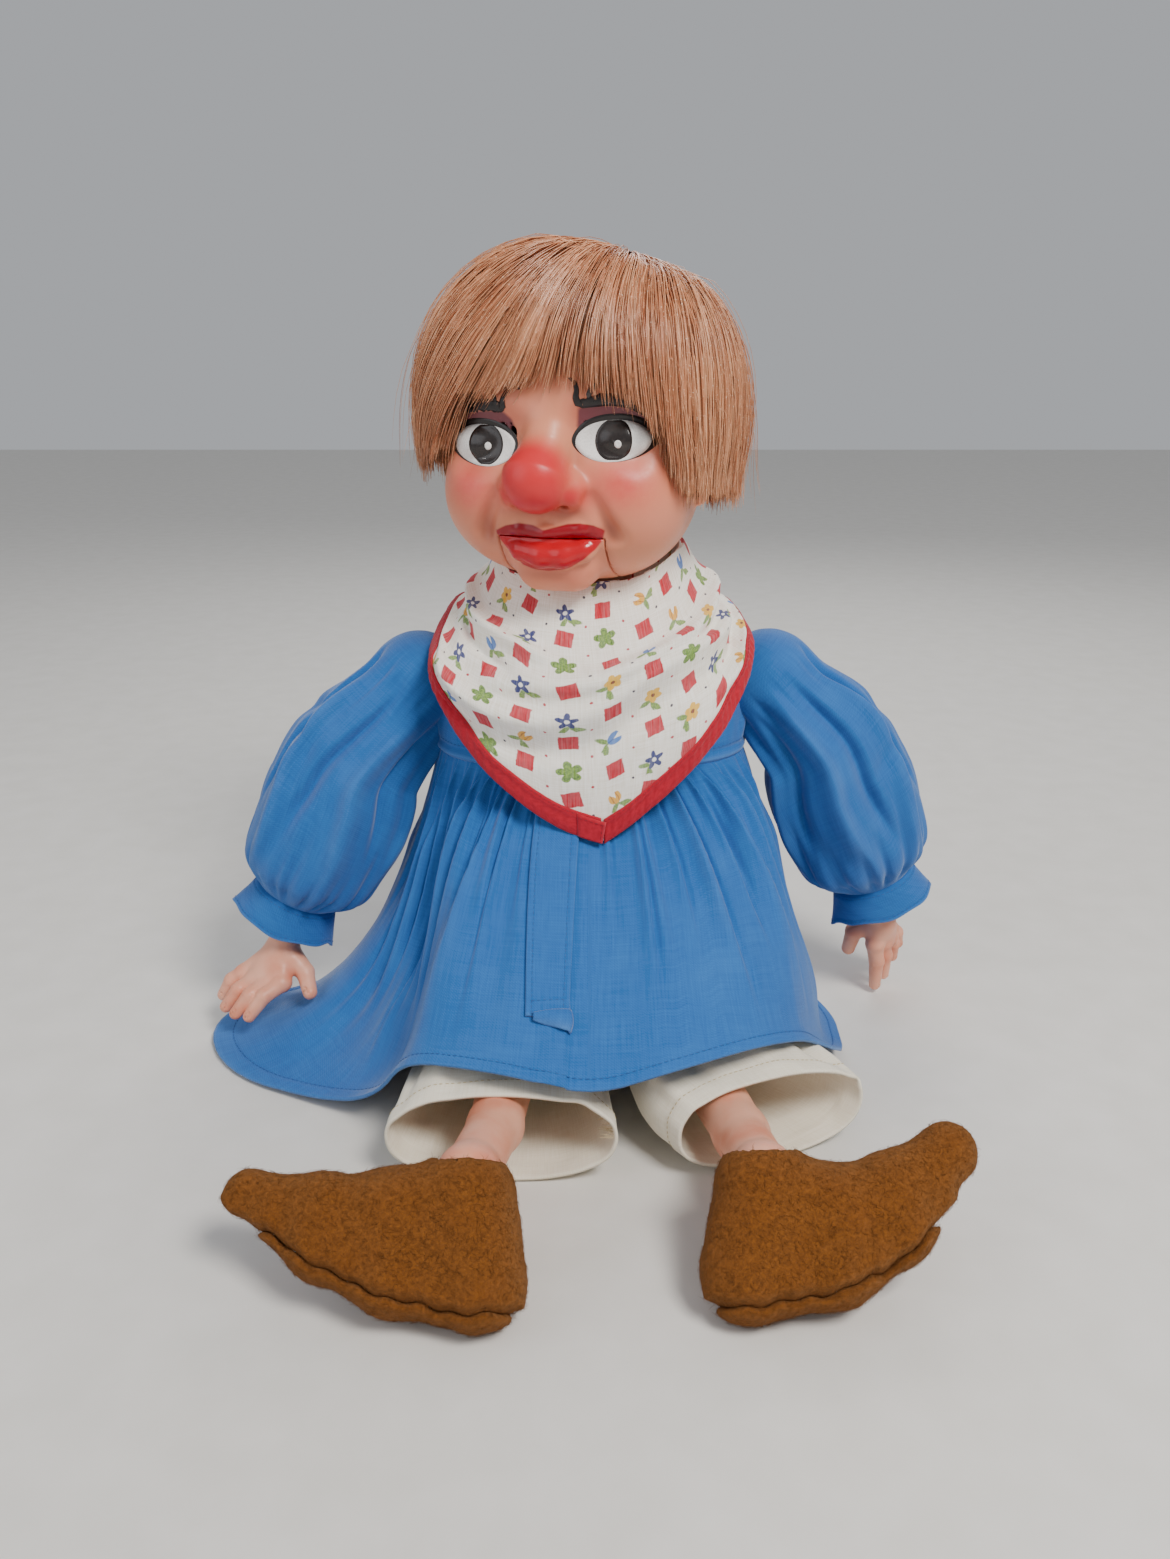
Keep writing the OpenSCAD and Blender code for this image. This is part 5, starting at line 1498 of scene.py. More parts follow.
# long folds: azimuth, drift toward the hem, width in degrees, height, where it starts and ends
for p0, dr, w, ht, t0, t1 in ((10, 8, 2.6, 3.4, 0.03, 0.75), (22, 8, 2.4, 4.0, 0.02, 0.7), (33, 11, 3.0, -3.6, 0.05, 0.6), (45, 10, 3.4, 3.6, 0.0, 0.5),
                              (62, 6, 4.0, -4.0, 0.1, 0.7), (80, 2, 5.0, 4.0, 0.1, 0.9), (100, 0, 5, -4.0, 0.2, 1.0), (122, 4, 6, 4, 0.2, 1.0),
                              (140, 2, 4.5, -3.6, 0.1, 1.0), (160, 0, 5, 3.6, 0.1, 1.0), (176, 0, 4, -3.4, 0.1, 1.0), (196, 0, 5, 3.6, 0.1, 1.0),
                              (214, -2, 4.5, -3.6, 0.1, 1.0), (232, -6, 5, 4.0, 0.1, 1.0), (250, -8, 4.5, -4.0, 0.1, 0.9), (268, -8, 4.0, 3.4, 0.15, 0.8),
                              (286, -4, 3.2, -3.0, 0.1, 0.55), (300, -2, 3.0, 5.5, 0.1, 0.85), (310, 2, 2.6, -4.6, 0.08, 0.8), (320, 1, 2.8, 4.2, 0.03, 0.85),
                              (329, -1, 2.0, -3.6, 0.02, 0.6), (337, 1, 2.0, 2.8, 0.03, 0.6)):
    d = adiff(AA, p0 + dr * TT)
    drs = dr if dr else 1
    x = d / (w * (0.6 + 0.8 * TT))
    x = np.where(x * np.sign(drs) > 0, x / 0.5, x)
    h += 1.25 * ht * np.exp(-x ** 2) * sstep(TT, t0, t0 + 0.16) * sstep(TT, t1, t1 - 0.35)
# crisp pleats fanning from under the neckerchief: azimuth, drift, width, depth, end
for p0, dr, w, ht, t1 in ((340.5, -3, 1.25, 2.3, 0.95), (334.5, -5, 1.3, 2.6, 0.8), (328, -7, 1.5, 3.0, 0.95), (321.5, -6, 1.5, 2.6, 0.75), (314, -6, 1.7, 3.2, 0.95), (306, -5, 1.8, 3.0, 0.8),
                          (296, -5, 2.2, 3.0, 0.9), (345.5, -1, 0.8, 1.7, 0.55), (2.5, 2, 1.0, 2.0, 0.6), (8.5, 5, 1.3, 2.7, 0.95), (15.5, 8, 1.3, 2.5, 0.7), (22, 10, 1.5, 3.1, 0.95), (29, 12, 1.5, 2.7, 0.7),
                          (36.5, 13, 1.7, 3.2, 0.9), (45, 12, 1.9, 3.0, 0.8), (55, 10, 2.2, 3.2, 0.95), (68, 6, 2.6, 3.0, 0.8)):
    d = adiff(AA, p0 + dr * TT ** 0.8)
    x = d / (w * (0.75 + 1.1 * TT))
    x = np.where(x * (1 if p0 < 180 else -1) > 0, x / 0.42, x)
    h += 1.35 * ht * (np.exp(-x ** 2) - 0.6 * np.exp(-((x * 0.8 - 1.15 * (1 if p0 < 180 else -1)) / 0.8) ** 2)) * sstep(TT, -0.02, 0.10) * sstep(TT, t1, t1 * 0.35)
h += 8.0 * np.exp(-(adiff(AA, 66) / 24) ** 2 - ((TT - 0.66) / 0.20) ** 2) - 3.0 * np.exp(-(adiff(AA, 58) / 12) ** 2 - ((TT - 0.93) / 0.07) ** 2)
h += 8.5 * np.exp(-(adiff(AA, 311 - 4 * TT) / 8.0) ** 2 - ((TT - 0.70) / 0.22) ** 2) - 5.5 * np.exp(-(adiff(AA, 297) / 6.5) ** 2 - ((TT - 0.66) / 0.2) ** 2)
h += 3.4 * np.exp(-(adiff(AA, 334 - 4 * TT) / 5.0) ** 2 - ((TT - 0.60) / 0.30) ** 2) - 3.0 * np.exp(-(adiff(AA, 342.5) / 2.6) ** 2 - ((TT - 0.45) / 0.35) ** 2)
h += 0.55 * fbm(base * 0.03, 2, 4.0) * sstep(TT, 0.05, 0.3) + 0.12 * fbm(base * 0.13, 2, 8.0)
# held flat under the placket, a pleat carries its edge on down to the hem
pl = sstep(np.abs(adiff(AA, 352.2)), 7.5, 5.0) * sstep(TT, 0.86, 0.78)
h = h * (1 - 0.9 * pl)
d = adiff(AA, 356.0)
h += 2.2 * sstep(d, 0.25, -0.35) * sstep(d, -6.0, -2.0) * sstep(TT, 0.70, 0.8) * sstep(TT, 1.02, 0.97)
hemline = sstep(TT, 0.955, 0.965)
h += 0.35 * hemline - 0.25 * np.exp(-((TT - 0.957) / 0.004) ** 2)
S = base + Nb * h[..., None]
S[..., 2] = np.maximum(S[..., 2], 2.2 + 0.6 * fbm(base * 0.05, 1, 2.0))
# kept above the floor; the back, round azimuth 180 and above t = 0.62, is left open
wear = np.exp(-((TT - 0.998) / 0.004) ** 2) * 0.3 + 0.10 * sstep(np.abs(h), 2.0, 4.5)
mid = SK_M // 2
uv = arc_uv(S, True, along=mid)
uv[..., 0] = AA / 360 * np.linalg.norm(np.diff(S[mid], axis=0), axis=1).sum()
kskirt = np.ones((SK_M - 1, SK_N), bool)
am, tm = AA[:-1], TT[:-1]
kskirt[(np.abs(adiff(am, 180)) < 27) & (tm < 0.62)] = False
skirt = cloth("smock_skirt_linen", S, M["linen"], True, 0.85, uv, 1.0, "body", {"wear": wear}, kskirt,
              tmap=1 + 0.9 * hemline)
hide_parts("smock_skirt")
SKIRT_OUT = (grid_normals(S, True)[10, 0] @ V3([0, -1, 0])) > 0


AREAS = {}


def area_of(P, closed=False, keep=None):
    Q = np.concatenate([P, P[:, :1]], 1) if closed else P
    a, b = Q[1:, :-1] - Q[:-1, :-1], Q[:-1, 1:] - Q[:-1, :-1]
    c, d = Q[1:, :-1] - Q[1:, 1:], Q[:-1, 1:] - Q[1:, 1:]
    ar = (np.linalg.norm(np.cross(a, b), axis=2) + np.linalg.norm(np.cross(c, d), axis=2)) / 2
    return float(ar[keep].sum() if keep is not None else ar.sum()) * 1e-6


def on_skirt(a, t, lift=0.0):
    """Point and normal of the finished skirt at azimuth a and t."""
    a, t = np.atleast_1d(np.asarray(a, float)), np.atleast_1d(np.asarray(t, float))
    fi, fj = t * (SK_M - 1), (a % 360) / 360 * SK_N
    i0, j0 = np.clip(np.floor(fi).astype(int), 0, SK_M - 2), np.floor(fj).astype(int)
    u, v = (fi - i0)[:, None], (fj - j0)[:, None]
    g2 = lambda Z: ((Z[i0, j0 % SK_N] * (1 - v) + Z[i0, (j0 + 1) % SK_N] * v) * (1 - u)
                    + (Z[i0 + 1, j0 % SK_N] * (1 - v) + Z[i0 + 1, (j0 + 1) % SK_N] * v) * u)
    N = SKN
    return g2(S) + g2(N) * lift, unit(g2(N))


SKN = grid_normals(S, True)
aa = np.arange(0, 360, 0.12)
P, N = on_skirt(aa, np.full(len(aa), 0.9575), 0.15)
stitch_line("hem_stitches", P, N, M["t_blue"], "body", 2.9, 2.0, 0.24, closed=True)
sk_area = area_of(S, True, kskirt)

# placket: a folded strip sewn to the skirt's front, boxed off at its foot
PA0, PA1 = 348.6, 356.3


def placket_az(w, t):
    """Azimuth at strip coordinate w (0..1) so the strip keeps its width as the skirt widens."""
    return PA0 + (PA1 - PA0) * (0.5 + (w - 0.5) * (1.55 - 0.75 * t))


tt, ww = np.linspace(0.035, 0.79, 130), np.linspace(0, 1, 30)
WW, TP = np.meshgrid(ww, tt)
FOOTSLOPE = -0.035
TP = TP + FOOTSLOPE * WW * sstep(TP, 0.3, 0.79)
P, N = on_skirt(placket_az(WW, TP).ravel(), TP.ravel())
P, N = P.reshape(TP.shape + (3,)), N.reshape(TP.shape + (3,))
lift = 1.9 + 0.35 * np.exp(-((WW - 0.06) / 0.05) ** 2) + 0.35 * np.exp(-((WW - 0.94) / 0.05) ** 2) - 0.35 * np.exp(-((WW - 0.13) / 0.02) ** 2)
lift -= 0.35 * np.exp(-((WW - 0.87) / 0.02) ** 2) + 0.4 * np.exp(-((TP - FOOTSLOPE * WW - 0.745) / 0.004) ** 2)
lift += 0.25 * fbm(P * 0.12, 2, 1.0)
PP = P + N * lift[..., None]
wear_p = 0.25 * np.exp(-(np.minimum(WW, 1 - WW) / 0.02) ** 2) + 0.5 * np.exp(-((TP - FOOTSLOPE * WW - 0.79) / 0.005) ** 2)
uvp = arc_uv(PP)
uvp[..., 0] += 13.0
pk = cloth("placket_linen", PP, M["linen"], False, 1.5, uvp, 1.0 if SKIRT_OUT else -1.0, "body", {"wear": wear_p})
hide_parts("placket")
for nm, w in (("a", 0.13), ("b", 0.87)):
    k = int(round(w * 29))
    stitch_line("placket_stitches_" + nm, PP[:, k] + N[:, k] * 0.1, N[:, k], M["t_blue"], "body", 2.6, 1.8, 0.25)
for nm, t in (("foot", 0.745), ("end", 0.782)):
    k = int(np.argmin(np.abs(tt - t)))
    stitch_line("placket_stitches_" + nm, PP[k, 3:27] + N[k, 3:27] * 0.1, N[k, 3:27], M["t_blue"], "body", 2.4, 1.7, 0.25)
# a small torn fold hangs off the strip's foot
u0, v0 = np.meshgrid(np.linspace(0.18, 1.02, 24), np.linspace(0, 1, 12))
P, N = on_skirt(placket_az(u0, np.full_like(u0, 0.80)).ravel(), (0.782 + FOOTSLOPE * u0 + 0.055 * v0 * (0.25 + 1.0 * u0)).ravel())
P, N = P.reshape(u0.shape + (3,)), N.reshape(u0.shape + (3,))
Q = P + N * (3.2 + 1.1 * np.sin(v0 * PI) - 1.9 * v0 + 0.8 * np.sin(u0 * 9.0) * v0)[..., None]
o = cloth("placket_foot_fold", Q, M["linen"], False, 0.7, arc_uv(Q), 1.0 if SKIRT_OUT else -1.0, "body", {"wear": 0.8 * v0 ** 3})

# ------------------------------------------------------------------ smock yoke
YR = V3([[156.6, 10, 79.0, 48], [164, 10.4, 79.2, 47.6], [172, 11, 79, 47], [192, 13, 78, 42], [206, 15, 72, 37], [214, 17, 60, 34.5], [219, 18, 40, 34.5]])
YM, YN = ((110, 460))
R = catmull(YR, np.linspace(0, len(YR) - 1, YM))
a = np.linspace(0, 2 * PI, YN, endpoint=False)
s_, c_ = np.sin(a)[None], np.cos(a)[None]
Y = np.stack([R[:, 2:3] * spow(s_, 2 / 2.3), R[:, 1:2] - R[:, 3:4] * spow(c_, 2 / 2.3), np.repeat(R[:, :1], YN, 1)], -1)
NY = grid_normals(Y, True)
YS = 1.0 if NY[5, 0] @ V3([0, -1, 0]) > 0 else -1.0
NY = NY * YS
zz = Y[..., 2]
ad = np.degrees(np.arctan2(s_ + 0 * zz, c_ + 0 * zz)) % 360
hy = 0.6 * fbm(Y * 0.045, 3, 6.0)
for p0, z0, dz, w, ht in ((50, 178, 14, 5, 1.4), (62, 190, -16, 6, -1.5), (310, 178, 14, 5, 1.4), (298, 190, -18, 6, -1.5), (30, 168, 8, 4, 0.9), (334, 170, -6, 4, 0.9),
                          (75, 172, 9, 5, 1.6), (286, 174, 9, 5, 1.8)):
    d = adiff(ad, p0 + (zz - z0) * 0.5)
    hy += ht * np.exp(-(d / w) ** 2 - ((zz - z0) / dz) ** 2)
# the seam allowance pressed up makes a low ridge just over the seam
hy += 0.9 * np.exp(-((zz - 159.2) / 1.6) ** 2) - 0.5 * np.exp(-((zz - 162.6) / 1.1) ** 2) - 0.9 * sstep(zz, 158.2, 156.6)
Y2 = Y + NY * hy[..., None]
cY = (Y2[:-1] + Y2[1:]) / 2
d0 = np.minimum(cap(cY.reshape(-1, 3), SHO[0], ARM[0][1], 23.0, 26.5), cap(cY.reshape(-1, 3), SHO[1], ARM[1][1], 23.0, 26.5)).reshape(cY.shape[:2])
ky = d0 > 0
ky &= ~((np.abs(adiff(ad[:-1], 180)) < 30) & (cY[..., 2] < 198))
uvy = arc_uv(Y2, True)
yoke = cloth("smock_yoke_linen", Y2, M["linen"], True, 0.9, uvy, YS, "body",
             {"wear": 0.5 * np.exp(-((zz - 159.2) / 1.0) ** 2)}, ky)
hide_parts("smock_yoke")
k = int(np.argmin(np.abs(R[:, 0] - 164.2)))
stitch_line("yoke_stitches", Y2[k] + NY[k] * 0.1, NY[k], M["t_blue"], "body", 2.8, 1.9, 0.23, closed=True)

# ------------------------------------------------------------------ sleeves and cuffs


def frame_tube(P, ref):
    T = unit(np.gradient(P, axis=0))
    v = unit(ref - (T @ ref)[:, None] * T)
    u = np.cross(v, T)
    return T, u, v


SL_M, SL_N = ((190, 380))
for i, s in enumerate(("left", "right")):
    a0, a1, a2, a3 = ARM[i]
    d = unit(a1 - a0)
    pts = [a0 + d * 27 * q for q in (-0.94, -0.80, -0.55, -0.15)] + [a0 + d * 13.5, a1, (a1 + a2) / 2, a2, a2 + (a3 - a2) * 0.52, a2 + (a3 - a2) * 0.82, a2 + (a3 - a2) * 0.90]
    rr = [27 * math.sqrt(1 - q * q) for q in (0.94, 0.80, 0.55, 0.15)]
    ru = rr + [28.2, 33.5, 37.6, 37.5, 34.5, 21.6, 20.0]
    rv = rr + [27.8, 30.5, 31.5, 30.0, 27.5, 16.8, 15.0]
    t = np.linspace(0, len(pts) - 1, SL_M)
    P = catmull(np.array(pts), t)
    RU, RV = catmull(np.array(ru)[:, None], t)[:, 0], catmull(np.array(rv)[:, None], t)[:, 0]
    T, U_, V_ = frame_tube(P, V3([0, 1, 0]))
    th = np.linspace(0, 2 * PI, SL_N, endpoint=False)
    C, Sn = np.cos(th)[None, :, None], np.sin(th)[None, :, None]
    B = P[:, None] + U_[:, None] * C * RU[:, None, None] + V_[:, None] * Sn * RV[:, None, None]
    NB = grid_normals(B, True)
    sg = 1.0 if ((B[SL_M // 2, 0] - P[SL_M // 2]) @ NB[SL_M // 2, 0]) > 0 else -1.0
    NB = NB * sg
    # distance along the sleeve, 0 at the cap and 1 at the cuff
    L = np.r_[0, np.cumsum(np.linalg.norm(np.diff(P, axis=0), axis=1))]
    w = (L / L[-1])[:, None] + 0 * th[None]
    thd = np.degrees(th)[None] + 0 * w
    h = np.zeros_like(w)
    g = np.random.default_rng(31 + i)
    # pleats gathered into the cuff
    for k in range(22):
        p0 = (k + g.uniform(-0.3, 0.3)) * 360 / 22
        run = g.uniform(0.16, 0.46)
        dd = adiff(thd, p0 + g.normal() * 9 * (1 - w))
        h -= g.uniform(1.7, 3.4) * np.exp(-(dd / g.uniform(3.2, 5.4)) ** 2) * sstep(w, 0.97 - run, 0.95) * sstep(w, 0.985, 0.93)
    # gathers at the armhole
    for k in range(16):
        p0 = (k + g.uniform(-0.3, 0.3)) * 360 / 16
        dd = adiff(thd, p0 + g.normal() * 10 * w)
        h -= g.uniform(0.8, 1.9) * np.exp(-(dd / g.uniform(4, 6.5)) ** 2) * sstep(w, 0.5, 0.2) * sstep(w, 0.08, 0.2)
    # long folds down the sleeve: angle at cap, angle at cuff, width, height
    if i == 0:
        folds = ((250, 262, 11, 4.6, 0.12, 0.95), (285, 300, 8, -4.4, 0.12, 0.85), (225, 232, 8, -3.8, 0.15, 0.8), (195, 205, 10, 3.6, 0.1, 0.9), (320, 318, 9, 4.4, 0.2, 0.98),
                 (338, 345, 6, -3.8, 0.1, 0.75), (20, 15, 12, 2.4, 0.2, 0.9), (80, 90, 10, 3.0, 0.15, 0.9), (120, 110, 8, -3.0, 0.15, 0.9))
    else:
        folds = ((280, 268, 10, 4.6, 0.12, 0.95), (255, 240, 8, -4.4, 0.12, 0.85), (305, 312, 8, -3.8, 0.15, 0.8), (335, 330, 10, 3.8, 0.1, 0.9), (222, 218, 9, 4.0, 0.2, 0.98),
                 (200, 195, 6, -3.6, 0.1, 0.75), (160, 165, 12, 2.4, 0.2, 0.9), (95, 85, 10, 3.0, 0.15, 0.9), (60, 70, 8, -3.0, 0.15, 0.9))
    for p0, p1, wd, ht, w0, w1 in folds:
        dd = adiff(thd, p0 + (p1 - p0) * w + 5 * np.sin(w * 7 + p0))
        x = dd / wd
        x = np.where(x * np.sign(p1 - p0 + 0.1) > 0, x / 0.6, x)
        h += 1.3 * ht * np.exp(-x ** 2) * sstep(w, w0, w0 + 0.22) * sstep(w, w1, w1 - 0.25)
    # a crease across the elbow side
    inn = 180 if i == 1 else 0
    dd = np.abs(adiff(thd, inn + 300 * 0))
    h -= 2.2 * np.exp(-((w - 0.52 - 0.0018 * (dd - 60)) / 0.03) ** 2) * sstep(dd, 75, 35)
    h += 0.8 * fbm(B * 0.035, 2, 3.0 + i) + 0.14 * fbm(B * 0.15, 2, 5.0)
    h *= sstep(w, 0.06, 0.2)
    SLV = B + NB * h[..., None]
    uvs = arc_uv(SLV, True, along=SL_M * 2 // 3)
    uvs[..., 0] = thd / 360 * 215.0
    wear_s = 0.12 * sstep(h, 2.2, 4.5)
    o = cloth(s + "_sleeve_linen", SLV, M["linen"], True, 0.8, uvs, sg, None, {"wear": wear_s})
    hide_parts(s + "_sleeve")
    tuple((a0 + d * 2) * 0.001)
    tuple((a0 + d * 34) * 0.001)
    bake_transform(o)
    sl_area = area_of(SLV, True)
    # cuff: a flared band with its two ends meeting in points
    dc = unit(a3 - a2)
    c0 = a2 + (a3 - a2) * 0.80
    CM, CN = 30, 260
    tc = np.linspace(0, 1, CM)[:, None]
    thc = np.linspace(0, 2 * PI, CN, endpoint=False)[None]
    nip = 2.8 * np.exp(-(tc / 0.07) ** 2)
    ru, rv = 22.6 + 5.0 * tc ** 1.3 - nip, 17.6 + 2.6 * tc ** 1.3 - nip
    pt = 180 if i == 0 else 0
    corner = np.exp(-(adiff(np.degrees(thc), pt) / 13) ** 2) + 0.55 * np.exp(-(adiff(np.degrees(thc), pt + 180) / 20) ** 2)
    _, Uc, Vc = frame_tube(np.array([c0, c0 + dc * 10]), V3([0, 1, 0]))
    lenc = 18.0 + 2.6 * corner + 0.9 * np.sin(thc * 3 + i) + 0.6 * np.sin(thc * 7)
    K = (c0 + dc * 1.0)[None, None] + dc * (tc * lenc)[..., None] + Uc[0] * (np.cos(thc) * (ru + 2.4 * corner * tc))[..., None] + Vc[0] * (np.sin(thc) * rv)[..., None]
    NK = grid_normals(K, True)
    sk = 1.0 if ((K[5, 0] - c0) @ NK[5, 0]) > 0 else -1.0
    NK = NK * sk
    hk = 0.5 * fbm(K * 0.09, 2, 2.0 + i) * tc + 0.45 * np.exp(-((tc - 0.04) / 0.03) ** 2) - 0.35 * np.exp(-((tc - 0.87) / 0.02) ** 2) - 0.35 * np.exp(-((tc - 0.13) / 0.02) ** 2)
    hk = hk + 0.5 * np.sin(thc * 5 + 1.0) * tc ** 2
    K = K + NK * hk[..., None]
    uvk = arc_uv(K, True)
    o = cloth(s + "_cuff_linen", K, M["linen"], True, 1.5, uvk, sk, s + "_arm",
              {"wear": 0.8 * np.exp(-((tc - 1) / 0.03) ** 2) + 0 * thc})
    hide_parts(s + "_cuff")
    for nm, q in (("a", 26), ("b", 4)):
        stitch_line(s + "_cuff_stitches_" + nm, K[q] + NK[q] * 0.1, NK[q], M["t_blue"], s + "_arm", 2.6, 1.8, 0.22, closed=True)

# ------------------------------------------------------------------ trousers
TRO = [[[-39, -42, 29.5, 30, 27], [-40, -75, 28.5, 38, 27], [-39, -110, 27.5, 46, 26], [-39.5, -142, 23, 51, 22]],
       [[43, -42, 29.5, 30, 27], [49, -76, 28.5, 35, 27], [63, -106, 26.5, 43, 25], [82, -127, 22.5, 46, 22]]]
TM, TN = ((140, 320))


def ring_pts(c, t, ru, rv, th, e=2.3):
    v = unit(V3([0, 0, 1]) - t[2] * t)
    u = np.cross(v, t)
    return c + u * (ru * spow(np.cos(th), 2 / e))[:, None] + v * (rv * spow(np.sin(th), 2 / e))[:, None]


for i, s in enumerate(("left", "right")):
    h0 = HIP[i]
    th = np.linspace(0, 2 * PI, TN, endpoint=False)
    rings = []
    for q in (0.90, 0.70, 0.35, 0):
        r = 28 * math.sqrt(1 - q * q) - 0.6
        rings.append(ring_pts(h0 + V3([0, 28 * q, 0]), V3([0, -1, 0]), r, r, th, 2.0))
    for k in range(4):
        q = TRO[i][k]
        t = V3([0, -1, 0]) if k < 2 else unit([0 if i == 0 else 0.35, -1, 0])
        rings.append(ring_pts(V3(q[:3]), t, q[3], q[4], th))
    tt_ = np.linspace(0, len(rings) - 1, TM)
    B = catmull(np.array(rings), tt_)
    NB = grid_normals(B, True)
    sg = 1.0 if ((B[TM // 2, 0] - B[TM // 2].mean(0)) @ NB[TM // 2, 0]) > 0 else -1.0
    NB = NB * sg
    w = (tt_ / tt_[-1])[:, None] + 0 * th[None]
    td = np.degrees(th)[None] + 0 * w
    h = 0.9 * fbm(B * 0.04, 3, 12.0 + i)
    if i == 0:
        folds = ((60, 50, 9, 3.0, 0.5, 1.05), (78, 92, 7, -3.0, 0.45, 0.98), (112, 122, 9, 2.6, 0.5, 1.02), (140, 150, 8, -2.6, 0.5, 1.0), (30, 22, 8, -2.2, 0.5, 1.0), (95, 70, 5, 1.6, 0.62, 0.96))
    else:
        folds = ((62, 40, 8, -3.6, 0.5, 1.0), (48, 24, 8, 3.4, 0.5, 1.05), (88, 84, 9, 2.6, 0.45, 1.0), (112, 120, 7, -3.0, 0.5, 1.0), (135, 146, 9, 2.6, 0.5, 1.05), (75, 58, 5, 2.2, 0.6, 0.96))
    for p0, p1, wd, ht, w0, w1 in folds:
        dd = adiff(td, p0 + (p1 - p0) * w)
        h += 1.35 * ht * np.exp(-(dd / wd) ** 2) * sstep(w, w0, w0 + 0.2) * sstep(w, w1, w1 - 0.14)
    vs = np.r_[0, np.cumsum(np.linalg.norm(np.diff(B[:, TN // 4], axis=0), axis=1))]
    fe = (vs[-1] - vs)[:, None] + 0 * th[None]
    h += 0.45 * sstep(fe, 9.2, 8.6) - 0.4 * np.exp(-((fe - 9.0) / 0.5) ** 2) + 0.45 * np.sin(td * PI / 180 * 9 + i) * np.exp(-((fe - 7) / 5.0) ** 2)
    TRS = B + NB * h[..., None]
    TRS[..., 2] = np.maximum(TRS[..., 2], 0.5 + 0.2 * fbm(B * 0.08, 1, 1.0))
    uvt = arc_uv(TRS, True, along=TM * 3 // 4)
    uvt[..., 1] = vs[:, None]
    o = cloth(s + "_trouser_leg_cotton", TRS, M["cotton"], True, 0.8, uvt, sg, s + "_leg", {"wear": 0 * fe}, tmap=1 + 0.8 * sstep(fe, 9.2, 8.6))
    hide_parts(s + "_trouser_leg")
    k = int(np.argmin(np.abs(fe[:, 0] - 9.0)))
    NT = grid_normals(TRS, True) * sg
    stitch_line(s + "_trouser_stitches", TRS[k] + NT[k] * 0.15, NT[k], M["t_cream"], s + "_leg", 2.6, 1.7, 0.24, closed=True)
    # frayed thread ends at the inner seam, seen in the left leg's open hem
    e0 = TRS[:, 0 if i == 0 else TN // 2 + 4]
    if i == 0:
        g = np.random.default_rng(77)
        base_p = TRS[TM - 1 - np.arange(0, 26), 0] - NT[TM - 1 - np.arange(0, 26), 0] * 1.2
        A_ = base_p[g.integers(0, 26, 60)] + g.normal(size=(60, 3)) * 0.4
        B_ = A_ + V3([-1, 0, 0]) * g.uniform(2, 6, (60, 1)) + g.normal(size=(60, 3)) * 1.0
        pills(s + "_trouser_fray", A_, B_, np.tile([0.2, -0.5, 0.9], (60, 1)), 0.13, M["t_cream"], s + "_leg")

# seat of the trousers
q = V3([[0.4, 19, 40, 22], [1.0, 19, 50, 29.5], [4, 19.2, 56, 33], [10, 19.5, 60, 36], [30, 19, 67, 38.5], [58, 17, 69, 42.5], [68, 16, 66.6, 40.8]])
QM, QN = ((80, 300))
R = catmull(q, np.linspace(0, len(q) - 1, QM))
a = np.linspace(0, 2 * PI, QN, endpoint=False)
Z = np.stack([R[:, 2:3] * spow(np.cos(a)[None], 0.8), R[:, 1:2] + R[:, 3:4] * spow(np.sin(a)[None], 0.8), np.repeat(R[:, :1], QN, 1)], -1)
NZ = grid_normals(Z, True)
sz = 1.0 if NZ[30, 0, 0] > 0 else -1.0
NZ = NZ * sz
hz = 0.7 * fbm(Z * 0.05, 3, 20.0) - 0.7 * np.exp(-((Z[..., 0]) / 0.9) ** 2) + 0.6 * np.exp(-((Z[..., 2] - 64.5) / 2.0) ** 2) + 0.5 * np.sin(np.degrees(a)[None] * PI / 6) * sstep(Z[..., 2], 40, 62)
Z2 = Z + NZ * hz[..., None] * sstep(Z[..., 2], 0.5, 6)[..., None]
Z2[..., 2] = np.maximum(Z2[..., 2], 0.3)
cz = (Z2[:-1] + Z2[1:]) / 2
dz = leg_room(cz.reshape(-1, 3), 28.3, 32.0).reshape(cz.shape[:2])
uvz = arc_uv(Z2, True, along=QM // 2)
seat = cloth("trouser_seat_cotton", Z2, M["cotton"], True, 0.8, uvz, sz, "body", {"wear": 0 * hz}, dz > 0)
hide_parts("trouser_seat")
# underside panel of the seat
g1, g2 = np.meshgrid(np.linspace(0, 1, 24), np.linspace(0, 2 * PI, 72, endpoint=False), indexing="ij")
rad = 0.04 + 0.96 * g1
UB = np.stack([41.5 * rad * spow(np.cos(g2), 0.8), 19 + 23.5 * rad * spow(np.sin(g2), 0.8), 0.35 + 0.25 * (vnoise(np.stack([g1 * 9 * np.cos(g2), g1 * 9 * np.sin(g2), g1 * 0], -1)) + 1) * (1 - g1)], -1)
o = cloth("trouser_seat_base", UB, M["cotton"], True, 0.6, UB * V3([1, 1, 0]), -1.0 if (grid_normals(UB, True)[12, 0, 2] > 0) else 1.0, "body", {"wear": 0 * g1},
          leg_room(((UB[:-1] + UB[1:]) / 2).reshape(-1, 3), 28.3, 32.0).reshape(UB.shape[0] - 1, -1) > 0)

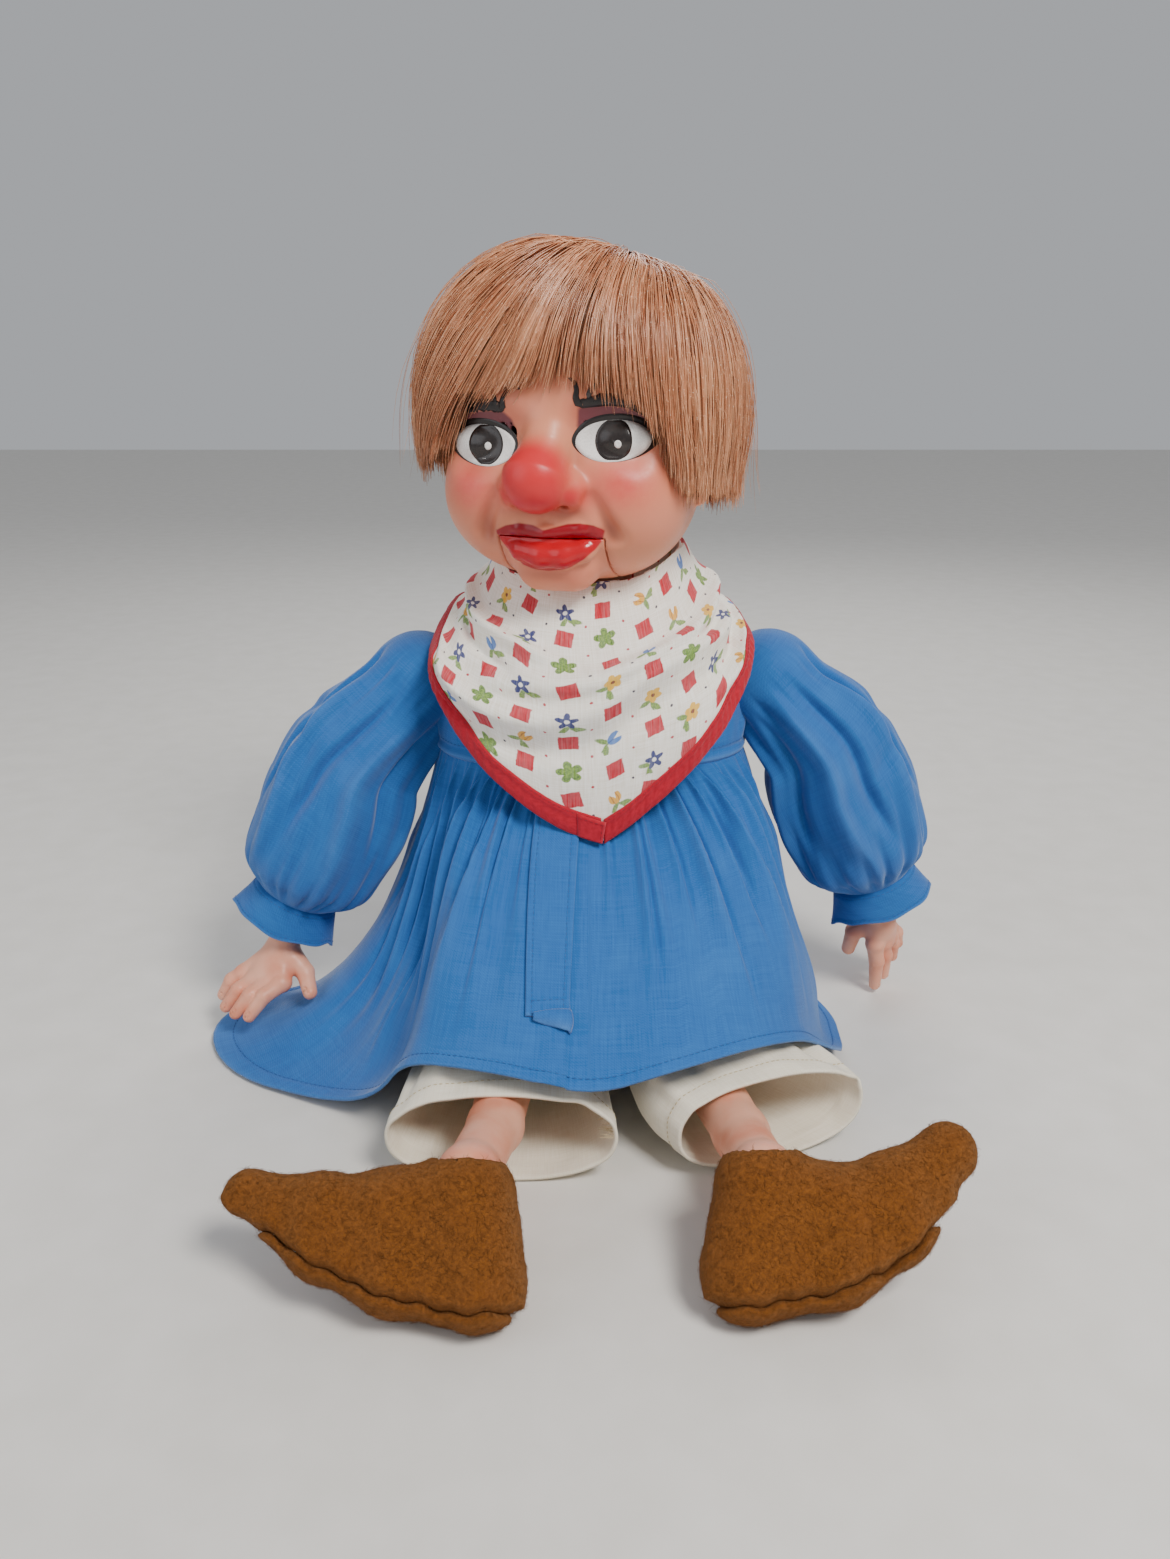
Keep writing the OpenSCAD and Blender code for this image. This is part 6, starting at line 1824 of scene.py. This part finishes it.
# ------------------------------------------------------------------ neckerchief
BIB = V3([[0, 6, -59, 130], [12, 22, -59, 142], [28, 43, -55, 161], [46, 63, -45, 184], [65, 75, -27, 205], [90, 77, 6, 217], [120, 66, 36, 222], [150, 40, 54, 222],
          [180, 0, 59, 221], [210, -40, 54, 222], [240, -66, 36, 222], [270, -77, 6, 217], [295, -76, -27, 203], [314, -64, -43, 180], [332, -41, -55, 156],
          [348, -16, -59, 138], [360, 6, -59, 130]])
SC_N, SC_M = ((520, 120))
az = np.linspace(0, 360, SC_N, endpoint=False)
ti = np.interp(az, BIB[:, 0], np.arange(len(BIB)))
EDGE = catmull(BIB[:, 1:], ti)
EDGE[:, 2] += 1.2 * np.sin(np.radians(az) * 5) * sstep(np.minimum(az, 360 - az), 20, 60)
r = np.radians(az)
sn, cs = np.sin(r), np.cos(r)
rim = np.interp(az, [0, 40, 75, 110, 180, 250, 290, 325, 360], [247, 252, 260, 262, 260, 257, 253, 249, 247])
rim = rim + 1.5 * np.sin(r * 3 + 1.0) * (1 - np.exp(-(np.minimum(az, 360 - az) / 30) ** 2))


def circ(rad, z, dy=0.0):
    return np.stack([rad * sn, 18 + dy - rad * cs, z + 0 * sn], -1)


oo = unit(np.stack([EDGE[:, 0], EDGE[:, 1] - 14, 0 * sn], -1))
front = sstep(cs, -0.1, 0.6)
topc = circ(41, 234.0)
mid = np.stack([0.45 * topc[:, 0] + 0.55 * EDGE[:, 0], 0.45 * topc[:, 1] + 0.55 * EDGE[:, 1], 0 * sn], -1) + oo * (3 + 8 * front)[:, None]
mid[:, 2] = front * (214 + 0.12 * (EDGE[:, 2] - 190)) + (1 - front) * 233
m1 = circ(48.5, rim - 9) * 0.55 + mid * 0.45
q2 = 0.45 * mid + 0.55 * EDGE + oo * (1.5 + 2.2 * front)[:, None]
rows = [circ(38.0, 231.0), circ(40.5, rim - 9), circ(43.0, rim - 1.2), circ(45.5, rim), circ(48.0, rim - 3.2), m1 + oo * 1.5, mid, q2, EDGE]
t = np.linspace(0, len(rows) - 1, SC_M)
W = catmull(np.array(rows), t)
N_ = grid_normals(W, True)
SCS = 1.0 if N_[SC_M * 2 // 3, SC_N // 2] @ V3([0, 1, 0.4]) > 0 else -1.0
N_ = N_ * SCS
s_ = (t / t[-1])[:, None] + 0 * az[None]
af = adiff(az, 0)[None] + 0 * s_
h = np.zeros_like(s_)
# rolled folds across the front: azimuth range, s at its middle, slope, width, height
for a0, a1, sc, sl, w, ht in ((-72, 84, 0.770, -0.0013, 0.030, 8.6), (-62, 88, 0.828, -0.0014, 0.020, -2.6), (-44, 104, 0.695, -0.0014, 0.024, 7.2), (-54, 94, 0.735, -0.0014, 0.014, -4.4),
                              (-100, -4, 0.650, 0.0018, 0.024, 6.6), (-92, -14, 0.710, 0.0020, 0.016, -3.8), (-105, -30, 0.800, 0.0010, 0.024, 3.4), (30, 110, 0.820, -0.0010, 0.024, 3.0),
                              (100, 200, 0.62, 0.0004, 0.035, 2.6), (-170, -80, 0.62, 0.0005, 0.035, 2.6)):
    c0 = sc + sl * (af - (a0 + a1) / 2) + 0.012 * np.sin(af * 0.06 + sc * 20)
    h += ht * np.exp(-((s_ - c0) / w) ** 2) * sstep(af, a0, a0 + 28) * sstep(af, a1, a1 - 28)
# soft folds running out to the edge
for a0, dr, w, ht, s0 in ((20, 12, 6, 2.2, 0.68), (42, 10, 7, -2.2, 0.64), (-26, -8, 7, 2.0, 0.72), (-50, -6, 8, 2.2, 0.66), (72, 4, 8, 1.8, 0.6), (-78, -2, 9, -1.4, 0.62), (105, 0, 9, 1.6, 0.6),
                          (135, 0, 8, -1.4, 0.6), (165, 0, 9, 1.4, 0.6), (-110, 0, 9, 1.5, 0.6), (-140, 0, 8, -1.3, 0.6), (-168, 0, 9, 1.4, 0.6)):
    h += ht * np.exp(-(adiff(af, a0 + dr * s_) / w) ** 2) * sstep(s_, s0, s0 + 0.14) * sstep(s_, 1.05, 0.9)
h += 0.8 * fbm(W * 0.05, 3, 40.0) * sstep(s_, 0.35, 0.5) + 0.12 * fbm(W * 0.18, 2, 44.0)
h += 1.3 * np.sin(af * PI / 180 * 7 + 0.5) * np.exp(-((s_ - 0.36) / 0.05) ** 2)
W = W + N_ * h[..., None]
# stay outside the smock and clear of the head
from mathutils.bvhtree import BVHTree


def over_smock(P, gap):
    """Pushes points (k, 3) out to lie gap above the skirt and yoke."""
    out = P.copy()
    for tree in SMOCK:
        for k in range(len(out)):
            loc, n, i, d = tree.find_nearest(out[k])
            if loc is None or d > 30:
                continue
            e = (out[k] - V3(loc)) @ V3(n)
            if e < gap and d < 14:
                out[k] += V3(n) * (gap - e)
    return out


F1 = quads(SK_M, SK_N, True)[: SK_N * (SK_M // 2)]
F2 = quads(YM, YN, True)
if not SKIRT_OUT:
    F1 = F1[:, ::-1]
if YS < 0:
    F2 = F2[:, ::-1]
SMOCK = [BVHTree.FromPolygons(S.reshape(-1, 3).tolist(), F1.tolist()), BVHTree.FromPolygons(Y2.reshape(-1, 3).tolist(), F2.tolist())]
low = SC_M * 55 // 100
e = np.zeros(s_.shape)
e[low:] = np.sum((over_smock(W[low:].reshape(-1, 3), 1.7).reshape(W[low:].shape) - W[low:]) * N_[low:], -1)
e = np.maximum(e, 0)
for k in range(5):
    e = np.maximum(e, np.maximum(np.roll(e, 1, 1), np.roll(e, -1, 1)))
    e[low:-1] = np.maximum(e[low:-1], e[low + 1:])
for k in range(14):
    e = (e * 2 + np.roll(e, 1, 1) + np.roll(e, -1, 1)) / 4
    f_ = np.pad(e, ((1, 1), (0, 0)), mode="edge")
    e = (f_[1:-1] * 2 + f_[:-2] + f_[2:]) / 4
W = W + N_ * e[..., None]


def off_head(P, gap):
    """Pushes points clear of the head and chin where it rests."""
    Q = (P - NECK) @ RZ
    for _ in range(4):
        d = full_out(Q)
        near = d < gap
        if not near.any():
            break
        e = 0.4
        g = np.stack([full_out(Q[near] + V3(v)) - full_out(Q[near] - V3(v)) for v in ([e, 0, 0], [0, e, 0], [0, 0, e])], 1)
        Q[near] += unit(g) * (gap - d[near])[:, None]
    return Q @ RZ.T + NECK


W = off_head(W.reshape(-1, 3), 1.9).reshape(W.shape)
NW = grid_normals(W, True) * SCS
dv = np.linalg.norm(np.diff(W, axis=0), axis=2)
vv = np.r_[np.zeros((1, SC_N)), np.cumsum(dv, 0)]
du = np.linalg.norm(np.roll(W, -1, 1) - W, axis=2)
half = SC_N // 2
uu = np.concatenate([np.zeros((SC_M, 1)), np.cumsum(du, 1)], 1)
uu = np.where(np.arange(SC_N)[None] > half, uu[:, :-1] - uu[:, -1:], uu[:, :-1])
# the collar's crowding is eased so the printed motifs keep their shape
ring = np.interp(t, [0, 3, 6, 8], [0.62, 0.66, 0.86, 1.0])[:, None]
lin_u = np.where(np.arange(SC_N)[None] > half, az[None] - 360, az[None]) / 180
uw = 0.35 * uu + 0.65 * lin_u * np.interp(t, [0, 3, 6, 8], [140, 150, 205, 232])[:, None]
uvw = np.stack([uw + 4.0, vv + 3.0, 0 * uu], -1) / 1.2
scarf = cloth("neckerchief_print", W, M["print"], True, 0.55, uvw, SCS, "body")
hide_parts("neckerchief")

# the bias binding folded over the outer edge
cum = vv[-1:] - vv
jj = np.arange(SC_N)


def scarf_at(dist):
    """Scarf points and normals at a distance (mm) in from the outer edge, for each column."""
    P, Nn = np.zeros((SC_N, 3)), np.zeros((SC_N, 3))
    for j in range(SC_N):
        c = cum[::-1, j]
        for k in range(3):
            P[j, k] = np.interp(dist, c, W[::-1, j, k])
            Nn[j, k] = np.interp(dist, c, NW[::-1, j, k])
    return P, unit(Nn)


ks, lifts = np.linspace(11.6, 0.6, 16), []
g = np.random.default_rng(8)
puck = 0.22 * np.sin(az * 2.1) + 0.16 * fbm(EDGE * 0.2, 2, 3.0)
Bn = []
for k, d0 in enumerate(ks):
    P, Nn = scarf_at(d0)
    hgt = 0.95 + 0.35 * math.exp(-((d0 - 9.2) / 1.3) ** 2) + 0.5 * math.exp(-((d0 - 3.0) / 3.0) ** 2) - 0.3 * math.exp(-((d0 - 10.3) / 0.35) ** 2)
    if k == 0:
        hgt = 0.25
    Bn.append(P + Nn * (hgt + puck * (0.3 + 0.7 * (d0 < 9)))[:, None])
P0_, N0_ = scarf_at(0.0)
out_ = unit(P0_ - scarf_at(1.5)[0])
for q in (60, 20, -20, -60):
    Bn.append(P0_ + out_ * (0.2 + 1.15 * math.cos(math.radians(q))) + N0_ * (0.25 + 1.1 * math.sin(math.radians(q)) + 0.4 * puck)[:, None])
for d0 in (1.2, 3.5, 6.0):
    P, Nn = scarf_at(d0)
    Bn.append(P - Nn * 0.75)
Bn = np.array(Bn)
uvb = arc_uv(Bn)
bind = cloth("neckerchief_bias_binding", Bn, M["binding"], False, 0.4, uvb, SCS, "body", {"wear": 0 * Bn[..., 0]})
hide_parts("neckerchief_binding")
NB_ = grid_normals(Bn, False) * SCS
stitch_line("binding_stitches", Bn[2] + NB_[2] * 0.1, NB_[2], M["t_red"], "body", 2.5, 1.7, 0.22)
# the squared end of the left strip lies over the right one at the point
jt = SC_N - 1
e0 = unit(Bn[10, jt] - Bn[10, jt - 12])
nrm = unit(NB_[8, jt] + NB_[8, 3])
u0, v0 = np.meshgrid(np.linspace(0, 1, 20), np.linspace(0, 1, 14))
ja = jt - 9
PA_, PB_ = Bn[1, ja], Bn[16, ja]
side = PB_ - PA_
END = PA_ + side * v0[..., None] + e0 * (u0 * (14.5 - 2.0 * v0))[..., None] + nrm * (1.3 + 0.5 * np.sin(u0 * PI) - 0.5 * (v0 < 0.05) - 0.7 * np.exp(-((u0) / 0.07) ** 2))[..., None]
END = over_smock(END.reshape(-1, 3), 2.6).reshape(END.shape)
ns = grid_normals(END, False)
es = 1.0 if ns[7, 10] @ nrm > 0 else -1.0
tip = cloth("binding_end", END, M["binding"], False, 1.1, arc_uv(END), es, "body", {"wear": 0.8 * np.exp(-((1 - u0) / 0.04) ** 2)})
ns = ns * es
stitch_line("binding_end_stitches_a", END[2, 1:-1] + ns[2, 1:-1] * 0.1, ns[2, 1:-1], M["t_red"], "body", 2.5, 1.7, 0.22)
stitch_line("binding_end_stitches_b", END[2:12, 17] + ns[2:12, 17] * 0.1, ns[2:12, 17], M["t_red"], "body", 2.5, 1.7, 0.22)

# ------------------------------------------------------------------ hair
CROWN = unit(V3([0.30, 0.05, 0.95]))
SKC = V3([0, -19, 96])


def wigf(p, g=0.0):
    q = p - SKC
    r = np.maximum(np.linalg.norm(q, axis=1), 1e-6)
    a = 77.5 + g
    b = np.where(q[:, 1] < 0, 65.0, 61.0) + g
    c = np.where(q[:, 2] > 0, 79.5, 78.0) + g
    k = (np.abs(q[:, 0] / a) ** 2.25 + np.abs(q[:, 1] / b) ** 2.25 + np.abs(q[:, 2] / c) ** 2.25) ** (1 / 2.25)
    return r * (1 - 1 / np.maximum(k, 1e-6))


def layer(p, q):
    return skull(p) * (1 - q) + wigf(p) * q


def layer_n(p, q):
    e = 0.5
    return unit(np.stack([layer(p + V3(v), q) - layer(p - V3(v), q) for v in ([e, 0, 0], [0, e, 0], [0, 0, e])], 1))


def z_end(p):
    """Height (head's own frame) at which hair over this point ends."""
    a = np.degrees(np.arctan2(p[:, 0], -(p[:, 1] + 19)))
    return np.interp(a, [-180, -120, -80, -62, -47, -36, -14, 8, 34, 44, 52, 70, 110, 180],
                     [58, 62, 74, 77, 84, 106.5, 109, 110, 105, 96, 69, 65, 60, 58])


def flow(phi, q, step, n, seed, wob):
    """Hair lines from round the crown, phi degrees, each settling on its layer q; (n, k, 3)."""
    g = np.random.default_rng(seed)
    k = len(phi)
    up = CROWN
    e1 = unit(np.cross(up, V3([0, 1, 0])))
    e2 = np.cross(up, e1)
    dirs = e1 * np.cos(phi)[:, None] + e2 * np.sin(phi)[:, None]
    p = SKC + up * 72 + dirs * g.uniform(1.0, 5.0, (k, 1))
    bend = g.normal(size=(k, 1)) * 0.05 * wob
    P = []
    for s in range(n):
        qs = q * min(1.0, 0.15 + s * step / 38.0)
        for _ in range(2):
            nn = layer_n(p, qs)
            f = layer(p, qs)
            hang = sstep(p[:, 2], 92, 70)
            f = np.where(f > 0, f * (1 - hang), f)
            p = p - nn * np.clip(f, -9, 9)[:, None]
        P.append(p.copy())
        out = p - (SKC + up * ((p - SKC) @ up)[:, None])
        mer = unit(out) - nn * np.sum(unit(out) * nn, 1)[:, None]
        mer = unit(mer + 1e-6) - up * 0.15
        gv = V3([0, 0, -1]) - nn * (nn @ V3([0, 0, -1]))[:, None]
        frontness = sstep(-p[:, 1], 20, 60)
        wg = sstep(p[:, 2], 168, 118)[:, None] * 1.6 + 0.12
        w1 = vnoise(p * 0.045 + 7.3)
        w2 = vnoise(p * 0.16 + 2.1)
        lat = np.cross(nn, unit(mer))
        d = mer + gv * wg + lat * (w1 * 0.16 + w2 * 0.10 * wob + bend[:, 0])[:, None]
        d = d + V3([-0.10, 0, 0]) * frontness[:, None]
        hang = sstep(p[:, 2], 92, 70)[:, None]
        d = unit(d) * (1 - hang) + V3([0, 0, -1]) * hang + lat * hang * (w1 * 0.10 + bend[:, 0])[:, None]
        p = p + unit(d) * step
    return np.array(P)


def strands(name, k, q0, q1, seed, rad, mat, nseg=15, early=0.0, jit=5.0, s_hi=0.72, fly=0.0):
    g = np.random.default_rng(seed)
    phi = g.uniform(0, 2 * PI, k)
    q = g.uniform(q0, q1, k)
    step, n = 4.0, 52
    P = flow(phi, q, step, n, seed + 1, 1.0)
    n_, k_, _ = P.shape
    ze = z_end(P.reshape(-1, 3)).reshape(n_, k_)
    jz = np.abs(g.normal(size=k)) * jit + 4.0 * vnoise(P[34] * 0.13) - 7.0 * g.random(k) * (g.random(k) < 0.22)
    mid_ = np.abs(P[30, :, 0] - 4) < 22
    jz = jz + np.where(mid_ & (P[30, :, 1] < -40), np.abs(g.normal(size=k)) * 9, 0)
    below = P[..., 2] < ze + jz[None]
    below[:6] = False
    end = np.where(below.any(0), below.argmax(0), n_ - 1).astype(float)
    j = np.arange(k)
    ei = end.astype(int)
    z1, z0 = P[ei, j, 2] - ze[ei, j] - jz, P[np.maximum(ei - 1, 0), j, 2] - ze[np.maximum(ei - 1, 0), j] - jz
    end = ei - 1 + np.clip(z0 / np.maximum(z0 - z1, 1e-6), 0, 1)
    start = end * (g.uniform(0, 1, k) ** 0.75) * s_hi * (1 - early)
    start = np.minimum(start, end - 5)
    start = np.maximum(start, 0)
    u = np.linspace(0, 1, nseg)[:, None]
    x = start[None] + (end - start)[None] * u
    i0 = np.clip(np.floor(x).astype(int), 0, n_ - 2)
    f = (x - i0)[..., None]
    i1, im, i2 = np.clip(i0 + 1, 0, n_ - 1), np.clip(i0 - 1, 0, n_ - 1), np.clip(i0 + 2, 0, n_ - 1)
    a, b, c, d = P[im, j[None]], P[i0, j[None]], P[i1, j[None]], P[i2, j[None]]
    C = 0.5 * ((2 * b) + (c - a) * f + (2 * a - 5 * b + 4 * c - d) * f ** 2 + (3 * b - 3 * c + d - a) * f ** 3)
    # the root sits under its neighbours, the tip kicks a little
    nn = layer_n(C.reshape(-1, 3), 0.6).reshape(C.shape)
    dip = np.exp(-(u / 0.10) ** 2)[..., None] * (2.5 + 6.0 * q[None, :, None])
    dip = dip * (start > 1.5)[None, :, None]
    C = C - nn * dip
    kick = g.normal(size=(k, 3)) * V3([1.0, 1.0, 0.35]) * (0.7 + fly * 5.0 * (g.random((k, 1)) < 0.35))
    C = C + kick[None] * (u ** 2.2)[..., None] + nn * (fly * 3.0 * g.random((k, 1))[None] * np.sin(u * PI)[..., None])
    sk = skull(C.reshape(-1, 3)).reshape(C.shape[:2])
    C = C + nn * np.maximum(0.9 - sk, 0)[..., None]
    T = unit(np.gradient(C, axis=0))
    S_ = unit(np.cross(T, nn))
    B_ = np.cross(S_, T)
    rr = rad * (0.75 + 0.5 * g.random(k))[None] * np.interp(u[:, 0], [0, 0.06, 0.75, 1.0], [0.35, 1.0, 0.9, 0.22])[:, None]
    ang = np.arange(3) / 3 * 2 * PI
    V = (C[:, :, None] + S_[:, :, None] * (rr[..., None] * np.cos(ang))[..., None] + B_[:, :, None] * (rr[..., None] * np.sin(ang))[..., None])
    V = V.transpose(1, 0, 2, 3).reshape(-1, 3)
    fq = quads(nseg, 3, True)
    nv = nseg * 3
    F = (fq[None] + (np.arange(k) * nv)[:, None, None]).reshape(-1, 4)
    capf = np.array([[0, 1, 2], [nv - 1, nv - 2, nv - 3]])
    Cp = (capf[None] + (np.arange(k) * nv)[:, None, None]).reshape(-1, 3)
    shade = 0.5 + 0.35 * vnoise(C[nseg // 2] * 0.06) + 0.22 * g.normal(size=k)
    shade = np.clip(np.repeat(shade, nv), 0, 1)
    ln = np.tile(np.repeat(np.linspace(0, 1, nseg), 3), k)
    rest = np.stack([np.repeat(g.uniform(0, 400, k), nv), ln * 60, np.zeros(k * nv)], -1)
    return make(name, hw(V), [F[:, ::-1], Cp], mat, "head", {"rest": rest, "shade": shade})


K = 2
# the under layer is coloured with painted shade through the darker hair copy
hs = [strands("hair_under", 1100 * K, 0.12, 0.45, 100, 0.50 - 0.10 * (K - 1), M["hair_painted_shade"]),
      strands("hair_main_a", 1100 * K, 0.40, 0.80, 200, 0.44 - 0.10 * (K - 1), M["hair"]),
      strands("hair_main_b", 1100 * K, 0.70, 0.98, 300, 0.42 - 0.10 * (K - 1), M["hair"]),
      strands("hair_top", 900 * K, 0.82, 1.0, 400, 0.38 - 0.09 * (K - 1), M["hair"], early=0.25),
      strands("hair_flyaway", 620, 0.85, 1.05, 500, 0.14, M["hair"], jit=8.0, fly=1.0)]
# the wefted base that the strands are rooted in
phi = np.linspace(0, 2 * PI, 360, endpoint=False)
P = flow(phi, np.full(len(phi), 0.30), 4.0, 46, 9, 0.0)
n_, k_, _ = P.shape
a_ = np.degrees(np.arctan2(P[..., 0], -(P[..., 1] + 19)))
zb = z_end(P.reshape(-1, 3)).reshape(n_, k_) + 9 + 13 * sstep(np.abs(a_ - 2), 55, 40)
below = P[..., 2] < zb
below[:4] = False
ei = np.where(below.any(0), below.argmax(0), n_ - 1)
ei = np.round(np.convolve(np.r_[ei[-4:], ei, ei[:4]], np.ones(9) / 9, "valid"), 2)
u = np.linspace(0, 1, 60)[:, None]
x = ei[None] * u
i0 = np.clip(np.floor(x).astype(int), 0, n_ - 2)
f = (x - i0)[..., None]
C = P[i0, np.arange(k_)[None]] * (1 - f) + P[i0 + 1, np.arange(k_)[None]] * f
C = C + layer_n(C.reshape(-1, 3), 0.3).reshape(C.shape) * (0.12 * np.sin(np.arange(k_) * 2.4)[None, :, None])
uvh = arc_uv(C, True, along=40)
Nh = grid_normals(C, True)
hsgn = 1.0 if Nh[30, 10] @ (C[30, 10] - SKC) > 0 else -1.0
# painted shade: the base under the strands takes the darker hair copy and a low shade value
hb = cloth("wig_weft_base", hw(C), M["hair_painted_shade"], True, 1.0, uvh * V3([2.5, 0.12, 1]), hsgn, "head",
           {"shade": 0.30 + 0.2 * vnoise(C * 0.08)})
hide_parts("wig", "wig_cap")

# ------------------------------------------------------------------ floor, light and camera
me = bpy.data.meshes.new("floor")
me.from_pydata([(-4, -4, -0.0006), (4, -4, -0.0006), (4, 4, -0.0006), (-4, 4, -0.0006)], [], [(0, 1, 2, 3)])
floor = bpy.data.objects.new("floor", me)
bpy.context.scene.collection.objects.link(floor)
fm = Mat("floor_paper")
fr = fm.noise(fm.obj(), 40.0, 3.0)
fm.out(fm.mix(fm.lr(fr, 0.3, 0.7), "#d9d6d0", "#dfdcd7"), 0.85)
me.materials.append(fm.mat)

world = bpy.data.worlds.new("studio")
bpy.context.scene.world = world
world.use_nodes = True
world.node_tree.nodes["Background"].inputs[0].default_value = (0.92, 0.95, 1.0, 1)
world.node_tree.nodes["Background"].inputs[1].default_value = 0.46


def area(name, loc, aim, size, power, color=(1, 1, 1)):
    L = bpy.data.lights.new(name, "AREA")
    L.shape = "RECTANGLE"
    L.size, L.size_y = size
    L.energy = power
    L.color = color
    o = bpy.data.objects.new(name, L)
    bpy.context.scene.collection.objects.link(o)
    o.location = loc
    o.rotation_euler = (Vector(aim) - Vector(loc)).to_track_quat("-Z", "Y").to_euler()


area("key", (0.55, -0.85, 1.25), (0, 0, 0.18), (0.42, 0.42), 22.5, (1.0, 0.965, 0.92))
area("fill", (-1.1, -0.7, 0.7), (0, 0, 0.18), (1.0, 1.0), 5.0, (0.93, 0.96, 1.0))
area("back", (0.2, 1.1, 1.1), (0, 0, 0.25), (1.0, 0.5), 7.0)

cam = bpy.data.cameras.new("camera")
cam.lens = 27.2
cam.sensor_width = 36
cam.sensor_fit = "AUTO"
cam.clip_start = 0.01
co = bpy.data.objects.new("camera", cam)
bpy.context.scene.collection.objects.link(co)
co.location = (-0.003, -0.574, 0.348)
co.rotation_euler = (math.radians(70), 0, 0)
bpy.context.scene.camera = co
